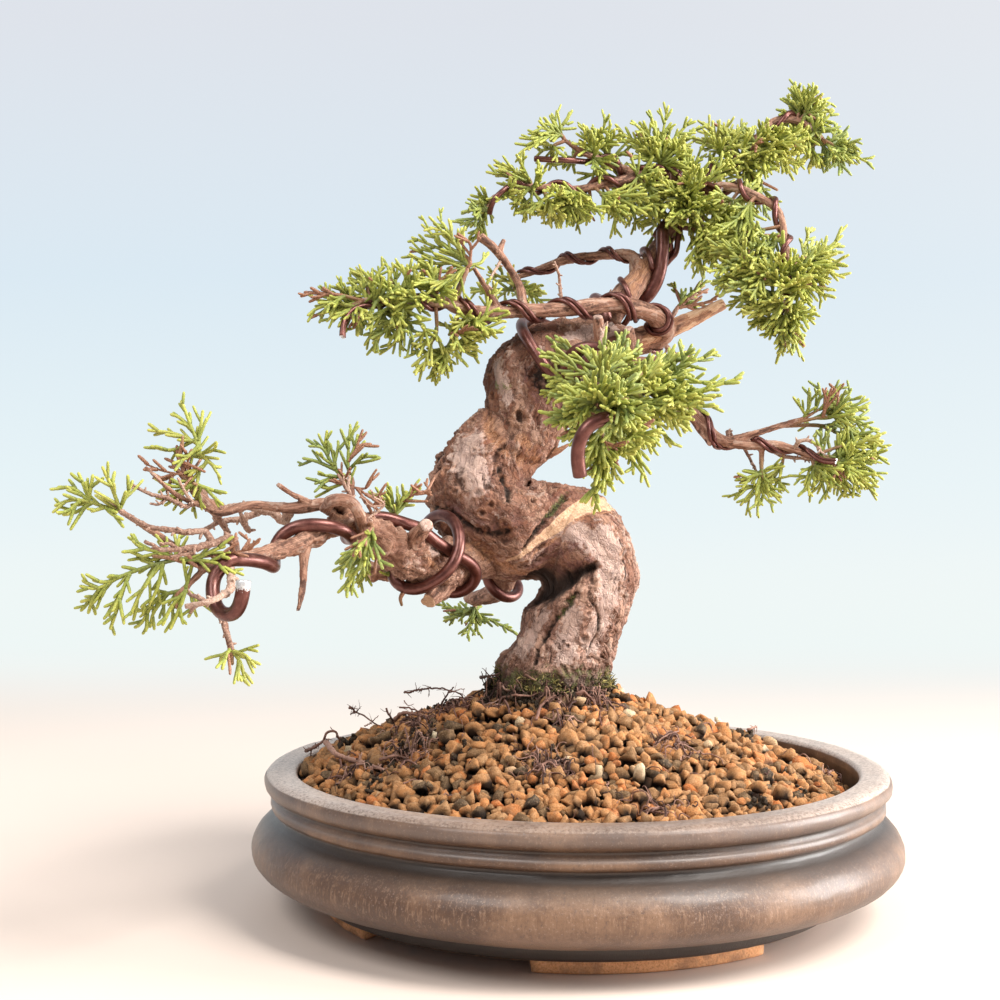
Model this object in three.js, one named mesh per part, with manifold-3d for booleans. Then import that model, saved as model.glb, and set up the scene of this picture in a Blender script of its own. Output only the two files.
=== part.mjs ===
// A juniper bonsai with bent, wired branches, standing in a round glazed pot of gravel.
// Millimetres, +Z up, the pot's feet on z = 0 and the tree's front towards -Y.
// Places are given from the pot's axis; the last lines move everything so that the
// origin lies under the middle of the whole part.

import * as THREE from 'three';
import { ConvexGeometry } from 'three/addons/geometries/ConvexGeometry.js';
import { mergeVertices } from 'three/addons/utils/BufferGeometryUtils.js';
import Module from 'manifold-3d';

const wasm = await Module();
wasm.setup();

// Driving sizes
const gap = 0.3;
const axisPlace = [19, 7, 0];
const potSides = 32;
const rimOuterRadius = 105;
const rimInnerRadius = 96.5;
const rimHeight = 47;
const lipReach = 2.7;
const groove = [104.6, 39.3];
const bead = [105.6, 36];
const neck = [103, 33.2];
const bellyRadius = 111.8;
const bellyHeight = 20.7;
const bellyRounding = [17, 12.6];
const baseRadius = 89;
const baseBandTop = 8;
const floorUnderside = 4.4;
const floorTop = 11;
const footHalfAngle = 25;
const footDepth = 15.3;
const footAngles = [-76.6, 13.4, 103.4, 193.4];
const drainHoleRadius = 9;
const drainHolePlaces = [[-38, 0], [38, 0]];
const screenSide = 26;
const screenThickness = 1.2;
const screenHoles = 3;
const moundPeak = 81.2;
const moundFlat = 76;
const moundSlope = 0.375;
const grainRings = 13;
const grainStray = 1.6;
const trunkFoot = [-8, 1];
const trunkFootRadius = 19.5;
const trunkFootDepth = 62;
const holeSides = 16;
const limbStep = 9;
const stubSides = 4;
const thickStubSides = 6;
const twigRadii = [1.2, 0.85];
const sittingReach = 4;
const coreShare = 0.3;
const coreRadii = [1.15, 1, 0.8];
const shootRadius = 0.85;
const shootTipRadius = 0.5;
const shortestSideShoot = 5;
const wireStrandFlatness = 0.6;

// Limbs: points [x, y, z, radius] along each, facing the way its frame looks, with sides round it
const limbs = {
  trunk: {
    sides: 10,
    rough: 0.07,
    points: [
      [-8, 1, 62, 19.5], [-8, 1, 74, 19.5], [-6, 0, 81, 17.5], [-2.5, 0, 91, 16.5], [1.5, -2, 102, 16.5],
      [4.5, -3, 112, 15.8], [3.5, -2, 122, 15.8], [-3, 2, 127, 16.5], [-16, 0, 127, 18],
      [-27, -6, 131, 18.5], [-33, -8, 141, 17.5], [-30, -7, 152, 15.5], [-21, -5, 161, 14],
      [-17, -4, 170, 14.8], [-16, -3, 180, 15], [-11, 0, 188, 12.5], [-2, 4, 193, 9.5],
      [8, 10, 198, 7], [16, 16, 209, 4.6], [25, 22, 220, 3.8], [32, 27, 231, 3.4],
      [39, 30, 241, 3], [45, 32, 252, 2.4],
    ],
  },
  left: {
    sides: 7,
    rough: 0.06,
    points: [
      [-26, -4, 123, 11], [-37, -14, 119, 8.5], [-47, -26, 117, 8], [-56, -42, 120, 7.5],
      [-64, -55, 127, 6], [-72, -66, 133, 4.8],
    ],
  },
  leftUpper: {
    sides: 6,
    points: [
      [-72, -66, 133, 4.8], [-79, -70, 137, 3.6], [-89, -74, 136, 3], [-100, -80, 137, 2.6],
      [-109, -86, 135, 2.3], [-115, -90, 141, 1.8], [-119, -92, 151, 1.3],
    ],
  },
  leftLower: {
    sides: 6,
    points: [
      [-72, -66, 133, 4.8], [-80, -76, 128, 3.4], [-88, -84, 125, 3.2], [-95, -92, 123, 3],
      [-101, -100, 122, 2.6], [-108, -106, 120, 1.8],
    ],
  },
  midLeft: {
    sides: 5,
    points: [
      [8, 10, 198, 7], [24, 12, 195, 4.2], [32, 8, 199, 3.8], [26, 0, 204, 3.3], [13, -6, 206, 3],
      [-4, -10, 204, 2.7], [-19, -14, 203, 2.5], [-35, -18, 202, 2.3], [-45, -20, 205, 2],
      [-58, -22, 206, 1.5], [-72, -25, 205, 1],
    ],
  },
  upLeft: {
    sides: 5,
    points: [
      [25, 22, 220, 3.8], [22, 24, 228, 2], [12, 28, 229, 1.8], [-2, 33, 228, 1.6],
      [-12, 38, 225, 1.4], [-23, 42, 222, 1],
    ],
  },
  front: {
    sides: 5,
    facing: [0, 0, 1],
    points: [
      [-5, 2, 191, 11], [-1, -14, 187, 5.5], [4, -38, 181, 4.2], [6, -62, 175, 3.6],
      [5, -84, 168, 3], [2, -98, 163, 2.2],
    ],
  },
  right: {
    sides: 5,
    points: [
      [2, 6, 193, 8], [17, 14, 187, 3.6], [33, 16, 176, 2.8], [44, 14, 169, 2.4],
      [51, 12, 161, 2.1], [62, 10, 158, 1.8], [73, 8, 158, 1.6], [84, 6, 154, 1.2],
    ],
  },
  rightUpper: {
    sides: 4,
    points: [[55, 11, 159.5, 1.7], [64, 10, 162, 1.4], [74, 9, 165, 1.1]],
  },
  crownTop: {
    sides: 4,
    points: [[25, 22, 257, 1.6], [14, 20, 261, 1.4], [4, 16, 264, 1.1], [-3, 14, 268, 0.9]],
  },
  crownLeft: {
    sides: 5,
    points: [
      [45, 32, 252, 2.4], [36, 28, 258, 2], [25, 22, 257, 1.8], [13, 16, 253, 1.6],
      [0, 12, 250, 1.4], [-14, 8, 250, 1.2], [-23, 6, 249, 1], [-29, 4, 245, 0.9],
    ],
  },
  crownRight: {
    sides: 5,
    points: [
      [45, 32, 252, 2.4], [55, 36, 262, 2.2], [66, 40, 268, 1.9], [77, 44, 282, 1.6],
      [88, 46, 283, 1.3], [97, 46, 276, 1],
    ],
  },
  crownDrop: {
    sides: 5,
    points: [
      [45, 32, 252, 2.4], [55, 22, 253, 2.2], [64, 14, 249, 2], [73, 8, 241, 1.8],
      [74, 2, 229, 1.5], [75, -2, 220, 1.2], [74, -4, 208, 1],
    ],
  },
  backLow: {
    sides: 5,
    facing: [0, 0, 1],
    points: [
      [-27, -6, 131, 12], [-24, 14, 117, 6], [-26, 32, 106, 4], [-34, 52, 101, 3], [-39, 66, 99.5, 2],
    ],
  },
};

// Dead twigs and cut stubs: points [x, y, z, radius] from inside their limb to the end
const stubs = [
  [[9, 6, 193, 5], [27, 8, 197, 3.6], [42, 10, 203, 2.6], [54, 12, 209, 2]],
  [[-55, -38, 121, 4.2], [-53, -50, 126, 3.4], [-49, -62, 131, 2.6]],
  [[-41, -20, 116, 4], [-46, -28, 109, 3.2], [-50, -34, 105, 2.8]],
  [[-52, -28, 118, 4], [-62, -26, 115.5, 3.4], [-70, -28, 114.5, 3]],
  [[-84, -80, 126, 2.4], [-84, -84, 117, 2], [-85, -88, 106, 1.3]],
  [[-84, -72, 136.5, 1.8], [-88, -76, 140, 1.3], [-92, -82, 143, 1.2]],
  [[-18, -13, 203, 2], [-20, -10, 213, 1.5], [-27, -14, 223, 1.5], [-33, -16, 228, 1.6]],
  [[-27, -14, 222, 1.3], [-25, -10, 228, 0.9]],
  [[-26, -16, 203, 1.5], [-31, -20, 210, 1.1], [-35, -25, 216, 0.8]],
  [[8, -8, 188, 3], [8, -11, 193, 2.2], [7, -16, 201, 1.8]],
  [[17, 2, 189, 3.2], [19, -4, 192, 2.4], [18, -8, 198, 2]],
  [[14, -2, 186, 3.2], [26, -9, 186, 1.9], [38, -13, 188, 1.6]],
  [[40, 14, 172, 1.6], [46, 12, 163, 1.2], [49, 10, 158, 0.9]],
  [[-109, -86, 136, 1.6], [-117, -88, 143, 1.2], [-122, -88, 149, 0.8]],
  [[-109, -86, 135, 1.6], [-119, -95, 140, 1.1], [-127, -99, 148, 0.8]],
];

// Leafy sprays: the limb they grow on, the place where the green begins, and the shoots' tips
const sprays = {
  left_top: ['leftUpper', [-118, -92, 154], [
    [-118, -96, 167], [-125, -102, 159], [-110, -84, 159], [-119, -84, 163],
  ]],
  left_side: ['leftUpper', [-113, -93, 143], [[-126, -104, 146], [-121, -102, 136], [-108, -82, 149]]],
  left_tip: ['leftLower', [-132, -104, 135], [
    [-153, -100, 140], [-148, -114, 134], [-138, -98, 149], [-130, -94, 147],
  ]],
  left_low: ['leftLower', [-116, -108, 122], [
    [-141, -112, 114], [-137, -122, 106], [-129, -101, 126], [-129, -114, 133], [-117, -98, 138],
  ]],
  left_under: ['leftLower', [-115, -107, 113], [
    [-126, -116, 101], [-119, -102, 99], [-113, -94, 98], [-98, -118, 115],
  ]],
  left_hang: ['leftLower', [-102, -104, 97], [
    [-99, -108, 86], [-105, -98, 88], [-94, -109, 93], [-107, -107, 91],
  ]],
  left_tuft: ['left', [-72, -62, 143], [
    [-76, -66, 161], [-86, -74, 152], [-66, -52, 157], [-80, -54, 147],
  ]],
  left_front: ['left', [-66, -72, 131], [[-71, -77, 111], [-61, -81, 118], [-74, -82, 121]]],
  left_drop: ['left', [-58, -36, 108], [[-54, -38, 99], [-63, -30, 102], [-51, -29, 104]]],
  left_bud: ['left', [-60, -44, 133], [[-52, -40, 142], [-64, -50, 141], [-62, -36, 140]]],
  mid_tip: ['midLeft', [-74, -26, 204], [
    [-90, -31, 201], [-87, -23, 209], [-76, -35, 189], [-82, -17, 203],
  ]],
  mid_crest: ['midLeft', [-62, -24, 209], [
    [-78, -17, 217], [-69, -29, 218], [-61, -10, 220], [-51, -31, 214],
  ]],
  mid_under: ['midLeft', [-61, -25, 200], [[-66, -34, 186], [-58, -17, 189], [-52, -36, 193]]],
  mid_long: ['midLeft', [-37, -22, 217], [
    [-58, -16, 233], [-60, -28, 219], [-47, -12, 235], [-34, -28, 228], [-52, -25, 228],
  ]],
  mid_low: ['midLeft', [-38, -20, 196], [
    [-53, -14, 183], [-42, -29, 182], [-27, -22, 189], [-25, -12, 196],
  ]],
  up_left: ['upLeft', [-21, 42, 219], [
    [-36, 45, 220], [-27, 55, 215], [-30, 33, 226], [-5, 38, 212], [-10, 54, 217],
  ]],
  crown_hook: ['crownLeft', [-31, 5, 241], [[-41, 2, 234], [-34, 11, 231], [-37, -6, 239]]],
  crown_edge: ['crownLeft', [-16, 9, 254], [[-27, 5, 257], [-22, 17, 254], [-20, -3, 258]]],
  crown_tip: ['crownTop', [-5, 13, 271], [[-19, 9, 264], [-14, 7, 273], [-10, 20, 274], [-1, 17, 277]]],
  crown_top: ['crownTop', [9, 20, 265], [[13, 16, 277], [5, 28, 275], [18, 10, 270], [1, 8, 270]]],
  crown_low: ['crownLeft', [-2, 12, 246], [[-12, 5, 239], [-2, 22, 239], [6, 3, 239], [-11, -4, 245]]],
  crown_mid: ['crownLeft', [33, 26, 262], [
    [22, 17, 276], [32, 24, 281], [20, 35, 273], [44, 24, 277], [47, 38, 279],
  ]],
  crown_under: ['crownLeft', [22, 21, 252], [[13, 13, 241], [24, 26, 238], [32, 12, 243]]],
  crown_face: ['trunk', [42, 25, 246], [[30, 6, 252], [35, 1, 236], [50, 5, 245], [42, 7, 257]]],
  crown_core: ['trunk', [44, 25, 238], [[39, 5, 222], [50, 8, 219], [58, 3, 231], [47, -5, 229]]],
  crown_back: ['trunk', [45, 37, 249], [
    [37, 59, 260], [52, 63, 253], [62, 58, 263], [44, 52, 270], [40, 54, 246],
  ]],
  right_lift: ['crownRight', [62, 40, 269], [[55, 35, 280], [66, 50, 283], [50, 51, 277]]],
  right_face: ['crownRight', [73, 39, 273], [[61, 29, 266], [72, 25, 256], [86, 33, 262], [84, 25, 272]]],
  right_peak: ['crownRight', [88, 47, 287], [[91, 43, 294], [99, 53, 294], [84, 54, 293]]],
  right_tip: ['crownRight', [99, 46, 274], [
    [115, 46, 268], [101, 38, 266], [103, 54, 284], [108, 54, 274],
  ]],
  right_low: ['crownRight', [68, 38, 265], [[66, 33, 248], [79, 44, 250], [63, 50, 258]]],
  drop_face: ['crownDrop', [63, 11, 245], [[49, -1, 232], [61, -8, 226], [53, 5, 222]]],
  drop_inner: ['crownDrop', [71, 3, 230], [[56, -9, 220], [50, -3, 213], [63, -12, 210], [61, -17, 229]]],
  drop_right: ['crownDrop', [77, -2, 221], [
    [94, 1, 230], [92, -9, 218], [84, 9, 235], [87, -5, 211], [82, 10, 218],
  ]],
  drop_low: ['crownDrop', [74, -4, 204], [
    [66, -9, 199], [66, 2, 207], [80, -12, 200], [73, -4, 189], [79, 3, 193],
  ]],
  front_left: ['front', [1, -99, 165], [[-12, -102, 158], [-11, -107, 168], [-6, -94, 154]]],
  front_top: ['front', [4, -82, 172], [[-11, -86, 182], [-1, -73, 184], [6, -88, 182], [16, -72, 185]]],
  front_right: ['front', [10, -77, 172], [[42, -70, 183], [30, -83, 177], [24, -62, 185]]],
  front_wide: ['front', [11, -82, 168], [[42, -78, 173], [37, -87, 164], [31, -71, 159]]],
  front_hang: ['front', [3, -101, 159], [[1, -103, 138], [7, -96, 143], [-3, -106, 147]]],
  front_low: ['front', [9, -88, 162], [[13, -91, 147], [21, -85, 155], [18, -74, 151]]],
  far_right: ['right', [88, 6, 153], [
    [112, 6, 153], [111, 12, 143], [107, -3, 164], [97, 1, 141], [100, 18, 148],
  ]],
  far_upper: ['rightUpper', [80, 8, 167], [[91, 8, 179], [103, 15, 180], [84, -5, 174], [105, 0, 173]]],
  right_under: ['right', [67, 9, 151], [[59, 5, 138], [69, 14, 137], [72, 1, 143], [81, 13, 143]]],
  back_low: ['backLow', [-36, 61, 96], [
    [-54, 72, 97], [-46, 79, 89], [-36, 79, 94], [-39, 50, 86], [-20, 54, 88],
  ]],
  jin_back: ['midLeft', [38, 20, 208], [[37, 30, 218], [48, 35, 218], [51, 23, 211]]],
};

// Wires: radius, sides, whether two strands lie side by side, free points [x, y, z] at the
// start and end, and between them turns [limb, distance along it, angle round it, lift]
const wires = {
  wire_left: {
    radius: 2,
    sides: 5,
    start: [
      [-95, -122, 117], [-96, -122, 112], [-99, -119, 108], [-104, -115, 108], [-108, -111, 111],
      [-109, -108, 116], [-106, -105, 121],
    ],
    turns: [
      ['leftLower', 44, -10], ['leftLower', 33, -60], ['leftLower', 28, -180],
      ['leftLower', 22, -280], ['leftLower', 12, -355], ['leftLower', 3, -430],
      ['left', 73, -520], ['left', 64, -610], ['left', 50, -650], ['left', 38, -680],
      ['left', 20, -745], ['left', 24, -810], ['left', 28, -900, 1], ['left', 26, -965, 6],
      ['left', 34, -1005, 8], ['left', 40, -1045, 5], ['left', 43, -1085, 2], ['left', 46, -1150],
      ['left', 44, -1240], ['backLow', 24, 20], ['backLow', 34, -90], ['backLow', 40, -180],
      ['backLow', 46, -300], ['backLow', 54, -400],
    ],
    end: [],
  },
  wire_mid: {
    radius: 1.6,
    sides: 4,
    double: true,
    start: [],
    turns: [
      ['midLeft', 19, 60], ['midLeft', 30, 360], ['midLeft', 136, 2410], ['midLeft', 144, 2520],
    ],
    end: [[-77, -30, 199], [-78, -32, 196], [-78, -33, 192]],
  },
  wire_up_left: {
    radius: 1.3,
    sides: 4,
    double: true,
    start: [],
    turns: [
      ['upLeft', 6, 60], ['upLeft', 15, 360], ['upLeft', 31, 720], ['upLeft', 47, 1080],
      ['upLeft', 54, 1200],
    ],
    end: [],
  },
  wire_front: {
    radius: 2,
    sides: 5,
    start: [
      [-4, -108, 145], [-5, -110, 151], [-4, -112, 156], [-2, -112, 159], [2, -111, 161],
      [6, -107, 162],
    ],
    turns: [['front', 97, 330], ['front', 78, 640], ['front', 28, 1600]],
    end: [
      [-7.5, -19, 180], [-12, -18, 184.5], [-16, -14.5, 190.5], [-18, -8, 195.5], [-16.5, 0, 199],
      [-11, 7, 200], [-4, 13, 198.5], [2, 17, 195],
    ],
  },
  wire_top: {
    radius: 2.4,
    sides: 5,
    start: [],
    turns: [
      ['trunk', 236, -10], ['trunk', 223, 55], ['trunk', 212, 110], ['trunk', 206, 190],
      ['trunk', 203, 260], ['trunk', 198, 320], ['trunk', 192, 370],
    ],
    end: [],
  },
  wire_right: {
    radius: 1.4,
    sides: 4,
    double: true,
    start: [],
    turns: [['right', 30, -120], ['right', 58, 360], ['right', 80, 720], ['right', 92, 960]],
    end: [[87, 0, 152], [91, -3, 152]],
  },
  wire_crown_left: {
    radius: 1,
    sides: 4,
    start: [],
    turns: [['crownLeft', 8, 60], ['crownLeft', 76, 1560]],
    end: [[-22, 2, 250], [-25, -1, 247], [-29, -2, 243], [-30, 1, 239]],
  },
  wire_crown_right: {
    radius: 1,
    sides: 4,
    start: [],
    turns: [['crownRight', 10, 0], ['crownRight', 34, -420], ['crownRight', 62, -960]],
    end: [],
  },
  wire_crown_drop: {
    radius: 1,
    sides: 4,
    start: [],
    turns: [['crownDrop', 8, 0], ['crownDrop', 74, 1500]],
    end: [],
  },
};

// A repeatable stream of numbers from 0 to 1
function randomStream(seed) {
  let state = seed;
  return () => {
    state = (state + 0x6d2b79f5) | 0;
    let mixed = Math.imul(state ^ (state >>> 15), 1 | state);
    mixed = (mixed + Math.imul(mixed ^ (mixed >>> 7), 61 | mixed)) ^ mixed;
    return ((mixed ^ (mixed >>> 14)) >>> 0) / 4294967296;
  };
}

const vector = (place) => new THREE.Vector3(place[0], place[1], place[2]);
const mix = THREE.MathUtils.lerp;
const radians = THREE.MathUtils.degToRad;

// Solids: closed meshes that can be joined and cut

function solidFrom(positions, triangles) {
  const mesh = new wasm.Mesh({
    numProp: 3,
    vertProperties: new Float32Array(positions),
    triVerts: new Uint32Array(triangles),
  });
  return new wasm.Manifold(mesh);
}

function solidOf(geometry) {
  geometry.deleteAttribute('normal');
  geometry.deleteAttribute('uv');
  const merged = mergeVertices(geometry, 1e-4);
  const corners = merged.index.array;
  const triangles = [];
  for (let i = 0; i < corners.length; i += 3) {
    const [a, b, c] = corners.slice(i, i + 3);
    if (a !== b && b !== c && c !== a) triangles.push(a, b, c);
  }
  return solidFrom(merged.attributes.position.array, triangles);
}

function geometryOf(solid) {
  const { vertProperties, triVerts } = solid.getMesh();
  const geometry = new THREE.BufferGeometry();
  geometry.setAttribute('position', new THREE.BufferAttribute(vertProperties, 3));
  geometry.setIndex(new THREE.BufferAttribute(triVerts, 1));
  return geometry;
}

// The largest body of a solid, without loose scraps
function mainBody(solid) {
  return solid.decompose().reduce((best, body) => (body.volume() > best.volume() ? body : best));
}

// A closed tube through rings with the same number of points, flat at both ends
function tubeOf(rings) {
  const sides = rings[0].length;
  const positions = rings.flat().flatMap((point) => point.toArray());
  const triangles = [];
  for (let i = 0; i + 1 < rings.length; i++) {
    for (let j = 0; j < sides; j++) {
      const here = i * sides + j;
      const beside = i * sides + ((j + 1) % sides);
      triangles.push(here, beside, beside + sides, here, beside + sides, here + sides);
    }
  }
  const last = (rings.length - 1) * sides;
  for (let j = 1; j + 1 < sides; j++) {
    triangles.push(0, j + 1, j, last, last + j, last + j + 1);
  }
  return solidFrom(positions, triangles);
}

// Points round a centre, from the direction front towards side
function ringAt(centre, front, side, sides, radiusAt) {
  return Array.from({ length: sides }, (_, j) => {
    const angle = (2 * Math.PI * j) / sides;
    const radius = radiusAt(angle);
    return centre.clone()
      .addScaledVector(front, radius * Math.cos(angle))
      .addScaledVector(side, radius * Math.sin(angle));
  });
}

// Two directions square to a tangent: front, the nearest to facing, and side, on its left
function framed(tangent, facing) {
  const front = facing.clone().addScaledVector(tangent, -tangent.dot(facing)).normalize();
  return { tangent, front, side: tangent.clone().cross(front) };
}

// Any direction square to a tangent, as the start of a frame
function anyFacing(tangent) {
  return Math.abs(tangent.z) < 0.8 ? new THREE.Vector3(0, 0, 1) : new THREE.Vector3(0, -1, 0);
}

// Samples of a smooth limb: place, radius, distance along it and frame
function traceLimb({ points, facing = [0, -1, 0] }, step = limbStep) {
  const curve = new THREE.CatmullRomCurve3(points.map(vector), false, 'catmullrom', 0.5);
  const samples = [];
  let along = 0;
  for (let i = 0; i + 1 < points.length; i++) {
    const length = vector(points[i]).distanceTo(vector(points[i + 1]));
    const count = Math.max(1, Math.round(length / step));
    const isLast = i + 2 === points.length;
    for (let k = 0; k < count + (isLast ? 1 : 0); k++) {
      const at = (i + k / count) / (points.length - 1);
      const place = curve.getPoint(at);
      if (samples.length) along += place.distanceTo(samples.at(-1).place);
      const radius = mix(points[i][3], points[i + 1][3], k / count);
      samples.push({ place, radius, along, ...framed(curve.getTangent(at), vector(facing)) });
    }
  }
  return samples;
}

// The swell of bark round a limb: burls and flutes, between -1 and 1
function burl(angle, along) {
  return 0.5 * Math.sin(3 * angle + along / 11) + 0.3 * Math.sin(5 * angle - along / 7 + 2)
    + 0.2 * Math.sin(2 * angle + along / 5);
}

// A limb as a chain of convex pieces between its rings, so that tight bends stay sound
function limbSolid(samples, sides, rough = 0) {
  const rings = samples.map(({ place, radius, along, front, side }) => ringAt(
    place, front, side, sides, (angle) => radius * (1 + rough * burl(angle, along)),
  ));
  const pieces = [];
  for (let i = 0; i + 1 < rings.length; i++) {
    pieces.push(solidOf(new ConvexGeometry([...rings[i], ...rings[i + 1]])));
  }
  return wasm.Manifold.union(pieces);
}

// Capsules: the rounded outlines of what is already in place, for keeping pieces clear

function capsulesOf(samples, swell = 0) {
  const capsules = [];
  for (let i = 0; i + 1 < samples.length; i++) {
    const [from, to] = [samples[i], samples[i + 1]];
    capsules.push({
      from: from.place,
      to: to.place,
      fromRadius: from.radius * (1 + swell),
      toRadius: to.radius * (1 + swell),
    });
  }
  return capsules;
}

// The nearest places on two straight stretches, as shares along each and the way between
function nearest(a, b, c, d) {
  const along = b.clone().sub(a);
  const across = d.clone().sub(c);
  const between = a.clone().sub(c);
  const lengthA = along.lengthSq();
  const lengthC = across.lengthSq();
  const slant = along.dot(across);
  const nearA = along.dot(between);
  const nearC = across.dot(between);
  const spread = lengthA * lengthC - slant * slant;
  let s = spread > 1e-9 ? THREE.MathUtils.clamp((slant * nearC - nearA * lengthC) / spread, 0, 1) : 0;
  let t = lengthC > 1e-9 ? (slant * s + nearC) / lengthC : 0;
  if (t < 0 || t > 1) {
    t = THREE.MathUtils.clamp(t, 0, 1);
    s = lengthA > 1e-9 ? THREE.MathUtils.clamp((slant * t - nearA) / lengthA, 0, 1) : 0;
  }
  const way = a.clone().addScaledVector(along, s).sub(c.clone().addScaledVector(across, t));
  return { s, t, way, distance: way.length() };
}

// How far a stretch with this radius reaches into a capsule's clearance, 0 or less when clear
function intrusion(a, b, radius, capsule) {
  const near = nearest(a, b, capsule.from, capsule.to);
  const needed = radius + gap + mix(capsule.fromRadius, capsule.toRadius, near.t);
  return { ...near, depth: needed - near.distance };
}

// The place on a limb nearest to a point, with the limb's radius there
function nearestOnLimb(samples, point) {
  let best = { distance: Infinity };
  for (let i = 0; i + 1 < samples.length; i++) {
    const [from, to] = [samples[i], samples[i + 1]];
    const near = nearest(point, point, from.place, to.place);
    if (near.distance < best.distance) {
      best = {
        distance: near.distance,
        place: from.place.clone().lerp(to.place, near.t),
        radius: mix(from.radius, to.radius, near.t),
        endTangent: i + 2 === samples.length && near.t === 1 ? to.tangent : null,
      };
    }
  }
  return best;
}

// Wood: the trunk, limbs, stubs and a twig to each spray, grown as one piece

const traces = Object.fromEntries(
  Object.entries(limbs).map(([name, limb]) => [name, traceLimb(limb)]),
);
const stubTraces = stubs.map((points) => traceLimb({ points }));

// A twig from its limb to the place where the spray's green begins, and the green core there.
// A spray that begins close to the limb sits on its bark without a twig.
function growTwig([limbName, root, tips]) {
  const base = nearestOnLimb(traces[limbName], vector(root));
  const target = vector(root);
  const distance = target.distanceTo(base.place);
  const away = target.sub(base.place).normalize();
  const hasTwig = distance > base.radius + sittingReach;
  const slant = base.endTangent ? away.clone().cross(base.endTangent).length() : 1;
  const end = base.place.clone().addScaledVector(away, hasTwig ? distance : base.radius * slant);
  const start = end.clone().addScaledVector(away, gap);
  const middle = tips.reduce((sum, tip) => sum.add(vector(tip)), new THREE.Vector3());
  const lean = middle.divideScalar(tips.length).sub(start);
  const coreEnd = start.clone().addScaledVector(away, 2).addScaledVector(lean, coreShare);
  const samples = [0, 1].map((share) => ({
    place: base.place.clone().lerp(end, share),
    radius: mix(...twigRadii, share),
    along: share * distance,
    ...framed(away, anyFacing(away)),
  }));
  const coreStart = start.clone().addScaledVector(away, 1.5);
  return { samples: hasTwig ? samples : [], core: [start, coreStart, coreEnd] };
}

const twigs = Object.fromEntries(
  Object.entries(sprays).map(([name, spray]) => [name, growTwig(spray)]),
);

const woodCapsules = [
  ...Object.entries(traces).flatMap(([name, samples]) => capsulesOf(samples, limbs[name].rough ?? 0)),
  ...stubTraces.flatMap((samples) => capsulesOf(samples)),
  ...Object.values(twigs).flatMap(({ samples }) => capsulesOf(samples)),
];

function makeWood() {
  const pieces = Object.entries(traces).map(([name, samples]) => {
    const { sides, rough } = limbs[name];
    return limbSolid(samples, sides, rough);
  });
  for (const samples of stubTraces) {
    pieces.push(limbSolid(samples, samples[0].radius > 3 ? thickStubSides : stubSides));
  }
  for (const { samples } of Object.values(twigs)) {
    if (samples.length) pieces.push(limbSolid(samples, 3));
  }
  return mainBody(wasm.Manifold.union(pieces));
}

// Wires

const degreesPerStep = 58;
const longestStep = 11;
const seatingPasses = 60;
const tightening = 0.12;
const turnsKeptClear = 4;

// A place round a limb: the distance along it, the angle from its front, and how far out
function besideLimb(samples, along, angle, distance) {
  let i = 0;
  while (i + 2 < samples.length && samples[i + 1].along < along) i++;
  const [from, to] = [samples[i], samples[i + 1]];
  const share = THREE.MathUtils.clamp((along - from.along) / (to.along - from.along), 0, 1);
  const out = new THREE.Vector3()
    .addScaledVector(from.front.clone().lerp(to.front, share), Math.cos(radians(angle)))
    .addScaledVector(from.side.clone().lerp(to.side, share), Math.sin(radians(angle)))
    .normalize();
  const reach = mix(from.radius, to.radius, share) + distance;
  const place = from.place.clone().lerp(to.place, share).addScaledVector(out, reach);
  return { place, out, reach };
}

// The wire's points before it is seated: free ends stay as they are, turns go round limbs,
// and between two limbs it goes straight across
function routeOf({ radius, start, turns, end }) {
  const beside = ([limbName, along, angle, lift = 0]) => besideLimb(
    traces[limbName], along, angle, radius + gap + lift,
  );
  const route = start.map((place) => ({ place: vector(place), free: true }));
  turns.forEach((here, i) => {
    const next = turns[i + 1] ?? here;
    const [from, to] = [beside(here), beside(next)];
    const isSame = next[0] === here[0];
    const turn = isSame ? Math.abs(next[2] - here[2]) : 0;
    const length = isSame
      ? Math.hypot(radians(turn) * from.reach, next[1] - here[1])
      : from.place.distanceTo(to.place);
    const steps = Math.max(1, Math.ceil(turn / degreesPerStep), Math.ceil(length / longestStep));
    for (let k = 0; k < steps; k++) {
      const share = k / steps;
      const lift = mix(here[3] ?? 0, next[3] ?? 0, share);
      route.push(isSame
        ? beside([here[0], mix(here[1], next[1], share), mix(here[2], next[2], share), lift])
        : { place: from.place.clone().lerp(to.place, share), out: from.out.clone().lerp(to.out, share) });
    }
  });
  route.push(...end.map((place) => ({ place: vector(place), free: true })));
  return route;
}

// Draws a wire tight and pushes it off whatever it would cut into, its own turns included
function seat(route, radius, obstacles) {
  for (let pass = 0; pass < seatingPasses; pass++) {
    for (let i = 1; i + 1 < route.length && pass < seatingPasses / 2; i++) {
      if (route[i].free) continue;
      const middle = route[i - 1].place.clone().add(route[i + 1].place).multiplyScalar(0.5);
      route[i].place.lerp(middle, tightening);
    }
    const turns = capsulesOf(route.map(({ place }) => ({ place, radius })));
    for (let i = 0; i + 1 < route.length; i++) {
      const [a, b] = [route[i].place, route[i + 1].place];
      for (const capsule of [...obstacles, ...turns.slice(i + turnsKeptClear)]) {
        const { s, way, distance, depth } = intrusion(a, b, radius, capsule);
        if (depth <= 0) continue;
        const push = way.multiplyScalar(depth / Math.max(distance, 1e-3) / (s * s + (1 - s) * (1 - s)));
        a.addScaledVector(push, 1 - s);
        b.addScaledVector(push, s);
      }
    }
  }
}

// The outline of a wire in its frame: round, or flatter for two strands side by side
function strandOutline({ radius, sides, double }) {
  return Array.from({ length: sides }, (_, j) => {
    const angle = (2 * Math.PI * (j + 0.5)) / sides;
    const height = radius * (double ? wireStrandFlatness : 1);
    return [radius * Math.cos(angle), height * Math.sin(angle)];
  });
}

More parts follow.
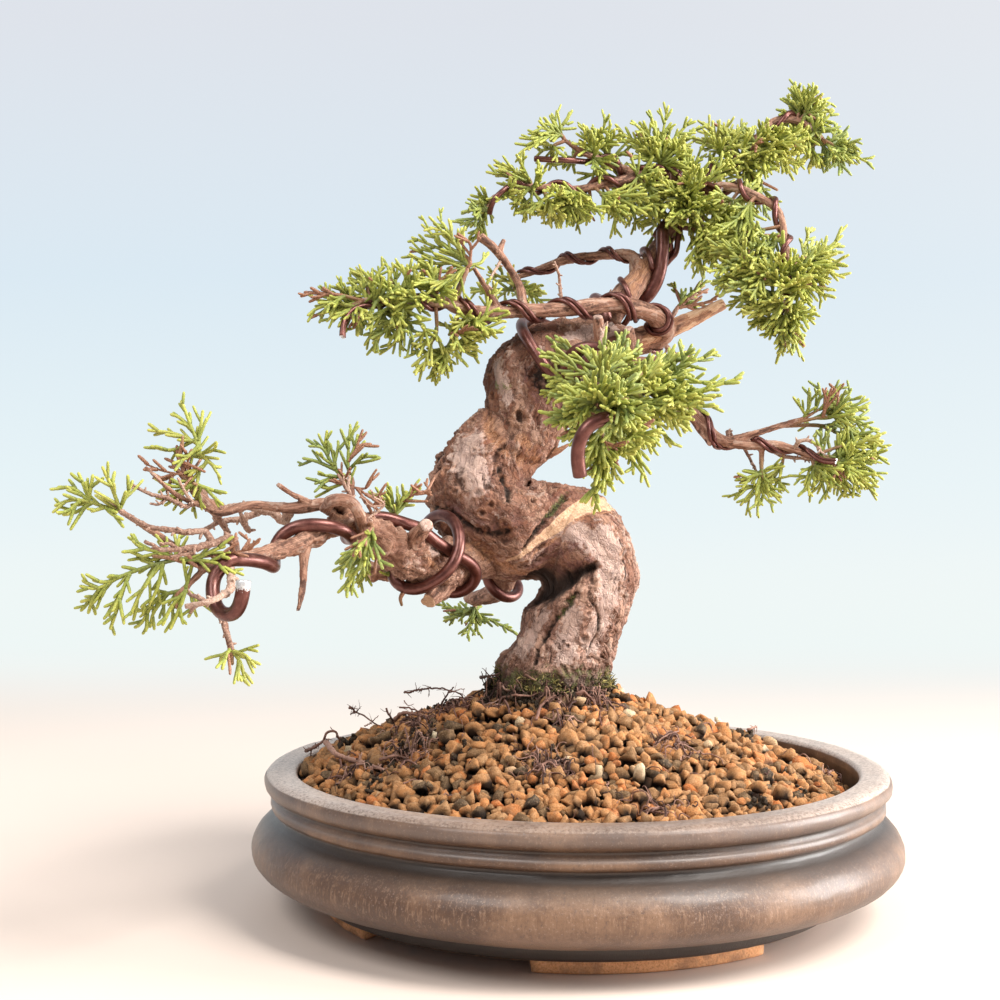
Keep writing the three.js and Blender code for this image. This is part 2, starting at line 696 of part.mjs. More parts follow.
function wireSolid(route, wire) {
  const outline = strandOutline(wire);
  let out = route.find((point) => point.out).out;
  const rings = route.map(({ place, out: ownOut }, i) => {
    const before = route[Math.max(i - 1, 0)].place;
    const after = route[Math.min(i + 1, route.length - 1)].place;
    const tangent = after.clone().sub(before).normalize();
    out = framed(tangent, ownOut ?? out).front;
    const side = tangent.clone().cross(out);
    return outline.map(([x, y]) => place.clone().addScaledVector(out, y).addScaledVector(side, -x));
  });
  return tubeOf(rings);
}

// Sprays

const bends = [0, 25, -25, 50, -50, 80, -80].map(radians);
const sideShootAt = 0.4;
const sideShootShare = 0.5;

// A three-sided shoot: a point sunk in what it grows from, its thickest a little way out,
// and a narrower blunt tip
function shootSolid([from, to]) {
  const tangent = to.clone().sub(from).normalize();
  const { front, side } = framed(tangent, anyFacing(tangent));
  return solidOf(new ConvexGeometry([
    from,
    ...ringAt(from.clone().lerp(to, 0.25), front, side, 3, () => shootRadius),
    ...ringAt(to, front, side, 3, () => shootTipRadius),
  ]));
}

// The three-sided core of a spray, which its shoots stand out of
function coreSolid([start, bend, end]) {
  const ways = [bend.clone().sub(start), end.clone().sub(start), end.clone().sub(bend)];
  const rings = [start, bend, end].map((spot, i) => {
    const { front, side } = framed(ways[i].normalize(), anyFacing(ways[0]));
    return ringAt(spot, front, side, 3, () => coreRadii[i]);
  });
  return tubeOf(rings);
}

const isClear = (from, to, radius, obstacles) => obstacles.every(
  (capsule) => intrusion(from, to, radius, capsule).depth <= 0,
);

// The end of a shoot, bent aside or shortened until it is clear, or nothing
function clearEnd(from, to, obstacles) {
  const reach = to.clone().sub(from);
  const { front, side } = framed(reach.clone().normalize(), anyFacing(reach.clone().normalize()));
  for (const share of [1, 0.75, 0.5]) {
    for (const bend of bends) {
      for (const axis of [front, side]) {
        const end = from.clone().addScaledVector(reach.clone().applyAxisAngle(axis, bend), share);
        if (isClear(from, end, shootRadius, obstacles)) return end;
      }
    }
  }
  return null;
}

// The shoots of one spray: its core, a shoot from the core to each tip, and side shoots
function growSpray([, , tips], { core }, obstacles, random) {
  const shoots = [core];
  const [, coreStart, coreEnd] = core;
  tips.forEach((tip, i) => {
    const from = coreStart.clone().lerp(coreEnd, (i + 0.5) / tips.length);
    const to = clearEnd(from, vector(tip), obstacles);
    if (!to) return;
    shoots.push([from, to]);
    const reach = to.clone().sub(from);
    const { front, side } = framed(reach.clone().normalize(), anyFacing(reach.clone().normalize()));
    const turn = random() * 2 * Math.PI;
    const base = from.clone().lerp(to, sideShootAt);
    const out = front.multiplyScalar(Math.cos(turn)).addScaledVector(side, Math.sin(turn));
    const aim = out.addScaledVector(reach, 1 / reach.length())
      .setLength(Math.max(shortestSideShoot, reach.length() * sideShootShare));
    const end = clearEnd(base, base.clone().add(aim), obstacles);
    if (end) shoots.push([base, end]);
  });
  return shoots;
}

// Pot, drain screens and soil

// Points on an ellipse, for round stretches of a profile
function arc([x, y], [xRadius, yRadius], fromDegrees, toDegrees, count) {
  return Array.from({ length: count + 1 }, (_, i) => {
    const angle = radians(mix(fromDegrees, toDegrees, i / count));
    return [x + xRadius * Math.cos(angle), y + yRadius * Math.sin(angle)];
  });
}

// A solid turned round the pot's axis from a profile of [radius, height]
function turned(profile) {
  const outline = profile.map(([radius, height]) => new THREE.Vector2(radius, height));
  const geometry = new THREE.LatheGeometry([...outline, outline[0]], potSides);
  geometry.rotateX(Math.PI / 2);
  return solidOf(geometry);
}

// A prism over a plan between two heights
function prism(shape, bottom, top, curveSegments = 8) {
  const depth = top - bottom;
  const geometry = new THREE.ExtrudeGeometry(shape, { depth, bevelEnabled: false, curveSegments });
  geometry.translate(0, 0, bottom);
  return solidOf(geometry);
}

const polygon = (radius, sides) => new THREE.Shape(Array.from({ length: sides }, (_, i) => {
  const angle = (2 * Math.PI * i) / sides;
  return new THREE.Vector2(radius * Math.cos(angle), radius * Math.sin(angle));
}));

// The inside of the pot drawn in by a clearance, without its top
function insideProfile(clearance) {
  return [
    [0, floorTop + clearance],
    [rimInnerRadius - 4 - clearance, floorTop + clearance],
    [rimInnerRadius + 3 - clearance, floorTop + 13],
    [rimInnerRadius - clearance, rimHeight - 1.5],
  ];
}

function makePot() {
  const belly = arc([bellyRadius - bellyRounding[0], bellyHeight], bellyRounding, -62, 60, 5);
  const lip = arc([rimOuterRadius - 2.1, rimHeight - 4], [2.1 + lipReach, 4], -55, 90, 3);
  const outside = [
    [0, floorUnderside],
    [baseRadius - 1.5, floorUnderside],
    [baseRadius + 0.5, baseBandTop],
    ...belly,
    neck,
    bead,
    groove,
    ...lip,
    [rimInnerRadius + 0.9, rimHeight],
  ];
  let pot = turned([...outside, ...insideProfile(0).reverse()]);
  const drain = prism(polygon(drainHoleRadius, holeSides), 0, floorTop + 5);
  for (const spot of drainHolePlaces) pot = pot.subtract(drain.translate([...spot, 0]));
  return footAngles.reduce((whole, angle) => whole.add(makeFoot(angle)), pot);
}

// A low foot under the base, its ends cut at a slant
function makeFoot(middleAngle) {
  const half = radians(footHalfAngle);
  const outerRadius = baseRadius - 1.7;
  const shape = new THREE.Shape();
  shape.absarc(0, 0, outerRadius, -half, half, false);
  shape.absarc(0, 0, outerRadius - footDepth, half * 0.8, -half * 0.8, true);
  const foot = prism(shape, 0, floorUnderside + 1.5, 4);
  return foot.rotate([0, 0, middleAngle]);
}

// A plastic mesh over a drain hole
function makeScreen([x, y]) {
  const pitch = screenSide / (screenHoles + 0.4);
  const opening = pitch * 0.64;
  let screen = solidOf(new THREE.BoxGeometry(screenSide, screenSide, screenThickness));
  for (let i = 0; i < screenHoles ** 2; i++) {
    const column = (i % screenHoles) - (screenHoles - 1) / 2;
    const row = Math.floor(i / screenHoles) - (screenHoles - 1) / 2;
    const hole = solidOf(new THREE.BoxGeometry(opening, opening, 2 * screenThickness));
    screen = screen.subtract(hole.translate([column * pitch, row * pitch, 0]));
  }
  return screen.translate([x, y, floorTop + gap + screenThickness / 2]);
}

// The soil: a mound paved with coarse grains, filling the pot round the trunk's foot
function makeSoil(random) {
  const reach = rimInnerRadius + 4;
  const bottom = floorTop - 5;
  const positions = [];
  const triangles = [];
  const indexAt = (ring, step) => (ring === 0 ? 0 : 3 * ring * (ring - 1) + 1 + (step % (6 * ring)));
  for (let ring = 0; ring <= grainRings; ring++) {
    for (let step = 0; step < Math.max(1, 6 * ring); step++) {
      const stray = ring === grainRings ? 0 : grainStray;
      const angle = ring ? (2 * Math.PI * step) / (6 * ring) : 0;
      const sector = Math.floor(step / Math.max(ring, 1));
      const isTop = (ring + step - sector * ring) % 3 === 0;
      const radius = (reach * ring) / grainRings + (random() - 0.5) * stray;
      const x = radius * Math.cos(angle) + (random() - 0.5) * stray;
      const y = radius * Math.sin(angle) + (random() - 0.5) * stray;
      const fromTrunk = Math.hypot(x - trunkFoot[0], y - trunkFoot[1]);
      const relief = isTop ? 0.8 + random() : -0.6 - 0.6 * random();
      positions.push(x, y, Math.min(moundPeak - moundSlope * fromTrunk, moundFlat) + relief);
    }
  }
  for (let ring = 1; ring <= grainRings; ring++) {
    for (let sector = 0; sector < 6; sector++) {
      for (let k = 0; k < ring; k++) {
        const outer = indexAt(ring, sector * ring + k);
        const outerNext = indexAt(ring, sector * ring + k + 1);
        const inner = indexAt(ring - 1, sector * (ring - 1) + k);
        const innerNext = indexAt(ring - 1, sector * (ring - 1) + k + 1);
        triangles.push(outer, outerNext, inner);
        if (k + 1 < ring) triangles.push(inner, outerNext, innerNext);
      }
    }
  }
  const edge = 6 * grainRings;
  const first = positions.length / 3;
  for (let step = 0; step < edge; step++) {
    const angle = (2 * Math.PI * step) / edge;
    positions.push(reach * Math.cos(angle), reach * Math.sin(angle), bottom);
    const above = indexAt(grainRings, step);
    const aboveNext = indexAt(grainRings, step + 1);
    const nextBelow = first + ((step + 1) % edge);
    triangles.push(first + step, nextBelow, aboveNext, first + step, aboveNext, above);
    if (step > 0 && step + 1 < edge) triangles.push(first, nextBelow, first + step);
  }
  const mound = solidFrom(positions, triangles);
  const inside = turned([...insideProfile(gap), [rimInnerRadius - gap, 100], [0, 100]]);
  let soil = mound.intersect(inside);
  const hole = prism(polygon(trunkFootRadius * 1.12, holeSides), trunkFootDepth - gap, 100);
  soil = soil.subtract(hole.translate([...trunkFoot, 0]));
  const pocket = screenSide + 2 * gap;
  for (const [x, y] of drainHolePlaces) {
    const room = solidOf(new THREE.BoxGeometry(pocket, pocket, 2 * (screenThickness + 2 * gap)));
    soil = soil.subtract(room.translate([x, y, floorTop]));
  }
  return mainBody(soil);
}

// The whole part

const finishes = {
  glaze: { color: 0x6f6059, roughness: 0.45 },
  screen: { color: 0x1c1c1e, roughness: 0.6 },
  gravel: { color: 0xa56f40, roughness: 0.95 },
  bark: { color: 0x8b6c5c, roughness: 0.9 },
  wire: { color: 0x5d2f2c, roughness: 0.35, metalness: 0.8 },
  leaf: { color: 0x8fb13d, roughness: 0.6 },
};

const group = new THREE.Group();
group.position.set(...axisPlace);

function place(name, solid, finish) {
  const mesh = new THREE.Mesh(geometryOf(solid), new THREE.MeshStandardMaterial(finishes[finish]));
  mesh.name = name;
  group.add(mesh);
}

place('pot', makePot(), 'glaze');
drainHolePlaces.forEach((spot, i) => place(`drain_screen_${i + 1}`, makeScreen(spot), 'screen'));
place('soil', makeSoil(randomStream(11)), 'gravel');
place('tree', makeWood(), 'bark');

const coreCapsules = Object.values(twigs).map(({ core: [start, coreStart] }) => ({
  from: start, to: coreStart, fromRadius: shootRadius, toRadius: shootRadius,
}));
const wireCapsules = [];
for (const [name, wire] of Object.entries(wires)) {
  const route = routeOf(wire);
  seat(route, wire.radius, [...woodCapsules, ...coreCapsules, ...wireCapsules]);
  wireCapsules.push(...capsulesOf(route.map(({ place: spot }) => ({ place: spot, radius: wire.radius }))));
  place(name, wireSolid(route, wire), 'wire');
}

const random = randomStream(5);
const inPlace = [...woodCapsules, ...wireCapsules];
Object.entries(sprays).forEach(([name, spray], i) => {
  const otherCores = coreCapsules.filter((_, k) => k !== i);
  const [core, ...shoots] = growSpray(spray, twigs[name], [...inPlace, ...otherCores], random);
  const solids = [coreSolid(core), ...shoots.map(shootSolid)];
  place(`spray_${name}`, mainBody(wasm.Manifold.union(solids)), 'leaf');
  for (const places of [core, ...shoots]) {
    inPlace.push(...capsulesOf(places.map((spot) => ({ place: spot, radius: shootRadius }))));
  }
});

export default group;
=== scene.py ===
import math
import bmesh
import bpy
import numpy as np
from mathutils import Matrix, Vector
from mathutils.bvhtree import BVHTree
from mathutils.geometry import delaunay_2d_cdt


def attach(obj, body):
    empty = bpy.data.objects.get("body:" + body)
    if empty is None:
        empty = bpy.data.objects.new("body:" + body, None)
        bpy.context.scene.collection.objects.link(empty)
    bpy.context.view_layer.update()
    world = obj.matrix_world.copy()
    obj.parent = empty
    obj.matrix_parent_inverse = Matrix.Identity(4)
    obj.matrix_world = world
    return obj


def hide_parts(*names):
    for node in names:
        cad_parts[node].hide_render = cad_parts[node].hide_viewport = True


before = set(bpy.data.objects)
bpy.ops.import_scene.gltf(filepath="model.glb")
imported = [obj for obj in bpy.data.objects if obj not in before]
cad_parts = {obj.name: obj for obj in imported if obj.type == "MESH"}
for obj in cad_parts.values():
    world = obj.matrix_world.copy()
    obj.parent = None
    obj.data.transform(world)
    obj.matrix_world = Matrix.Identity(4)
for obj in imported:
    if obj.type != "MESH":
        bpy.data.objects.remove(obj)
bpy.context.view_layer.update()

# Lengths are millimetres from the pot's axis until buildMesh turns them into metres.
axisPlace = np.array([19.0, 7.0, 0.0])
photoCamera = {
    "place": np.array([-26.3, -519.0, 138.5]),
    "focalPixels": 1480.0,
    "middlePixel": 500.0,
    "sensorWidth": 36.0,
}


# numbers that repeat on every run, and smooth noise
randomSeed = 20
noiseHash = {
    "cell": (73856093, 19349663, 83492791), "seed": (6971, 17),
    "rounds": ((13, 1274126177), (15, 668265263)), "mask": 0x7FFFFFFF, "turns": 1024,
}
noiseGain = 1.7  # brings the noise to about -1 to 1


def newStream(offset=0):
    return np.random.default_rng(randomSeed + offset)


def smoothStep(value, low, high):
    share = np.clip((value - low) / (high - low), 0, 1)
    return share * share * (3 - 2 * share)


def gradientNoise(points, seed=0):
    base = np.floor(points).astype(np.int64)
    part = points - base
    fade = part ** 3 * (part * (part * 6 - 15) + 10)
    total = np.zeros(len(points))
    turns, (seedFactor, seedStart) = noiseHash["turns"], noiseHash["seed"]
    for corner in range(8):
        step = np.array([corner & 1, corner >> 1 & 1, corner >> 2 & 1])
        cell = base + step
        mixed = np.full(len(points), seed * seedFactor + seedStart)
        for axis, factor in enumerate(noiseHash["cell"]):
            mixed = mixed ^ cell[:, axis] * factor
        for shift, factor in noiseHash["rounds"]:
            mixed = ((mixed ^ (mixed >> shift)) * factor) & noiseHash["mask"]
        turn = mixed % turns * (2 * math.pi / turns)
        height = mixed // turns % turns * 2 / (turns - 1) - 1
        flat = np.sqrt(1 - height ** 2)
        away = part - step
        slope = flat * np.cos(turn) * away[:, 0] + flat * np.sin(turn) * away[:, 1] + height * away[:, 2]
        total += np.prod(np.where(step, fade, 1 - fade), axis=1) * slope
    return total * noiseGain


def layeredNoise(points, octaves, seed=0):
    total, size = np.zeros(len(points)), 1.0
    for octave in range(octaves):
        total += size * gradientNoise(points * 2 ** octave, seed + octave)
        size *= 0.5
    return total


# meshes from arrays
def buildMesh(name, points, faces, materials, attributes=None, smooth=True):
    # faces is a list of arrays, each with rows of three or of four corners
    mesh = bpy.data.meshes.new(name)
    points = (np.asarray(points, float) + axisPlace) * 0.001
    faces = [np.asarray(rows, np.int32) for rows in faces if len(rows)]
    corners = np.concatenate([rows.ravel() for rows in faces])
    sizes = np.concatenate([np.full(len(rows), rows.shape[1]) for rows in faces])
    mesh.vertices.add(len(points))
    mesh.vertices.foreach_set("co", points.astype(np.float32).ravel())
    mesh.loops.add(len(corners))
    mesh.loops.foreach_set("vertex_index", corners)
    mesh.polygons.add(len(sizes))
    mesh.polygons.foreach_set("loop_start", np.concatenate([[0], np.cumsum(sizes)[:-1]]).astype(np.int32))
    mesh.update(calc_edges=True)
    for key, values in (attributes or {}).items():
        values = np.asarray(values, np.float32)
        kind = "FLOAT_VECTOR" if values.ndim == 2 else "FLOAT"
        layer = mesh.attributes.new(key, kind, "POINT")
        layer.data.foreach_set("vector" if values.ndim == 2 else "value", values.ravel())
    for material in materials:
        mesh.materials.append(material)
    if smooth:
        mesh.shade_smooth()
    piece = bpy.data.objects.new(name, mesh)
    bpy.context.scene.collection.objects.link(piece)
    return piece


def finishPiece(piece, node):
    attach(piece, "root")
    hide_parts(node)


class Heap:
    # collects many small solids of one kind into one mesh
    def __init__(self):
        self.points, self.faces, self.values, self.count = [], {3: [], 4: []}, {}, 0

    def add(self, points, faces, **values):
        for rows in faces:
            rows = np.asarray(rows)
            self.faces[rows.shape[1]].append(rows + self.count)
        self.points.append(points)
        self.count += len(points)
        for key, value in values.items():
            value = np.asarray(value, float)
            isWide = value.ndim and len(value) == len(points)
            self.values.setdefault(key, []).append(value if isWide else np.full(len(points), value))

    def build(self, name, materials, smooth=True):
        faces = [np.concatenate(rows) for rows in self.faces.values() if rows]
        values = {key: np.concatenate(rows) for key, rows in self.values.items()}
        return buildMesh(name, np.concatenate(self.points), faces, materials, values, smooth=smooth)


# paths and tubes
def unit(rows):
    return rows / np.maximum(np.linalg.norm(rows, axis=-1, keepdims=True), 1e-9)


def peak(value, middle, width):
    # 1 at the middle, fading out on both sides
    return np.exp(-((value - middle) / width) ** 2)


def distanceAlong(places):
    return np.concatenate([[0], np.cumsum(np.linalg.norm(np.diff(places, axis=0), axis=1))])


def turnsRound(sides):
    return np.arange(sides) * (2 * math.pi / sides)


def onCircle(radius, turn):
    return np.stack([radius * np.cos(turn), radius * np.sin(turn)], 1)


def straightened(sides, radius, heights):
    # the points of a tube as if it were straight, for patterns that follow it
    turn = turnsRound(sides)
    return np.stack(np.broadcast_arrays(
        np.cos(turn)[None] * radius, np.sin(turn)[None] * radius, heights[:, None],
    ), axis=-1).reshape(-1, 3)


def splinePath(points, step):
    # a Catmull-Rom curve through rows of numbers, whose first three are a place
    points = np.asarray(points, float)
    padded = np.vstack([2 * points[0] - points[1], points, 2 * points[-1] - points[-2]])
    rows = []
    for i in range(1, len(points)):
        before, here, there, after = padded[i - 1:i + 3]
        count = max(1, int(round(np.linalg.norm(there[:3] - here[:3]) / step)))
        share = (np.arange(count + (i == len(points) - 1)) / count)[:, None]
        leave, arrive = 0.5 * (there - before), 0.5 * (after - here)
        rows.append(
            (2 * share ** 3 - 3 * share ** 2 + 1) * here + (share ** 3 - 2 * share ** 2 + share) * leave
            + (3 * share ** 2 - 2 * share ** 3) * there + (share ** 3 - share ** 2) * arrive
        )
    return np.vstack(rows)


def tangentsOf(places):
    return unit(np.gradient(places, axis=0))


def framesOf(tangents, facing):
    fronts = unit(facing - tangents * (tangents @ facing)[:, None])
    return fronts, np.cross(tangents, fronts)


def anyFacing(tangent):
    return np.array([0.0, 0.0, 1.0]) if abs(tangent[2]) < 0.8 else np.array([0.0, -1.0, 0.0])


def carriedFrames(tangents):
    front = anyFacing(tangents[0])
    fronts = np.empty_like(tangents)
    for i, tangent in enumerate(tangents):
        front = front - tangent * (tangent @ front)
        front = front / max(np.linalg.norm(front), 1e-9)
        fronts[i] = front
    return fronts, np.cross(tangents, fronts)


def ringQuads(rings, sides):
    around = np.arange(sides)
    beside = (around + 1) % sides
    start = np.arange(rings - 1)[:, None] * sides
    ends = [start + around, start + beside, start + sides + beside, start + sides + around]
    return np.stack(ends, axis=-1).reshape(-1, 4)


tubeFaceCache = {}


def tubeFaces(rings, sides):
    # quads round the tube, and a fan at each end that meets one more point
    if (rings, sides) not in tubeFaceCache:
        around = np.arange(sides)
        beside = (around + 1) % sides
        last = (rings - 1) * sides
        first = np.full(sides, rings * sides)
        fans = np.vstack([
            np.stack([first, beside, around], axis=-1),
            np.stack([first + 1, last + around, last + beside], axis=-1),
        ])
        tubeFaceCache[rings, sides] = [ringQuads(rings, sides), fans]
    return tubeFaceCache[rings, sides]


def tubePoints(places, fronts, sideways, radii, sides, endReach=(0.0, 0.0)):
    # radii has one value a ring, or one a ring and side
    turn = turnsRound(sides)[None, :, None]
    radii = np.asarray(radii, float)
    radii = radii[:, None] if radii.ndim == 1 else radii
    out = fronts[:, None, :] * np.cos(turn) + sideways[:, None, :] * np.sin(turn)
    shell = places[:, None, :] + out * radii[:, :, None]
    ends = [
        places[0] - unit(places[1] - places[0]) * endReach[0],
        places[-1] + unit(places[-1] - places[-2]) * endReach[1],
    ]
    return np.vstack([shell.reshape(-1, 3), ends])


# Rows of x, y, z and radius down the middle of each limb. They are the solids' driving points, but the left
# limbs, the crown branch that hangs to the right and the burl's loop are slimmer here.
limbs = {
    "trunk": [
        [-8, 1, 62, 19.5], [-8, 1, 74, 19.5], [-6, 0, 81, 17.5], [-2.5, 0, 91, 16.5], [1.5, -2, 102, 16.5],
        [4.5, -3, 112, 15.8], [3.5, -2, 122, 15.8], [-3, 2, 127, 16.5], [-16, 0, 127, 18],
        [-27, -6, 131, 18.5], [-33, -8, 141, 17.5], [-30, -7, 152, 15.5], [-21, -5, 161, 14],
        [-17, -4, 170, 14.8], [-16, -3, 180, 15], [-11, 0, 188, 12.5], [-2, 4, 193, 9.5], [8, 10, 198, 7],
        [16, 16, 209, 4.6], [25, 22, 220, 3.8], [32, 27, 231, 3.4], [39, 30, 241, 3], [45, 32, 252, 2.4],
    ],
    "left": [
        [-26, -4, 123, 11], [-37, -14, 119, 8.5], [-47, -26, 117, 8], [-56, -42, 120, 7.0],
        [-64, -55, 127, 4.9], [-72, -66, 133, 3.4],
    ],
    "leftUpper": [
        [-72, -66, 133, 3.4], [-79, -70, 137, 2.2], [-89, -74, 136, 1.7], [-100, -80, 137, 1.4],
        [-109, -86, 135, 1.3], [-115, -90, 141, 1.1], [-119, -92, 151, 0.8],
    ],
    "leftLower": [
        [-72, -66, 133, 3.6], [-80, -76, 128, 2.7], [-88, -84, 125, 2.7], [-95, -92, 123, 2.2],
        [-101, -100, 122, 1.8], [-108, -106, 120, 1.2],
    ],
    "midLeft": [
        [8, 10, 198, 7], [24, 12, 195, 4.2], [32, 8, 199, 3.8], [26, 0, 204, 3.3], [13, -6, 206, 3],
        [-4, -10, 204, 2.7], [-19, -14, 203, 2.5], [-35, -18, 202, 2.3], [-45, -20, 205, 2],
        [-58, -22, 206, 1.5], [-72, -25, 205, 1],
    ],
    "upLeft": [
        [25, 22, 220, 3.8], [22, 24, 228, 2], [12, 28, 229, 1.8], [-2, 33, 228, 1.6], [-12, 38, 225, 1.4],
        [-23, 42, 222, 1],
    ],
    "front": [
        [-5, 2, 191, 11], [-1, -14, 187, 5.5], [4, -38, 181, 4.2], [6, -62, 175, 3.6], [5, -84, 168, 3],
        [2, -98, 163, 2.2],
    ],
    "right": [
        [2, 6, 193, 8], [17, 14, 187, 3.6], [33, 16, 176, 2.8], [44, 14, 169, 2.4], [51, 12, 161, 2.1],
        [62, 10, 158, 1.8], [73, 8, 158, 1.6], [84, 6, 154, 1.2],
    ],
    "rightUpper": [[55, 11, 159.5, 1.7], [64, 10, 162, 1.4], [74, 9, 165, 1.1]],
    "crownTop": [[25, 22, 257, 1.6], [14, 20, 261, 1.4], [4, 16, 264, 1.1], [-3, 14, 268, 0.9]],
    "crownLeft": [
        [45, 32, 252, 2.4], [36, 28, 258, 2], [25, 22, 257, 1.8], [13, 16, 253, 1.6], [0, 12, 250, 1.4],
        [-14, 8, 250, 1.2], [-23, 6, 249, 1], [-29, 4, 245, 0.9],
    ],
    "crownRight": [
        [45, 32, 252, 2.4], [55, 36, 262, 2.2], [66, 40, 268, 1.9], [77, 44, 282, 1.6], [88, 46, 283, 1.3],
        [97, 46, 276, 1],
    ],
    "crownDrop": [
        [45, 32, 252, 2.4], [55, 22, 253, 1.8], [64, 14, 249, 1.5], [73, 8, 241, 1.3], [74, 2, 229, 1.2],
        [75, -2, 220, 1.1], [74, -4, 208, 1],
    ],
    "backLow": [
        [-27, -6, 131, 12], [-24, 14, 117, 6], [-26, 32, 106, 4], [-34, 52, 101, 3], [-39, 66, 99.5, 2],
    ],
}
limbFacing = {"front": (0, 0, 1), "backLow": (0, 0, 1)}  # the others are turned towards the camera

# Cut stubs, lumps and dead ends in the same rows. The lump under the upper bend and the torn sliver aren't in
# the solids.
stubs = [
    [[9, 6, 193, 5], [27, 8, 197, 3.6], [42, 10, 203, 2.6], [54, 12, 209, 2]],
    [[-55, -38, 121, 4.2], [-53, -50, 126, 2.8], [-49, -62, 131, 2.1]],
    [[-41, -20, 116, 4], [-46, -28, 109, 3.2], [-50, -34, 105, 2.8]],
    [[-52, -28, 118, 4], [-62, -26, 115.5, 3.4], [-70, -28, 114.5, 3]],
    [[-84, -80, 126, 2.0], [-84, -84, 119, 1.3], [-84, -86, 113, 1.1], [-85, -88, 106, 0.7]],
    [[-82, -71, 136.5, 1.2], [-88, -76, 140, 0.9], [-92, -82, 143, 0.85]],
    [[-18, -13, 203, 2], [-20, -10, 213, 1.5], [-27, -14, 223, 1.5], [-33, -16, 228, 1.6]],
    [[-27, -14, 222, 1.3], [-25, -10, 228, 0.9]],
    [[-26, -16, 203, 1.5], [-31, -20, 210, 1.1], [-35, -25, 216, 0.8]],
    [[8, -8, 188, 3], [8, -11, 193, 2.2], [7, -16, 201, 1.8]],
    [[17, 2, 189, 3.2], [19, -4, 192, 2.4], [18, -8, 198, 2]],
    [[14, -2, 186, 3.2], [26, -9, 186, 1.9], [38, -13, 188, 1.6]],
    [
        [-67.5, -66, 129, 2.4], [-68.4, -75, 134.2, 1.9], [-71.4, -77, 138.2, 1.8],
        [-76.4, -77, 138.2, 1.8], [-79.6, -74, 135.4, 1.4],
    ],
    [[40, 14, 172, 1.6], [46, 12, 163, 1.2], [49, 10, 158, 0.9]],
    [[-109, -86, 136, 1.1], [-117, -88, 143, 0.75], [-122, -88, 149, 0.5]],
    [[-109, -86, 135, 1.1], [-119, -95, 140, 0.75], [-127, -99, 148, 0.5]],
    [[-4, -2, 116, 9], [-9, -2, 112.5, 7], [-13.5, -2, 110.5, 5]],
    [[-10, -5, 154, 1.6], [-6, -7, 155.6, 1.1], [-2.2, -8, 158, 0.6]],
]

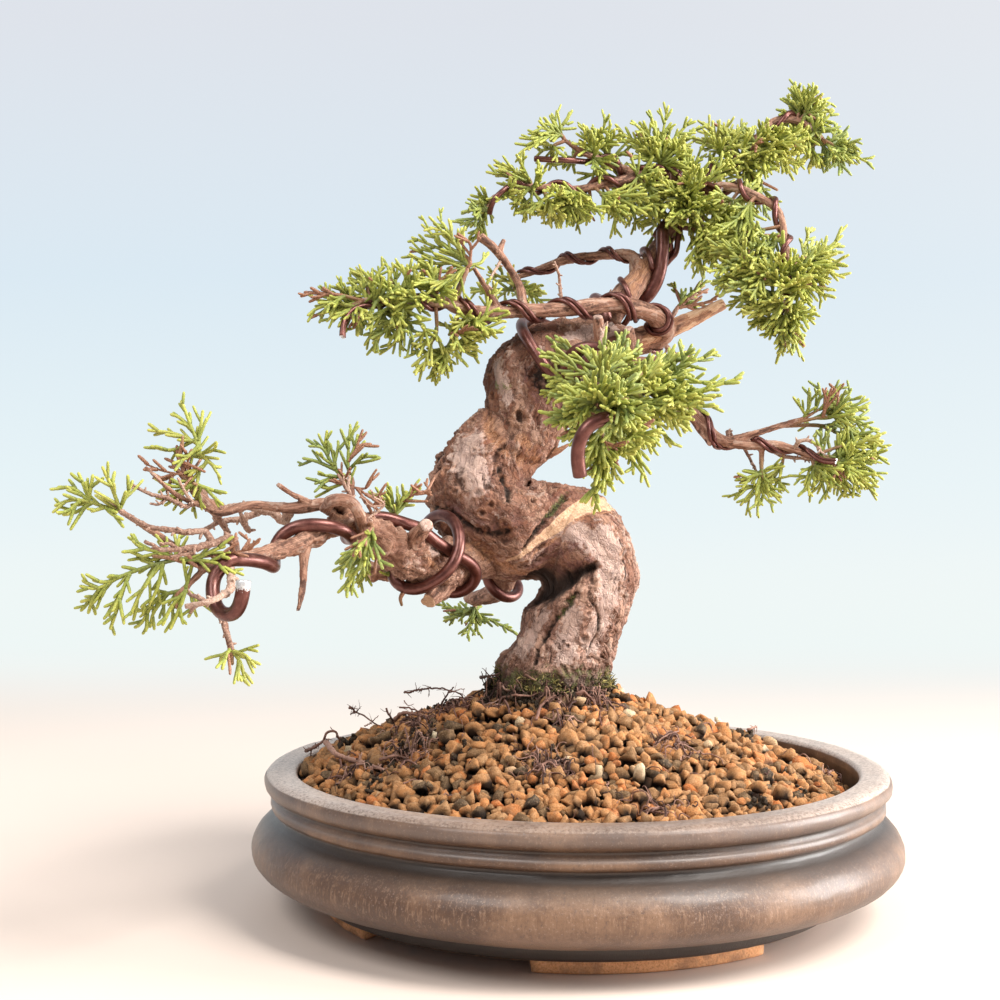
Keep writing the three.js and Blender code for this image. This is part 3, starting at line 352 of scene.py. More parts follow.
# Each leafy spray: the limb it sits on, its root, and the tips of its main shoots
sprays = {
    "left_top": (
        "leftUpper", [-118, -92, 154],
        [[-118, -96, 167], [-125, -102, 159], [-110, -84, 159], [-119, -84, 163]],
    ),
    "left_side": ("leftUpper", [-113, -93, 143], [[-126, -104, 146], [-121, -102, 136], [-108, -82, 149]]),
    "left_tip": (
        "leftLower", [-132, -104, 135],
        [[-153, -100, 140], [-148, -114, 134], [-138, -98, 149], [-130, -94, 147]],
    ),
    "left_low": (
        "leftLower", [-116, -108, 122],
        [[-141, -112, 114], [-137, -122, 106], [-129, -101, 126], [-129, -114, 133], [-117, -98, 138]],
    ),
    "left_under": (
        "leftLower", [-115, -107, 113],
        [[-126, -116, 101], [-119, -102, 99], [-113, -94, 98], [-98, -118, 115]],
    ),
    "left_hang": (
        "leftLower", [-102, -104, 97],
        [[-99, -108, 86], [-105, -98, 88], [-94, -109, 93], [-107, -107, 91]],
    ),
    "left_tuft": (
        "left", [-72, -62, 143], [[-76, -66, 161], [-86, -74, 152], [-66, -52, 157], [-80, -54, 147]],
    ),
    "left_front": ("left", [-66, -72, 131], [[-71, -77, 111], [-61, -81, 118], [-74, -82, 121]]),
    "left_drop": ("left", [-58, -36, 108], [[-54, -38, 99], [-63, -30, 102], [-51, -29, 104]]),
    "left_bud": ("left", [-60, -44, 133], [[-52, -40, 142], [-64, -50, 141], [-62, -36, 140]]),
    "mid_tip": (
        "midLeft", [-74, -26, 204], [[-90, -31, 201], [-87, -23, 209], [-76, -35, 189], [-82, -17, 203]],
    ),
    "mid_crest": (
        "midLeft", [-62, -24, 209], [[-78, -17, 217], [-69, -29, 218], [-61, -10, 220], [-51, -31, 214]],
    ),
    "mid_under": ("midLeft", [-61, -25, 200], [[-66, -34, 186], [-58, -17, 189], [-52, -36, 193]]),
    "mid_long": (
        "midLeft", [-37, -22, 217],
        [[-58, -16, 233], [-60, -28, 219], [-47, -12, 235], [-34, -28, 228], [-52, -25, 228]],
    ),
    "mid_low": (
        "midLeft", [-38, -20, 196], [[-53, -14, 183], [-42, -29, 182], [-27, -22, 189], [-25, -12, 196]],
    ),
    "up_left": (
        "upLeft", [-21, 42, 219],
        [[-36, 45, 220], [-27, 55, 215], [-30, 33, 226], [-5, 38, 212], [-10, 54, 217]],
    ),
    "crown_hook": ("crownLeft", [-31, 5, 241], [[-41, 2, 234], [-34, 11, 231], [-37, -6, 239]]),
    "crown_edge": ("crownLeft", [-16, 9, 254], [[-27, 5, 257], [-22, 17, 254], [-20, -3, 258]]),
    "crown_tip": ("crownTop", [-5, 13, 271], [[-19, 9, 264], [-14, 7, 273], [-10, 20, 274], [-1, 17, 277]]),
    "crown_top": ("crownTop", [9, 20, 265], [[13, 16, 277], [5, 28, 275], [18, 10, 270], [1, 8, 270]]),
    "crown_low": ("crownLeft", [-2, 12, 246], [[-12, 5, 239], [-2, 22, 239], [6, 3, 239], [-11, -4, 245]]),
    "crown_mid": (
        "crownLeft", [33, 26, 262],
        [[22, 17, 276], [32, 24, 281], [20, 35, 273], [44, 24, 277], [47, 38, 279]],
    ),
    "crown_under": ("crownLeft", [22, 21, 252], [[13, 13, 241], [24, 26, 238], [32, 12, 243]]),
    "crown_face": ("trunk", [42, 25, 246], [[30, 6, 252], [35, 1, 236], [50, 5, 245], [42, 7, 257]]),
    "crown_core": ("trunk", [44, 25, 238], [[39, 5, 222], [50, 8, 219], [58, 3, 231], [47, -5, 229]]),
    "crown_back": (
        "trunk", [45, 37, 249], [[37, 59, 260], [52, 63, 253], [62, 58, 263], [44, 52, 270], [40, 54, 246]],
    ),
    "right_lift": ("crownRight", [62, 40, 269], [[55, 35, 280], [66, 50, 283], [50, 51, 277]]),
    "right_face": (
        "crownRight", [73, 39, 273], [[61, 29, 266], [72, 25, 256], [86, 33, 262], [84, 25, 272]],
    ),
    "right_peak": ("crownRight", [88, 47, 287], [[91, 43, 294], [99, 53, 294], [84, 54, 293]]),
    "right_tip": (
        "crownRight", [99, 46, 274], [[115, 46, 268], [101, 38, 266], [103, 54, 284], [108, 54, 274]],
    ),
    "right_low": ("crownRight", [68, 38, 265], [[66, 33, 248], [79, 44, 250], [63, 50, 258]]),
    "drop_face": ("crownDrop", [63, 11, 245], [[49, -1, 232], [61, -8, 226], [53, 5, 222]]),
    "drop_inner": (
        "crownDrop", [71, 3, 230], [[56, -9, 220], [50, -3, 213], [63, -12, 210], [61, -17, 229]],
    ),
    "drop_right": (
        "crownDrop", [77, -2, 221],
        [[94, 1, 230], [92, -9, 218], [84, 9, 235], [87, -5, 211], [82, 10, 218]],
    ),
    "drop_low": (
        "crownDrop", [74, -4, 204],
        [[66, -9, 199], [66, 2, 207], [80, -12, 200], [73, -4, 189], [79, 3, 193]],
    ),
    "front_left": ("front", [1, -99, 165], [[-12, -102, 158], [-11, -107, 168], [-6, -94, 154]]),
    "front_top": ("front", [4, -82, 172], [[-11, -86, 182], [-1, -73, 184], [6, -88, 182], [16, -72, 185]]),
    "front_right": ("front", [10, -77, 172], [[42, -70, 183], [30, -83, 177], [24, -62, 185]]),
    "front_wide": ("front", [11, -82, 168], [[42, -78, 173], [37, -87, 164], [31, -71, 159]]),
    "front_hang": ("front", [3, -101, 159], [[1, -103, 138], [7, -96, 143], [-3, -106, 147]]),
    "front_low": ("front", [9, -88, 162], [[13, -91, 147], [21, -85, 155], [18, -74, 151]]),
    "far_right": (
        "right", [88, 6, 153],
        [[112, 6, 153], [111, 12, 143], [107, -3, 164], [97, 1, 141], [100, 18, 148]],
    ),
    "far_upper": ("rightUpper", [80, 8, 167], [[91, 8, 179], [103, 15, 180], [84, -5, 174], [105, 0, 173]]),
    "right_under": ("right", [67, 9, 151], [[59, 5, 138], [69, 14, 137], [72, 1, 143], [81, 13, 143]]),
    "back_low": (
        "backLow", [-36, 61, 96],
        [[-54, 72, 97], [-46, 79, 89], [-36, 79, 94], [-39, 50, 86], [-20, 54, 88]],
    ),
    "jin_back": ("midLeft", [38, 20, 208], [[37, 30, 218], [48, 35, 218], [51, 23, 211]]),
}

# Wires: each turn rides on a limb, at a distance along it, an angle in degrees and in places a lift off the
# bark; "start" and "end" hang free. A wire "with" another one replaces the same node.
wires = {
    "wire_left": {
        "radius": 2,
        "start": [
            [-95, -122, 117], [-95.5, -122, 112], [-98, -119, 107.6], [-102, -115.5, 107.4],
            [-105, -112, 110.5], [-106, -108.5, 116], [-104.5, -105, 121],
        ],
        "turns": [
            ("leftLower", 44, -10), ("leftLower", 33, -60), ("leftLower", 28, -180),
            ("leftLower", 22, -280), ("leftLower", 12, -355), ("leftLower", 3, -430), ("left", 73, -520),
            ("left", 64, -610), ("left", 50, -650), ("left", 38, -680), ("left", 20, -745),
            ("left", 24, -810), ("left", 28, -900, 1), ("left", 26, -965, 6), ("left", 34, -1005, 8),
            ("left", 40, -1045, 5), ("left", 43, -1085, 2), ("left", 46, -1150), ("left", 44, -1240),
            ("backLow", 24, 20), ("backLow", 34, -90), ("backLow", 40, -180), ("backLow", 46, -300),
            ("backLow", 54, -400),
        ],
    },
    "wire_mid": {
        "radius": 1.6, "double": True,
        "turns": [
            ("midLeft", 19, 60), ("midLeft", 30, 360), ("midLeft", 136, 2410), ("midLeft", 144, 2520),
        ],
        "end": [[-77, -30, 199], [-78, -32, 196], [-78, -33, 192]],
    },
    "wire_up_left": {
        "radius": 1.3, "double": True,
        "turns": [
            ("upLeft", 6, 60), ("upLeft", 15, 360), ("upLeft", 31, 720), ("upLeft", 47, 1080),
            ("upLeft", 54, 1200),
        ],
    },
    "wire_front": {
        "radius": 2,
        "start": [
            [-4, -108, 145], [-5, -110, 151], [-4, -112, 156], [-2, -112, 159], [2, -111, 161],
            [6, -107, 162],
        ],
        "turns": [("front", 97, 330), ("front", 78, 640), ("front", 28, 1600)],
        "end": [
            [-7.5, -19, 180], [-12, -18, 184.5], [-16, -14.5, 190.5], [-18, -8, 195.5], [-16.5, 0, 199],
            [-11, 7, 200], [-4, 13, 198.5], [2, 17, 195],
        ],
    },
    "wire_top": {
        "radius": 2.4,
        "turns": [
            ("trunk", 238, -25), ("trunk", 228, 30), ("trunk", 217, 85), ("trunk", 210, 140),
            ("trunk", 206, 200), ("trunk", 202, 260), ("trunk", 196, 320), ("trunk", 190, 370),
        ],
    },
    "wire_right": {
        "radius": 1.4, "double": True,
        "turns": [("right", 30, -120), ("right", 58, 360), ("right", 80, 720), ("right", 92, 960)],
        "end": [[87, 0, 152], [91, -3, 152]],
    },
    "wire_crown_left": {
        "radius": 1, "turns": [("crownLeft", 8, 60), ("crownLeft", 76, 1560)],
        "end": [[-22, 2, 250], [-25, -1, 247], [-29, -2, 243], [-30, 1, 239]],
    },
    "wire_crown_right": {
        "radius": 1, "turns": [("crownRight", 10, 0), ("crownRight", 34, -420), ("crownRight", 62, -960)],
    },
    "wire_crown_drop": {"radius": 1, "turns": [("crownDrop", 8, 0), ("crownDrop", 74, 1500)]},
    "wire_stem": {
        "radius": 1.1, "with": "wire_top",
        "turns": [
            ("crownLeft", 12, 90), ("crownLeft", 3, 0), ("trunk", 238, 300), ("trunk", 228, 640),
            ("trunk", 216, 950), ("trunk", 204, 1130), ("trunk", 194, 1260),
        ],
    },
    "wire_fork": {
        "radius": 1.1, "with": "wire_top",
        "turns": [
            ("crownDrop", 16, 40), ("crownDrop", 5, -60), ("trunk", 236, 60), ("trunk", 226, 110),
            ("trunk", 214, 150), ("trunk", 206, 230),
        ],
    },
    "wire_tip": {
        "radius": 1.1, "with": "wire_crown_left",
        "turns": [
            ("crownLeft", 8, 240), ("crownLeft", 19, 480), ("crownTop", 4, 600), ("crownTop", 20, 1000),
        ],
        "end": [[-1.8, 12, 260.4], [-8, 12, 260.6], [-14, 13, 261.2]],
    },
}


# shader graphs written as expressions
class Link:
    def __init__(self, graph, socket):
        self.graph, self.socket = graph, socket

    def maths(self, operation, *values):
        inputs = dict(enumerate(values))
        return self.graph.add("Math", {"operation": operation}, inputs)

    def __add__(self, other):
        return self.maths("ADD", self, other)

    def __radd__(self, other):
        return self.maths("ADD", other, self)

    def __sub__(self, other):
        return self.maths("SUBTRACT", self, other)

    def __rsub__(self, other):
        return self.maths("SUBTRACT", other, self)

    def __mul__(self, other):
        return self.maths("MULTIPLY", self, other)

    def __rmul__(self, other):
        return self.maths("MULTIPLY", other, self)

    def atLeast(self, other):
        return self.maths("MAXIMUM", self, other)

    def atMost(self, other):
        return self.maths("MINIMUM", self, other)

    def step(self, low, high):
        ends = {"Value": self, "From Min": low, "From Max": high}
        return self.graph.add("MapRange", {"interpolation_type": "SMOOTHSTEP"}, ends)

    def stretched(self, x, y, z):
        return self.graph.add("VectorMath", {"operation": "MULTIPLY"}, {0: self, 1: (x, y, z)})

    def shifted(self, other):
        return self.graph.add("VectorMath", {"operation": "ADD"}, {0: self, 1: other})


class Graph:
    def __init__(self, name):
        self.material = bpy.data.materials.new(name)
        self.material.use_nodes = True
        self.nodes = self.material.node_tree.nodes
        self.nodes.clear()

    def add(self, kind, settings=None, inputs=None, output=0):
        node = self.nodes.new("ShaderNode" + kind)
        for key, value in (settings or {}).items():
            if key == "stops":
                ramp = node.color_ramp.elements
                ramp.remove(ramp[1])
                ramp[0].position, ramp[0].color = value[0][0], (*value[0][1], 1)
                for place, colour in value[1:]:
                    ramp.new(place).color = (*colour, 1)
            else:
                setattr(node, key, value)
        for key, value in (inputs or {}).items():
            if isinstance(value, Link):
                self.material.node_tree.links.new(value.socket, node.inputs[key])
            else:
                node.inputs[key].default_value = value
        return Link(self, node.outputs[output]) if node.outputs else None

    def place(self):
        # the spot on the object, in millimetres
        spot = self.add("TexCoord", output="Object")
        return spot.stretched(1000, 1000, 1000)

    def value(self, name):
        return self.add("Attribute", {"attribute_name": name}, output="Fac")

    def vector(self, name):
        return self.add("Attribute", {"attribute_name": name}, output="Vector")

    def noise(self, vector, scale, detail=3.0, roughness=0.55, output=0):
        ends = {"Vector": vector, "Scale": scale, "Detail": detail, "Roughness": roughness}
        return self.add("TexNoise", {}, ends, output)

    def cells(self, vector, scale, feature="F1", output="Distance"):
        return self.add("TexVoronoi", {"feature": feature}, {"Vector": vector, "Scale": scale}, output)

    def ramp(self, value, stops):
        return self.add("ValToRGB", {"stops": stops}, {0: value})

    def mix(self, share, first, second):
        first, second = [(*c, 1) if isinstance(c, tuple) else c for c in (first, second)]
        return self.add("Mix", {"data_type": "RGBA"}, {0: share, 6: first, 7: second}, 2)

    def part(self, vector, axis):
        return self.add("SeparateXYZ", {}, {0: vector}, axis)

    def bump(self, height, strength, distance):
        ends = {"Strength": strength, "Distance": distance * 0.001, "Height": height}
        return self.add("Bump", {}, ends)

    def finish(self, **inputs):
        names = {
            "colour": "Base Color", "roughness": "Roughness", "metallic": "Metallic", "coat": "Coat Weight",
            "coatRoughness": "Coat Roughness", "normal": "Normal", "specular": "Specular IOR Level",
        }
        surface = self.add("BsdfPrincipled", {}, {names[key]: value for key, value in inputs.items()})
        self.add("OutputMaterial", {}, {"Surface": surface})
        return self.material


# wood: trunk, limbs, stubs and twigs as one grown piece
woodStyle = {
    "ringStep": 1.0, "voxel": 0.45, "smoothing": 3, "sideWidth": 1.2, "sidesRange": (8, 48),
    "twist": 0.025, "flowLength": 0.2, "flowApart": 31.7, "warp": 1.7, "thickGirth": 12.0,
    "swell": 1.6, "burl": 0.7, "gnarl": 1.5, "fibre": 0.62, "plate": 0.34, "fine": 0.09, "crack": 0.6,
    "flake": 0.3, "twigRadii": (1.25, 0.9), "sittingReach": 4.0, "coreShare": 0.3,
    "looseKnots": 34, "looseKnotRadii": (0.7, 1.7), "knotGirth": 6.0, "knotLow": 80.0,
    "cutStubs": [0, 1, 2, 3, 4, 9, 10], "paleStubs": [2, 3], "cutLength": 0.7, "tornFrom": 14.0,
    "soilLine": (77.5, 83.5), "cameraReach": (380, 680, 6), "nearestAtOnce": 4000,
}

# Marks on the bark, as pixels of the photograph that are carried on to the wood:
# what it is, its route, the half width at its two ends and how deep it is sunk
# marks that darken cracks, hollows and the fold under the bulge are painted shade
barkMarks = [
    (
        "cream",
        [
            (606, 503), (597, 502), (586, 504), (574, 512), (562, 522), (548, 534), (536, 543), (522, 553),
            (508, 562),
        ],
        (4.8, 0.8), 0.5,
    ),
    (
        "orange",
        [(612, 512), (600, 511), (588, 513), (576, 522), (562, 534), (548, 546), (534, 554), (516, 563)],
        (0.8, 0.5), 0.3,
    ),
    (
        "dark", [(566, 496), (558, 505), (551, 513), (545, 521), (538, 530), (531, 538), (522, 549)],
        (1.3, 0.8), 2.0,
    ),
    ("moss", [(566, 495), (558, 504), (550, 513), (544, 519)], (1.5, 1.0), 0.0),
    ("fold", [(530, 590), (544, 586), (557, 582), (570, 577), (582, 571), (596, 566)], (6.4, 1.4), 4.6),
    # maroon bark, with painted shade on the underside of the bulge beside the fold
    ("maroon", [(512, 580), (530, 580), (548, 577), (562, 573), (576, 566)], (5.0, 2.6), 0.6),
    ("maroon", [(536, 563), (550, 552), (564, 546), (582, 541)], (4.2, 2.4), 0.0),
    ("maroon", [(452, 512), (470, 524), (490, 530)], (3.6, 3.0), 0.3),
    ("maroon", [(532, 372), (540, 386), (540, 398)], (5.0, 3.0), 0.6),
    ("maroon", [(570, 568), (586, 562), (600, 556)], (2.0, 1.2), 0.0),
    ("pale", [(467, 449), (470, 464), (474, 482)], (8.0, 6.0), -0.4),
    ("pale", [(566, 338), (590, 331), (614, 330)], (3.0, 3.0), -0.1),
    ("pale", [(498, 366), (503, 384), (508, 398)], (3.2, 2.6), -0.1),
    ("dark", [(334, 511), (338, 509), (342, 509)], (1.6, 1.4), 3.4),
    ("pale", [(604, 540), (612, 566), (610, 596), (600, 626), (592, 648)], (6.6, 4.6), -0.2),
    ("pale", [(562, 530), (580, 532), (596, 544)], (4.4, 4.0), -0.1),
    ("pale", [(572, 614), (570, 636), (564, 656)], (4.6, 4.4), 0.0),
    ("orange", [(628, 290), (640, 272), (652, 258)], (3.0, 3.0), 0.2),
    ("pale", [(524, 650), (532, 632), (544, 614)], (3.6, 2.6), 0.0),
    (
        "orange", [(487, 414), (489, 430), (497, 441), (508, 451), (518, 458), (528, 464), (540, 469)],
        (1.9, 2.6), 1.5,
    ),
    ("orange", [(470, 546), (486, 556), (504, 565), (524, 574), (546, 580)], (2.0, 2.6), 0.2),
    ("orange", [(520, 440), (530, 452), (536, 462)], (2.4, 1.6), 0.2),
    (
        "dark", [(436, 508), (446, 512), (456, 518), (466, 526), (478, 532), (492, 535), (508, 532)],
        (1.7, 1.0), 1.7,
    ),
    ("dark", [(500, 468), (503, 478), (508, 490), (508, 501)], (0.8, 1.0), 1.0),
    ("dark", [(536, 372), (542, 381), (549, 390)], (3.4, 3.0), 3.0),
    (
        "dark",
        [(576, 594), (569, 603), (562, 612), (556, 619), (549, 630), (543, 640), (538, 651), (536, 664)],
        (1.5, 0.8), 1.8,
    ),
    ("fold", [(546, 594), (558, 587), (572, 579)], (5.0, 2.2), 1.4),
    ("orange", [(556, 452), (563, 449), (572, 443)], (2.4, 2.4), 0.0),
    ("moss", [(572, 598), (565, 607), (557, 618)], (1.3, 1.0), 0.0),
    ("dark", [(588, 598), (596, 608), (600, 618), (599, 629), (595, 640), (590, 652)], (0.5, 0.5), 0.8),
    ("dark", [(619, 540), (622, 552), (625, 566), (624, 580)], (0.45, 0.4), 0.6),
    ("dark", [(612, 520), (619, 526), (625, 536)], (0.3, 0.3), 0.4),
    ("dark", [(424, 452), (430, 447), (437, 452)], (0.8, 0.8), 0.8),
    ("moss", [(497, 384), (504, 388), (509, 386)], (1.6, 1.2), 0.0),
    ("orange", [(338, 514), (343, 522), (348, 531), (353, 541)], (2.6, 2.2), 0.9),
    ("moss", [(300, 518), (312, 519), (324, 519)], (1.4, 1.2), 0.0),
    ("orange", [(428, 560), (436, 566), (440, 572)], (1.6, 1.2), -0.5),
    ("pale", [(452, 550), (440, 545), (432, 552)], (2.4, 2.2), 0.0),
]
# Knots: pixel and radius
barkKnots = [
    (474, 451, 1.1), (457, 492, 1.4), (478, 493, 1.7), (482, 513, 1.5), (505, 524, 1.7), (447, 472, 1.4),
    (520, 493, 1.1), (520, 418, 2.7), (493, 396, 1.7), (588, 614, 1.1), (584, 639, 1.8), (567, 646, 1.1),
    (338, 507, 3.3), (500, 450, 1.2), (553, 470, 1.2), (460, 530, 1.2), (545, 605, 1.3),
]


def traceLimb(points, facing=(0, -1, 0)):
    rows = splinePath(points, woodStyle["ringStep"])
    places, radii = rows[:, :3], np.maximum(rows[:, 3], 0.55)
    tangents = tangentsOf(places)
    fronts, sideways = framesOf(tangents, np.array(facing, float))
    return {
        "places": places, "radii": radii, "tangents": tangents, "fronts": fronts, "sideways": sideways,
        "along": distanceAlong(places),
    }


def traceStraight(start, end, radii):
    rows = np.array([[*start, radii[0]], [*end, radii[1]]])
    trace = traceLimb(rows)
    trace["fronts"], trace["sideways"] = carriedFrames(trace["tangents"])
    return trace


def nearestOnTrace(trace, point):
    distances = np.linalg.norm(trace["places"] - point, axis=1)
    i = int(np.argmin(distances))
    atEnd = trace["tangents"][i] if i == len(distances) - 1 else None
    return trace["places"][i], trace["radii"][i], distances[i], atEnd


def growTwig(limbName, root, tips):
    place, radius, distance, endTangent = nearestOnTrace(limbTraces[limbName], np.array(root, float))
    away = unit(np.array(root, float) - place)
    hasTwig = distance > radius + woodStyle["sittingReach"]
    slant = 1 if endTangent is None else np.linalg.norm(np.cross(away, endTangent))
    end = place + away * (distance if hasTwig else radius * slant)
    lean = np.mean(np.array(tips, float), axis=0) - end
    core = [end - away * 0.6, end + away * 1.8, end + away * 2.3 + lean * woodStyle["coreShare"]]
    return (traceStraight(place, end, woodStyle["twigRadii"]) if hasTwig else None), np.array(core)


limbTraces = {name: traceLimb(points, limbFacing.get(name, (0, -1, 0))) for name, points in limbs.items()}
stubTraces = [traceLimb(points) for points in stubs]
twigs = {name: growTwig(*spray) for name, spray in sprays.items()}
woodTraces = list(limbTraces.values()) + stubTraces + [twig for twig, core in twigs.values() if twig]
firstStub = len(limbTraces)


def remeshed(points, faces, voxel):
    mesh = bpy.data.meshes.new("rough")
    mesh.from_pydata(points.tolist(), [], faces)
    rough = bpy.data.objects.new("rough", mesh)
    bpy.context.scene.collection.objects.link(rough)
    skin = rough.modifiers.new("skin", "REMESH")
    skin.mode, skin.voxel_size = "VOXEL", voxel
    graph = bpy.context.evaluated_depsgraph_get()
    result = rough.evaluated_get(graph).to_mesh()
    found = np.empty(len(result.vertices) * 3, np.float32)
    result.vertices.foreach_get("co", found)
    corners = np.empty(len(result.loops), np.int32)
    result.loops.foreach_get("vertex_index", corners)
    bpy.data.objects.remove(rough)
    bpy.data.meshes.remove(mesh)
    return found.reshape(-1, 3).astype(float), corners.reshape(-1, 4)


def vertexNormals(points, quads):
    facing = np.cross(points[quads[:, 2]] - points[quads[:, 0]], points[quads[:, 3]] - points[quads[:, 1]])
    total = np.stack([
        np.bincount(quads.ravel(), np.repeat(facing[:, axis], 4), len(points)) for axis in range(3)
    ], axis=1)
    return unit(total)


def relaxed(points, quads, passes):
    here, there = np.vstack([quads[:, [0, 1]], quads[:, [1, 2]], quads[:, [2, 3]], quads[:, [3, 0]]]).T
    degree = np.bincount(here, minlength=len(points))[:, None]
    for _ in range(passes):
        sums = np.stack([np.bincount(here, points[there, axis], len(points)) for axis in range(3)], axis=1)
        points = 0.5 * points + 0.5 * sums / degree
    return points


def distanceToRoute(points, route):
    # the distance of each point to a line of points, and how far along that line, from 0 to 1
    best, share = np.full(len(points), 1e9), np.zeros(len(points))
    for i in range(len(route) - 1):
        way = route[i + 1] - route[i]
        along = np.clip((points - route[i]) @ way / max(way @ way, 1e-9), 0, 1)
        distance = np.linalg.norm(points - route[i] - along[:, None] * way, axis=1)
        closer = distance < best
        best[closer] = distance[closer]
        share[closer] = (i + along[closer]) / (len(route) - 1)
    return best, share


def pixelRay(pixel):
    middle, focal = photoCamera["middlePixel"], photoCamera["focalPixels"]
    way = unit(np.array([(pixel[0] - middle) / focal, 1.0, (middle - pixel[1]) / focal]))
    return photoCamera["place"], way


def carriedTo(tree, pixels):
    # the places where the photograph's pixels meet a surface
    found = []
    for pixel in pixels:
        start, way = pixelRay(pixel)
        hit = tree.ray_cast(Vector(start), Vector(way))[0]
        if hit is None:
            reaches = range(*woodStyle["cameraReach"])
            close = [tree.find_nearest(Vector(start + way * reach)) for reach in reaches]
            hit = min(close, key=lambda near: near[3])[0]
        found.append(np.array(hit))
    return np.array(found)


def limbSkin():
    # one closed skin round all limbs, evenly meshed and smoothed
    points, faces, count = [], [], 0
    for trace in woodTraces:
        places, radii = trace["places"], trace["radii"]
        sides = int(np.clip(2 * math.pi * radii.max() / woodStyle["sideWidth"], *woodStyle["sidesRange"]))
        shell = tubePoints(places, trace["fronts"], trace["sideways"], radii, sides, (0, 0.25))
        for rows in tubeFaces(len(places), sides):
            faces.extend((rows + count).tolist())
        points.append(shell)
        count += len(shell)
    points, quads = remeshed(np.vstack(points), faces, woodStyle["voxel"])
    return relaxed(points, quads, woodStyle["smoothing"]), quads


def placedOnLimbs(points):
    # which limb each point belongs to and where; "flow" runs along the limbs and turns slowly round them
    places, radii, fronts, sideways, along = [
        np.concatenate([trace[key] for trace in woodTraces])
        for key in ("places", "radii", "fronts", "sideways", "along")
    ]
    left = np.concatenate([trace["along"][-1] - trace["along"] for trace in woodTraces])
    owner = np.concatenate([np.full(len(trace["along"]), i) for i, trace in enumerate(woodTraces)])
    near = np.empty(len(points), int)
    atOnce = woodStyle["nearestAtOnce"]
    for start in range(0, len(points), atOnce):
        part = points[start:start + atOnce]
        gaps = (part ** 2).sum(1)[:, None] + (places ** 2).sum(1) - 2 * part @ places.T
        near[start:start + atOnce] = np.argmin(gaps / (radii ** 2 + 0.5), axis=1)
    away, girth = points - places[near], radii[near]
    along, left, owner = along[near], left[near], owner[near]
    across, beside = (away * fronts[near]).sum(1), (away * sideways[near]).sum(1)
    turn = along * woodStyle["twist"]
    flow = np.stack([
        across * np.cos(turn) - beside * np.sin(turn) + owner * woodStyle["flowApart"],
        across * np.sin(turn) + beside * np.cos(turn),
        along * woodStyle["flowLength"],
    ], axis=1)
    bulk = np.clip(girth / woodStyle["thickGirth"], 0.1, 1)
    for axis in range(2):
        flow[:, axis] += layeredNoise(points / 8, 2, 80 + axis) * woodStyle["warp"] * bulk
    return {
        "flow": flow, "girth": girth, "bulk": bulk, "along": along, "left": left, "stub": owner - firstStub,
    }


def strengthen(channels, key, weight):
    channels[key] = np.maximum(channels[key], weight)


def swellings(points, girth, bulk):
    shift = woodStyle["swell"] * bulk * layeredNoise(points / 15, 2, 3)
    shift += woodStyle["burl"] * bulk * layeredNoise(points / 5.5, 2, 9)
    gnarled = (1 - smoothStep(points[:, 0], -46, -36)) * smoothStep(girth, 1.2, 4)
    return shift + woodStyle["gnarl"] * gnarled * layeredNoise(points / 4.2, 3, 13)


def addMarks(points, tree, flow, ragged, channels):
    # colours the bark under the marks, and says how far it moves out
    shift = np.zeros(len(points))
    streaks = layeredNoise(flow / 2.2 + 5, 2, 44)
    for kind, route, width, depth in barkMarks:
        distance, share = distanceToRoute(points, carriedTo(tree, route))
        wander = 0.10 if kind in ("cream", "fold") else 0.55
        reach = (width[0] + (width[1] - width[0]) * share) * (1 + wander * ragged)
        apart = distance / np.maximum(reach, 0.1)
        weight = 1 - smoothStep(apart, 0.45, 1.2)
        if kind in ("orange", "maroon", "moss"):
            weight *= smoothStep(streaks + 0.5 * ragged, -0.45, 0.25)
        if kind == "dark":
            weight *= 0.35 + 0.65 * smoothStep(ragged + 0.5 * streaks, -0.5, 0.15)
        # cracks, hollows and the fold get painted shade
        strengthen(channels, "dark" if kind == "fold" else kind, weight)
        shift -= depth * (1 - smoothStep(apart, 0.0, 1.5))
    return shift


def addKnots(points, tree, girth, ragged, channels, stream):
    # each knot is a rim round a small hollow, darkened with painted shade
    shift = np.zeros(len(points))
    trunkPoints = np.flatnonzero((girth > woodStyle["knotGirth"]) & (points[:, 2] > woodStyle["knotLow"]))
    knots = [(carriedTo(tree, [(u, v)])[0], radius) for u, v, radius in barkKnots]
    for i in stream.choice(trunkPoints, woodStyle["looseKnots"]):
        knots.append((points[i], stream.uniform(*woodStyle["looseKnotRadii"])))
    for place, radius in knots:
        distance = np.linalg.norm(points - place, axis=1) / radius * (1 + 0.12 * ragged)
        shift += radius * (0.36 * peak(distance, 1, 0.38) - 0.3 * peak(distance, 0, 0.5))
        strengthen(channels, "dark", 0.5 * peak(distance, 0, 0.42))
        strengthen(channels, "orange", 0.35 * peak(distance, 1, 0.3))
    return shift


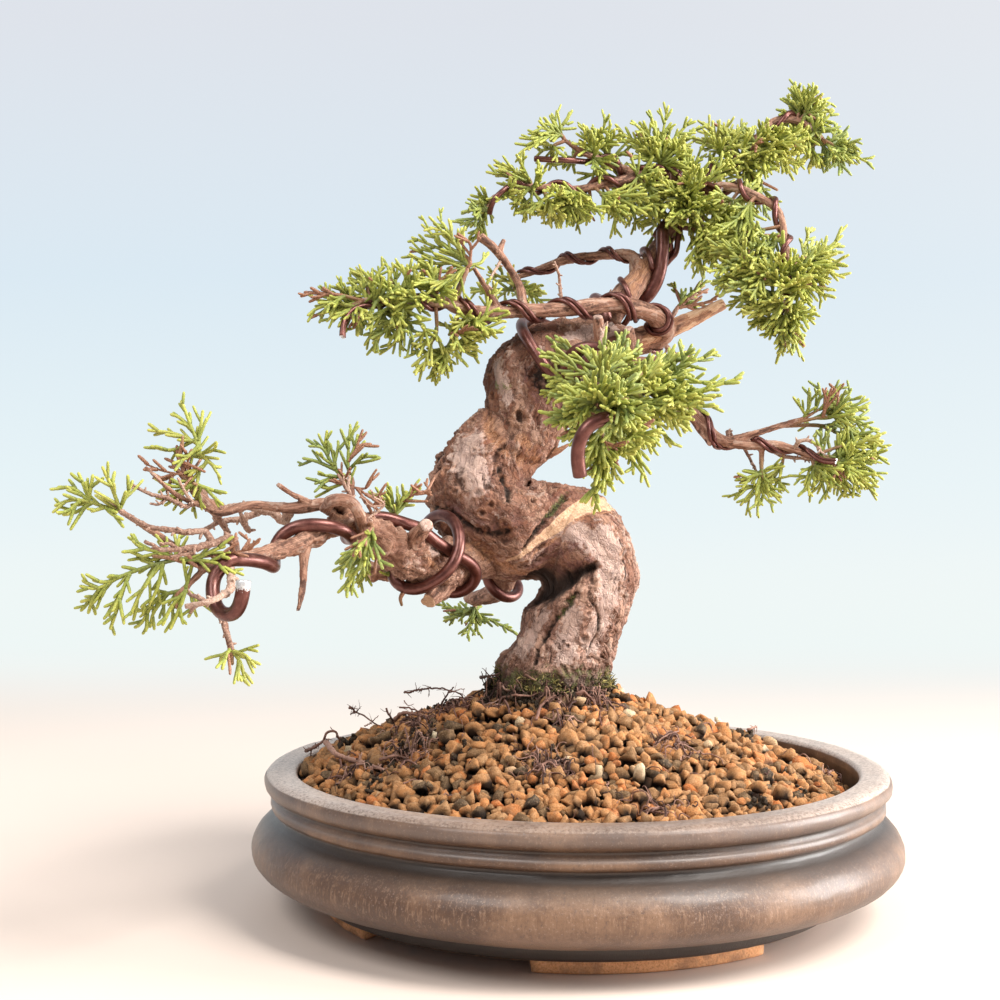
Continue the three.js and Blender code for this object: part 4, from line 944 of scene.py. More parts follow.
def barkDetail(points, flow, girth, bulk, ragged, channels):
    # fibres, flaking plates and grain, with smoother ground between them
    fibrous = 0.22 + 0.78 * smoothStep(layeredNoise(points / 13, 2, 71), -0.12, 0.30)
    fibrous = np.maximum(fibrous, 0.9 * (1 - smoothStep(girth, 3, 7)))
    flakes = smoothStep(layeredNoise(points / 3.4, 2, 73) + 0.2 * ragged, 0.06, 0.14)
    smoothBark = 1 - 0.82 * np.maximum(channels["cream"], channels["pale"])
    fibre = layeredNoise(flow / 1.9, 3, 21)
    plates = smoothStep(layeredNoise(flow / 4.2 + 7, 2, 30) + 0.25 * ragged, 0.02, 0.16)
    fine = layeredNoise(points / 0.9, 2, 50)
    broken = smoothStep(layeredNoise(flow / 7 + 3, 2, 34), -0.15, 0.25)
    cracks = (1 - smoothStep(np.abs(gradientNoise(flow / 2.6 + 11, 36)), 0.0, 0.10)) * broken
    relief = (0.5 * fibre + 0.5 * (plates - 0.5) - 0.6 * cracks) * fibrous + 0.25 * fine + 0.22 * flakes
    detail = woodStyle["fibre"] * bulk * fibre + woodStyle["plate"] * np.clip(bulk, 0.25, 1) * (plates - 0.5)
    detail -= woodStyle["crack"] * np.clip(bulk, 0.3, 1) * cracks
    detail = (detail * fibrous + woodStyle["fine"] * np.clip(2 * bulk, 0.4, 1) * fine) * smoothBark
    detail += woodStyle["flake"] * np.clip(bulk, 0.3, 1) * flakes * smoothBark
    return detail, relief, fibre


def paintEnds(points, spot, fibre, ragged, channels):
    # cut ends, torn bark on the dead branch, and moss at the foot
    stub, along = spot["stub"], spot["along"]
    isEnd = spot["left"] < woodStyle["cutLength"]
    strengthen(channels, "cream", (isEnd & np.isin(stub, woodStyle["paleStubs"])) * 0.9)
    strengthen(channels, "pale", isEnd & np.isin(stub, woodStyle["cutStubs"]))
    torn = (stub == 0) & (along > woodStyle["tornFrom"])
    strengthen(channels, "orange", torn * smoothStep(fibre + 0.3, -0.2, 0.5))
    strengthen(channels, "cream", torn * smoothStep(fibre + along / 60, 0.6, 1.0))
    low = 1 - smoothStep(points[:, 2] + 2.5 * ragged, *woodStyle["soilLine"])
    strengthen(channels, "moss", low * smoothStep(layeredNoise(points / 4, 2, 60), -0.25, 0.2))
    # the bark just above the soil is darkened as well
    strengthen(channels, "dark", 0.7 * low)


def barkMaterial():
    g = Graph("bark")
    flow, relief, girth = g.vector("flow"), g.value("relief"), g.value("girth")
    spot = g.place()
    broad = g.noise(flow.stretched(0.09, 0.09, 0.20), 1.0, 4, 0.6)
    patch = g.noise(flow.stretched(0.20, 0.20, 0.34).shifted((7, 3, 1)), 1.0, 4, 0.6)
    streak = g.noise(flow.stretched(0.9, 0.9, 0.55), 1.0, 5, 0.7)
    hair = g.noise(flow.stretched(4.0, 4.0, 1.3), 1.0, 3, 0.6)
    grain = g.noise(spot, 1.9, 4, 0.6)
    trunk = g.ramp(broad, [
        (0.28, (0.155, 0.075, 0.048)), (0.42, (0.27, 0.140, 0.090)), (0.54, (0.36, 0.205, 0.140)),
        (0.68, (0.44, 0.285, 0.215)),
    ])
    patchEdge = patch + (grain - 0.5) * 0.2
    trunk = g.mix(patchEdge.step(0.55, 0.58) * 0.6, trunk, (0.52, 0.385, 0.33))
    trunk = g.mix(patchEdge.step(0.45, 0.42) * 0.5, trunk, (0.30, 0.125, 0.062))
    peel = g.noise(spot.stretched(0.16, 0.16, 0.22).shifted((2, 9, 4)), 1.0, 5, 0.65)
    trunk = g.mix(peel.step(0.55, 0.585) * 0.55, trunk, (0.19, 0.085, 0.072))
    # the upper trunk darker and redder: partly redder bark, partly painted shade from the crown above
    trunk = g.mix(g.value("lift").step(156, 180) * 0.68, trunk, (0.150, 0.060, 0.034))
    trunk = g.mix(g.value("lift").step(122, 104) * 0.45, trunk, (0.62, 0.46, 0.39))
    twig = g.ramp(streak, [
        (0.27, (0.110, 0.055, 0.038)), (0.44, (0.33, 0.190, 0.135)), (0.57, (0.53, 0.360, 0.275)),
        (0.74, (0.72, 0.57, 0.47)),
    ])
    warp = g.noise(spot, 0.35, 3, 0.6, "Color")
    scaly = flow.stretched(0.30, 0.30, 0.75).shifted(warp.stretched(1.6, 1.6, 1.6))
    plate = g.part(g.cells(scaly, 1.0, output="Color"), 0)
    plateEdge = g.cells(scaly, 1.0, "DISTANCE_TO_EDGE")
    trunk = g.mix(plate.step(0.55, 0.85) * 0.45, trunk, (0.60, 0.45, 0.35))
    trunk = g.mix(plate.step(0.40, 0.10) * 0.45, trunk, (0.155, 0.066, 0.042))
    trunk = g.mix(plateEdge.step(0.09, 0.0) * 0.6, trunk, (0.070, 0.030, 0.020))
    colour = g.mix(girth.step(3.2, 8.0), twig, trunk)
    colour = g.mix(streak.step(0.55, 0.72) * 0.35, colour, (0.56, 0.40, 0.32))
    colour = g.mix(streak.step(0.45, 0.30) * 0.5, colour, (0.13, 0.052, 0.033))
    colour = g.mix(hair.step(0.55, 0.35) * 0.4, colour, (0.12, 0.055, 0.036))
    colour = colour.stretched(0.79, 0.66, 0.59)
    # maroon bark, partly painted shade under the bulge and beside the fold
    colour = g.mix(g.value("maroon") * (0.35 + grain.step(0.35, 0.6) * 0.4), colour, (0.17, 0.075, 0.07))
    paleEdge = (g.value("pale") + (peel - 0.5) * 1.5 + (grain - 0.5) * 0.6).step(0.18, 0.80)
    colour = g.mix(paleEdge * 0.55, colour, (0.54, 0.405, 0.35))
    lines = g.ramp(g.noise(flow.stretched(0.8, 0.8, 0.42).shifted((3, 1, 8)), 1.0, 5, 0.62), [
        (0.462, (0, 0, 0)), (0.494, (1, 1, 1)), (0.506, (1, 1, 1)), (0.538, (0, 0, 0)),
    ])
    colour = g.mix(lines * patch.step(0.60, 0.48) * 0.6, colour, (0.085, 0.036, 0.026))
    # painted shade in the low parts of the relief, and a painted highlight on its raised parts
    colour = g.mix(relief.step(-0.10, -0.60) * 0.85, colour, (0.055, 0.024, 0.016))
    colour = g.mix(relief.step(0.25, 0.65) * 0.35, colour, (0.60, 0.47, 0.39))
    amber = g.ramp(hair, [(0.3, (0.20, 0.075, 0.03)), (0.5, (0.42, 0.19, 0.085)), (0.7, (0.56, 0.32, 0.18))])
    colour = g.mix(g.value("orange") * (0.30 + hair.step(0.40, 0.60) * 0.45), colour, amber)
    fresh = g.ramp(hair, [(0.3, (0.42, 0.22, 0.12)), (0.46, (0.56, 0.345, 0.21)), (0.66, (0.66, 0.46, 0.32))])
    colour = g.mix(g.value("cream").step(0.35, 0.7), colour, fresh)
    # painted shade in cracks, hollows, knots and the fold, and a darker band at the foot
    colour = g.mix(g.value("dark") * 0.93, colour, (0.018, 0.011, 0.008))
    green = g.ramp(grain, [
        (0.35, (0.02, 0.022, 0.008)), (0.55, (0.10, 0.11, 0.03)), (0.7, (0.26, 0.26, 0.09)),
    ])
    colour = g.mix(g.value("moss") * grain.step(0.38, 0.55), colour, green)
    roughness = 0.58 + streak * 0.35 - g.value("pale") * 0.16
    height = streak * 0.5 + hair * 0.35 + grain * 0.3 + plateEdge.step(0.0, 0.14) * girth.step(3, 8) * 0.45
    normal = g.bump(height, 0.9, 0.6)
    return g.finish(colour=colour, roughness=roughness.atMost(0.95), normal=normal, specular=0.35)


def makeWood():
    points, quads = limbSkin()
    print("wood skin", len(points))
    spot = placedOnLimbs(points)
    flow, girth, bulk = spot["flow"], spot["girth"], spot["bulk"]
    channels = {key: np.zeros(len(points)) for key in ("cream", "dark", "orange", "moss", "pale", "maroon")}
    tree = BVHTree.FromPolygons(points.tolist(), quads.tolist())
    ragged = layeredNoise(points / 1.7, 2, 40)
    shift = swellings(points, girth, bulk)
    shift += addMarks(points, tree, flow, ragged, channels)
    shift += addKnots(points, tree, girth, ragged, channels, newStream(2))
    points = points + vertexNormals(points, quads) * shift[:, None]
    detail, relief, fibre = barkDetail(points, flow, girth, bulk, ragged, channels)
    points = points + vertexNormals(points, quads) * detail[:, None]
    paintEnds(points, spot, fibre, ragged, channels)
    print("wood shaped")
    values = {"flow": flow, "relief": relief, "girth": girth, "lift": points[:, 2], **channels}
    wood = buildMesh("wood", points, [quads], [barkMaterial()], values)
    finishPiece(wood, "tree")
    print("wood done")


makeWood()


# fine bare twigs, drawn as pixels: limb, then pixel and how far behind the limb in mm, and radii
fineTwigs = [
    (
        "leftUpper",
        [(222, 506, 0), (205, 500, 2), (186, 506, -4), (168, 498, -6), (150, 494, -8), (133, 485, -9)],
        (0.95, 0.45),
    ),
    ("leftUpper", [(168, 498, -6), (158, 504, -7), (150, 503, -8)], (0.5, 0.35)),
    ("leftUpper", [(192, 502, -4), (184, 490, -5), (178, 478, -6)], (0.6, 0.35)),
    (
        "left",
        [(284, 521, -3), (272, 512, -4), (256, 508, -6), (240, 506, -8), (224, 508, -9), (210, 510, -9)],
        (1.5, 0.9),
    ),
    ("left", [(258, 512, 4), (244, 518, 2), (230, 520, 0), (218, 522, -3), (203, 531, -6)], (1.25, 0.7)),
    ("left", [(200, 488, -8), (207, 500, -8), (213, 512, -8), (221, 523, -4), (229, 533, 0)], (1.05, 0.9)),
    ("left", [(249, 531, -3), (244, 522, -6), (240, 512, -8)], (1.1, 0.55)),
    (
        "leftLower",
        [(232, 540, 0), (214, 543, -4), (198, 547, -8), (178, 549, -11), (160, 549, -14), (145, 541, -16)],
        (1.5, 0.5),
    ),
    ("leftLower", [(198, 547, -8), (186, 554, -10), (170, 556, -12)], (0.7, 0.4)),
    ("leftLower", [(178, 549, -11), (168, 543, -13), (160, 545, -14)], (0.6, 0.35)),
    (
        "leftLower",
        [(205, 532, -2), (188, 532, -4), (170, 530, -6), (150, 527, -6), (134, 519, -6), (120, 511, -4)],
        (1.0, 0.55),
    ),
    ("leftLower", [(214, 602, 0), (222, 620, -2), (228, 636, -3), (233, 650, -4)], (1.0, 0.5)),
    (
        "leftLower",
        [(228, 556, 0), (231, 576, -6), (230, 590, -13), (220, 597, -20), (206, 602, -23), (186, 607, -22)],
        (1.4, 0.7),
    ),
    ("leftLower", [(204, 602, -23), (196, 596, -22), (188, 594, -20)], (0.7, 0.4)),
    ("leftLower", [(196, 605, -23), (190, 614, -22)], (0.6, 0.4)),
    ("left", [(352, 500, -8), (348, 490, -8), (349, 476, -7)], (0.8, 0.45)),
    ("left", [(352, 500, -8), (344, 484, -9), (338, 474, -8)], (0.7, 0.4)),
    ("left", [(384, 505, -6), (376, 498, -8), (371, 490, -10)], (0.4, 0.25)),
    ("left", [(384, 505, -6), (372, 506, -9), (360, 496, -11)], (0.4, 0.25)),
    ("midLeft", [(560, 286, 0), (558, 272, -2), (554, 262, -3)], (0.7, 0.4)),
    ("midLeft", [(500, 262, 2), (492, 275, 0), (488, 284, -2), (494, 290, -3)], (0.6, 0.3)),
    ("front", [(604, 352, -4), (602, 338, -6), (606, 324, -6)], (1.1, 0.7)),
    ("right", [(672, 352, -4), (682, 356, -6), (692, 357, -7)], (1.0, 0.6)),
    ("right", [(798, 442, -3), (806, 440, -4), (814, 443, -5), (822, 452, -5)], (0.8, 0.5)),
    ("right", [(768, 446, 3), (782, 456, 4), (800, 458, 3), (820, 462, 0)], (0.9, 0.5)),
    ("right", [(728, 432, 4), (742, 446, 6), (752, 462, 6), (760, 478, 4)], (0.8, 0.45)),
    ("crownDrop", [(776, 322, 0), (784, 334, -2), (786, 346, -2)], (0.7, 0.4)),
    ("crownDrop", [(812, 264, 2), (826, 262, 0), (838, 266, -2)], (0.7, 0.45)),
    ("trunk", [(616, 322, -16), (612, 306, -18), (609, 294, -18)], (1.2, 0.7)),
    ("trunk", [(604, 661, -20), (609, 656, -22), (606, 646, -24)], (0.8, 0.6)),
]
twigStyle = {
    "step": 0.55, "sides": 9, "wander": 0.25, "wanderLength": 2.2, "roughness": 0.22, "joinReach": 0.5,
    "knobFrom": 1.5, "knobPitch": 2.4, "knobLength": (0.5, 1.6), "knobProfile": (0.55, 0.5, 0.42, 0.25),
    "knobSides": 6,
}


def twigBarkMaterial():
    g = Graph("twig_bark")
    spot, tone = g.place(), g.value("tone")
    grain, broad = g.noise(spot, 1.6, 5, 0.7), g.noise(spot, 0.35, 3)
    colour = g.ramp(grain + (tone - 0.5) * 0.25, [
        (0.28, (0.090, 0.045, 0.032)), (0.45, (0.25, 0.140, 0.100)), (0.60, (0.40, 0.260, 0.195)),
        (0.76, (0.60, 0.46, 0.38)),
    ])
    colour = g.mix(broad.step(0.5, 0.65) * 0.4, colour, (0.34, 0.24, 0.19))
    normal = g.bump(grain, 0.8, 0.35)
    return g.finish(colour=colour, roughness=0.65 + grain * 0.3, normal=normal, specular=0.3)


def seenFromCamera(places):
    away = places - photoCamera["place"]
    seen = away[:, [0, 2]] / away[:, 1:2] * photoCamera["focalPixels"]
    return np.array([photoCamera["middlePixel"], photoCamera["middlePixel"]]) + seen * [1, -1]


def spotBehind(limbName, pixel, behind):
    # the place of a pixel at the depth of the part of a limb that the photograph shows nearest to it
    trace = limbTraces[limbName]
    i = int(np.argmin(np.linalg.norm(seenFromCamera(trace["places"]) - pixel, axis=1)))
    start, way = pixelRay(pixel)
    return start + way * (trace["places"][i, 1] - photoCamera["place"][1] + behind) / way[1]


def addKnob(heap, start, way, reach, size, tone):
    # a bud or a broken spur on a twig
    profile, sides = np.array(twigStyle["knobProfile"]), twigStyle["knobSides"]
    rings = len(profile)
    places = start + np.linspace(0, 1, rings)[:, None] * way * reach
    fronts, sideways = carriedFrames(tangentsOf(places))
    heap.add(
        tubePoints(places, fronts, sideways, profile * size + 0.08, sides, (0, 0.1)),
        tubeFaces(rings, sides), tone=tone,
    )


def makeFineTwigs(stream):
    heap = Heap()
    grown = np.vstack([trace["places"] for trace in woodTraces])
    for limbName, path, radii in fineTwigs:
        spots = [spotBehind(limbName, (u, v), behind) for u, v, behind in path]
        nearest = grown[np.argmin(np.linalg.norm(grown - spots[0], axis=1))]
        if np.linalg.norm(nearest - spots[0]) > twigStyle["joinReach"]:
            spots.insert(0, nearest)
        places = splinePath(spots, twigStyle["step"])
        bends = [layeredNoise(places / twigStyle["wanderLength"] + 4 * i, 2, 90 + i) for i in range(3)]
        places += twigStyle["wander"] * np.stack(bends, 1)
        tangents = tangentsOf(places)
        fronts, sideways = carriedFrames(tangents)
        sides, rings = twigStyle["sides"], len(places)
        size = np.linspace(*radii, rings)
        around = straightened(sides, 1.2, np.arange(rings) * 0.4)
        rough = 1 + twigStyle["roughness"] * layeredNoise(around + len(grown), 2, 95).reshape(rings, sides)
        tone = stream.uniform(0, 1)
        heap.add(
            tubePoints(places, fronts, sideways, size[:, None] * rough, sides, (0, radii[1] * 0.4)),
            tubeFaces(rings, sides), tone=tone,
        )
        at = twigStyle["knobFrom"]
        while at < rings * twigStyle["step"]:
            i = min(rings - 1, int(at / twigStyle["step"]))
            way = unit(np.cross(tangents[i], stream.normal(0, 1, 3)) + tangents[i] * 0.6)
            reach = stream.uniform(*twigStyle["knobLength"]) + size[i]
            addKnob(heap, places[i], way, reach, size[i], min(tone + 0.3, 1))
            at += twigStyle["knobPitch"] * stream.uniform(0.5, 1.6)
        grown = np.vstack([grown, places])
    piece = heap.build("wood_fine_twigs", [twigBarkMaterial()])
    finishPiece(piece, "tree")
    print("fine twigs done")


makeFineTwigs(newStream(4))


# training wires: a route from the turns, then drawn tight while the wood and the wire itself push it off
wireStyle = {
    "step": 1.2, "turnPitch": 3.0, "turnGirth": 5.0, "crossing": 6.0, "lift": 0.05,
    "passes": 90, "tightPasses": 0.8, "tightening": 0.35, "freeTightening": 0.05, "ownKept": 5.0,
    "easing": 0.5, "freeEasing": 0.15, "sides": 18, "thinSides": 12, "thinRadius": 1.2, "dents": 0.02,
    "strandStep": 0.9, "strandShare": 0.5, "strandGap": 0.04, "strandTrim": 3,
    "endLength": 0.35, "endRounding": [(0.30, 1.0), (0.10, 0.95), (0.0, 0.82)],
    "bareWire": "wire_left", "bareEnd": 3.4,
}


def placeBeside(trace, along, angle, distance):
    columns = np.hstack([trace["places"], trace["fronts"], trace["sideways"], trace["radii"][:, None]])
    row = np.array([np.interp(along, trace["along"], column) for column in columns.T])
    out = unit(row[3:6] * math.cos(math.radians(angle)) + row[6:9] * math.sin(math.radians(angle)))
    return row[:3] + out * (row[9] + distance)


def wireRoute(wire, distance):
    # rows of a place, and whether the wire hangs free there
    rows = [[*place, 1.0] for place in wire.get("start", ())]
    turns = wire["turns"]
    for here, there in zip(turns, turns[1:] + turns[-1:]):
        ends = [(*turn, 0)[:4] for turn in (here, there)]
        places = [placeBeside(limbTraces[turn[0]], turn[1], turn[2], distance + turn[3]) for turn in ends]
        isSame = here[0] == there[0]
        reach = wireStyle["crossing"]
        if isSame:
            turned = math.radians(abs(here[2] - there[2])) * wireStyle["turnGirth"]
            reach = math.hypot(turned, here[1] - there[1])
        steps = max(1, round(reach / wireStyle["turnPitch"])) if here is not there else 1
        for k in range(steps):
            share = k / steps
            blend = [a + (b - a) * share for a, b in zip(ends[0][1:], ends[1][1:])]
            if isSame:
                rows.append([*placeBeside(limbTraces[here[0]], blend[0], blend[1], distance + blend[2]), 0.0])
            else:
                rows.append([*(places[0] + (places[1] - places[0]) * share), 0.0])
    rows += [[*place, 1.0] for place in wire.get("end", ())]
    return splinePath(rows, wireStyle["step"])


def pushedOff(places, centres, needed):
    away = places[:, None, :] - centres[None]
    distance = np.linalg.norm(away, axis=2)
    depth = needed - distance
    worst = np.argmax(depth, axis=1)
    rows = np.arange(len(places))
    amount = np.maximum(depth[rows, worst], 0)
    return places + away[rows, worst] * (amount / np.maximum(distance[rows, worst], 1e-3))[:, None]


def seatWire(route, radius, centres, radii):
    places, free = route[:, :3], route[:, 3] > 0.5
    needed = radii + radius + wireStyle["lift"]
    kept = int(wireStyle["ownKept"] * radius / wireStyle["step"]) + 2
    index = np.arange(len(places))
    ownNeeded = np.where(np.abs(index[:, None] - index[None]) > kept, 2 * radius, 0.0)
    for turn in range(wireStyle["passes"]):
        if turn < wireStyle["passes"] * wireStyle["tightPasses"]:
            middle = (places[:-2] + places[2:]) / 2
            share = np.where(free[1:-1], wireStyle["freeTightening"], wireStyle["tightening"])[:, None]
            places = places.copy()
            places[1:-1] += (middle - places[1:-1]) * share
        places = pushedOff(places, centres, needed)
        places = (places + pushedOff(places, places, ownNeeded)) / 2
    return places


def wireMaterial():
    g = Graph("wire")
    flow, cut = g.vector("flow"), g.value("cut")
    spot = g.place()
    cloud = g.noise(spot, 0.35, 3)
    scratch = g.noise(flow.stretched(2.2, 2.2, 0.10), 1.0, 4, 0.6)
    speck = g.noise(spot, 2.2, 3, 0.7)
    colour = g.ramp(cloud, [
        (0.3, (0.088, 0.027, 0.021)), (0.5, (0.125, 0.041, 0.032)), (0.72, (0.18, 0.072, 0.056)),
    ])
    colour = g.mix(scratch.step(0.60, 0.74) * 0.5, colour, (0.55, 0.36, 0.31))
    colour = g.mix(speck.step(0.68, 0.76) * 0.7, colour, (0.62, 0.50, 0.44))
    colour = g.mix(scratch.step(0.40, 0.28) * 0.6, colour, (0.07, 0.018, 0.016))
    silver = g.ramp(speck, [(0.3, (0.55, 0.55, 0.56)), (0.7, (0.90, 0.90, 0.90))])
    worn = (cut + (speck - 0.5) * 0.9 + (scratch - 0.5) * 0.6).step(0.45, 0.62)
    colour = g.mix(worn * cut.step(0.0, 0.1), colour, silver)
    roughness = 0.27 + cloud * 0.22 + scratch.step(0.5, 0.8) * 0.2
    normal = g.bump(scratch * 0.7 + speck * 0.3, 0.35, 0.12)
    return g.finish(
        colour=colour, metallic=0.72, roughness=roughness, coat=0.25, coatRoughness=0.2, normal=normal,
    )


def strandShape(places, outs, radius, heap, bare=0.0):
    rows = splinePath(np.hstack([places, outs]), wireStyle["strandStep"])
    places, outs = rows[:, :3], rows[:, 3:]
    lengths = distanceAlong(places)
    fromEnd = np.minimum(lengths, lengths[-1] - lengths)
    keep = (fromEnd > wireStyle["endLength"]) | (fromEnd == 0)
    places, outs, lengths = places[keep], outs[keep], lengths[keep]
    # a few closer rings round off each cut end
    back, share = np.array(wireStyle["endRounding"]).T
    extra = len(back)
    first = places[0] + unit(places[1] - places[0]) * back[::-1, None]
    last = places[-1] - unit(places[-1] - places[-2]) * back[:, None]
    radii = radius * np.concatenate([share[::-1], np.ones(len(places) - 2), share])
    places = np.vstack([first, places[1:-1], last])
    outs = np.vstack([np.repeat(outs[:1], extra, 0), outs[1:-1], np.repeat(outs[-1:], extra, 0)])
    lengths = np.concatenate([np.zeros(extra), lengths[1:-1], np.full(extra, lengths[-1])])
    tangents = tangentsOf(places)
    tangents[:extra], tangents[-extra:] = tangents[extra], tangents[-extra - 1]
    outs = unit(outs - tangents * (outs * tangents).sum(1)[:, None])
    sideways = np.cross(tangents, outs)
    sides = wireStyle["sides"] if radius > wireStyle["thinRadius"] else wireStyle["thinSides"]
    dents = 1 + wireStyle["dents"] * layeredNoise(places / 5, 2, 77)
    points = tubePoints(places, outs, sideways, radii * dents, sides)
    flow = np.vstack([straightened(sides, radius, lengths), [0, 0, 0], [0, 0, lengths[-1]]])
    cut = np.zeros(len(places))
    cut[[0, -1]] = 1
    if bare:
        cut = np.maximum(cut, np.clip(1.25 - lengths / bare, 0, 1))
    cut = np.concatenate([np.repeat(cut, sides), [1, 1]])
    heap.add(points, tubeFaces(len(places), sides), flow=flow, cut=cut)


def makeWires():
    material = wireMaterial()
    centres = np.vstack([trace["places"] for trace in woodTraces])
    radii = np.concatenate([trace["radii"] for trace in woodTraces])
    for name, wire in wires.items():
        isDouble = wire.get("double", False)
        radius = wire["radius"] * (wireStyle["strandShare"] if isDouble else 1)
        route = wireRoute(wire, radius + wireStyle["lift"])
        places = seatWire(route, radius, centres, radii)
        near = np.array([np.argmin(np.linalg.norm(centres - place, axis=1) - radii) for place in places])
        outs = unit(places - centres[near])
        tangents = tangentsOf(places)
        free = route[:, 3] > 0.5
        for i in range(1, len(outs)):
            ease = wireStyle["freeEasing"] if free[i] else wireStyle["easing"]
            mixed = outs[i - 1] + (outs[i] - outs[i - 1]) * ease
            outs[i] = mixed - tangents[i] * (mixed @ tangents[i])
            outs[i] /= max(np.linalg.norm(outs[i]), 1e-6)
        heap = Heap()
        if isDouble:
            beside = unit(np.cross(tangents, outs)) * (radius + wireStyle["strandGap"])
            for side, trim in ((-1, 0), (1, wireStyle["strandTrim"])):
                strandShape((places + side * beside)[trim:], outs[trim:], radius, heap)
        else:
            bare = wireStyle["bareEnd"] if name == wireStyle["bareWire"] else 0.0
            strandShape(places, outs, radius, heap, bare)
        piece = heap.build(name + "_turned", [material])
        finishPiece(piece, wire.get("with", name))
        centres = np.vstack([centres, places])
        radii = np.concatenate([radii, np.full(len(places), wire["radius"])])
    print("wires done")


makeWires()


# foliage: scaly shoots that fork twice
leafStyle = {
    "mainRadius": 0.62, "scalePitch": 1.25, "scaleDepth": 0.06, "sides": 6, "shortest": 1.5,
    "side": {"radius": 0.57, "pitch": 2.2, "lengths": (3.0, 7.4), "from": 0.0, "ageAtBase": 0.7},
    "last": {"radius": 0.50, "pitch": 2.3, "lengths": (1.8, 4.2), "from": 1.2, "ageAtBase": 0.5},
    "spread": (26, 48), "roll": 0.7, "forkFrom": 3.6, "forkShare": 0.5, "bendShare": 0.08,
    "extraShoots": 1.35, "deadShare": 0.015,
    "drawnShare": 1.25, "drawnRadius": 0.93, "drawnDrift": 3.5, "dryRadius": 0.60,
    "stalkStep": 0.8, "stalkSides": 8, "stalkRadii": (0.8, 0.45),
    "tuftRadii": (0.7, 0.5), "tuftShare": 0.95, "tuftSunk": 0.3,
}


def leafMaterial():
    g = Graph("leaf")
    age, tone, dry = g.value("age"), g.value("tone"), g.value("dry")
    spot = g.place()
    fleck = g.noise(spot, 2.6, 3, 0.6)
    cloud = g.noise(spot, 0.09, 2)
    shade = (age + (fleck - 0.5) * 0.35).atLeast(0)
    colour = g.ramp(shade, [
        (0.0, (0.45, 0.455, 0.092)), (0.25, (0.34, 0.365, 0.062)), (0.55, (0.21, 0.247, 0.040)),
        (0.85, (0.105, 0.128, 0.026)),
    ])
    deep = g.mix(shade.step(0, 0.8), (0.22, 0.28, 0.080), (0.075, 0.115, 0.030))
    lemon = g.mix(shade.step(0, 0.9), (0.58, 0.55, 0.14), (0.32, 0.31, 0.06))
    ownTone = tone + (cloud - 0.5) * 0.5
    colour = g.mix(ownTone.step(0.42, 0.05) * 0.75, colour, deep)
    colour = g.mix(ownTone.step(0.62, 1.0) * 0.5, colour, lemon)
    brown = g.ramp(fleck, [
        (0.3, (0.13, 0.050, 0.030)), (0.5, (0.27, 0.120, 0.065)), (0.7, (0.38, 0.21, 0.13)),
    ])
    colour = g.mix(dry, colour, brown)
    roughness = 0.42 + fleck * 0.25
    normal = g.bump(fleck, 0.4, 0.15)
    return g.finish(colour=colour, roughness=roughness, normal=normal, specular=0.45)


def shootShape(heap, start, way, length, radius, ageAtTip, ageAtBase, tone, dry, bend):
    rings = max(4, int(length / (leafStyle["scalePitch"] / 2)) + 1)
    share = np.linspace(0, 1, rings)
    places = start + way * (length * share)[:, None] + bend * (share ** 2)[:, None]
    return shootAlong(heap, places, radius, ageAtTip, ageAtBase, tone, dry)


def shootAlong(heap, spine, radius, ageAtTip, ageAtBase, tone, dry):
    # three closer rings make a blunt rounded end
    back = unit(spine[-2] - spine[-1]) * radius
    places = np.vstack([spine[:-1], spine[-1] + back * np.array([[0.85], [0.38], [0.08]])])
    rings, sides = len(places), leafStyle["sides"]
    share, isOdd = np.linspace(0, 1, rings), np.arange(rings) % 2 == 1
    scale = np.where(isOdd, 1 + leafStyle["scaleDepth"], 1 - leafStyle["scaleDepth"])
    taper = np.concatenate([1.06 - 0.26 * share[:-3], [0.80, 0.62, 0.30]])
    fronts, sideways = carriedFrames(tangentsOf(places))
    age = ageAtBase + (ageAtTip - ageAtBase) * share + np.where(isOdd, -0.05, 0.08)
    heap.add(
        tubePoints(places, fronts, sideways, radius * taper * scale, sides, (0.1, radius * 0.08)),
        tubeFaces(rings, sides), age=np.concatenate([np.repeat(age, sides), [ageAtBase, ageAtTip]]),
        tone=tone, dry=dry,
    )
    return spine, tangentsOf(spine)


def fanOut(heap, places, tangents, normal, length, tone, dry, stream, level, sparse=1.0):
    # side shoots to the left and right of a shoot, turned round it a little way each
    style = leafStyle[level]
    pitch, (low, high) = style["pitch"] * sparse, style["lengths"]
    at, side = pitch * stream.uniform(0.5, 1.1) + style["from"], stream.choice([-1, 1])
    while at < length - 0.8:
        share = at / length
        i = min(len(places) - 1, int(share * (len(places) - 1)))
        beside = np.cross(tangents[i], normal) * side + normal * stream.normal(0, leafStyle["roll"])
        angle = math.radians(stream.uniform(*leafStyle["spread"]))
        way = unit(tangents[i] * math.cos(angle) + unit(beside) * math.sin(angle))
        reach = stream.uniform(low, low + (high - low) * min(1, 0.35 + 0.9 * (1 - share)))
        reach = min(reach, (length - at) * 0.8 + 2.4)
        radius = style["radius"] * stream.uniform(0.88, 1.1)
        radius *= 1 if sparse == 1 else leafStyle["drawnRadius"]
        bend = tangents[i] * reach * stream.uniform(0.05, 0.3) + stream.normal(0, 0.07, 3) * reach
        ownDry = 1.0 if stream.random() < leafStyle["deadShare"] * 0.5 else dry
        ownTone = np.clip(tone + stream.normal(0, 0.1), 0, 1)
        outer, outerTangents = shootShape(
            heap, places[i], way, reach, radius, 0.05, style["ageAtBase"], ownTone, ownDry, bend,
        )
        isForked = level == "side" and reach > leafStyle["forkFrom"]
        if isForked and stream.random() < leafStyle["forkShare"] / sparse:
            plane = unit(np.cross(way, np.cross(normal, way)))
            fanOut(heap, outer, outerTangents, plane, reach, ownTone, ownDry, stream, "last", sparse)
        at += pitch * stream.uniform(0.7, 1.35)
        side = -side


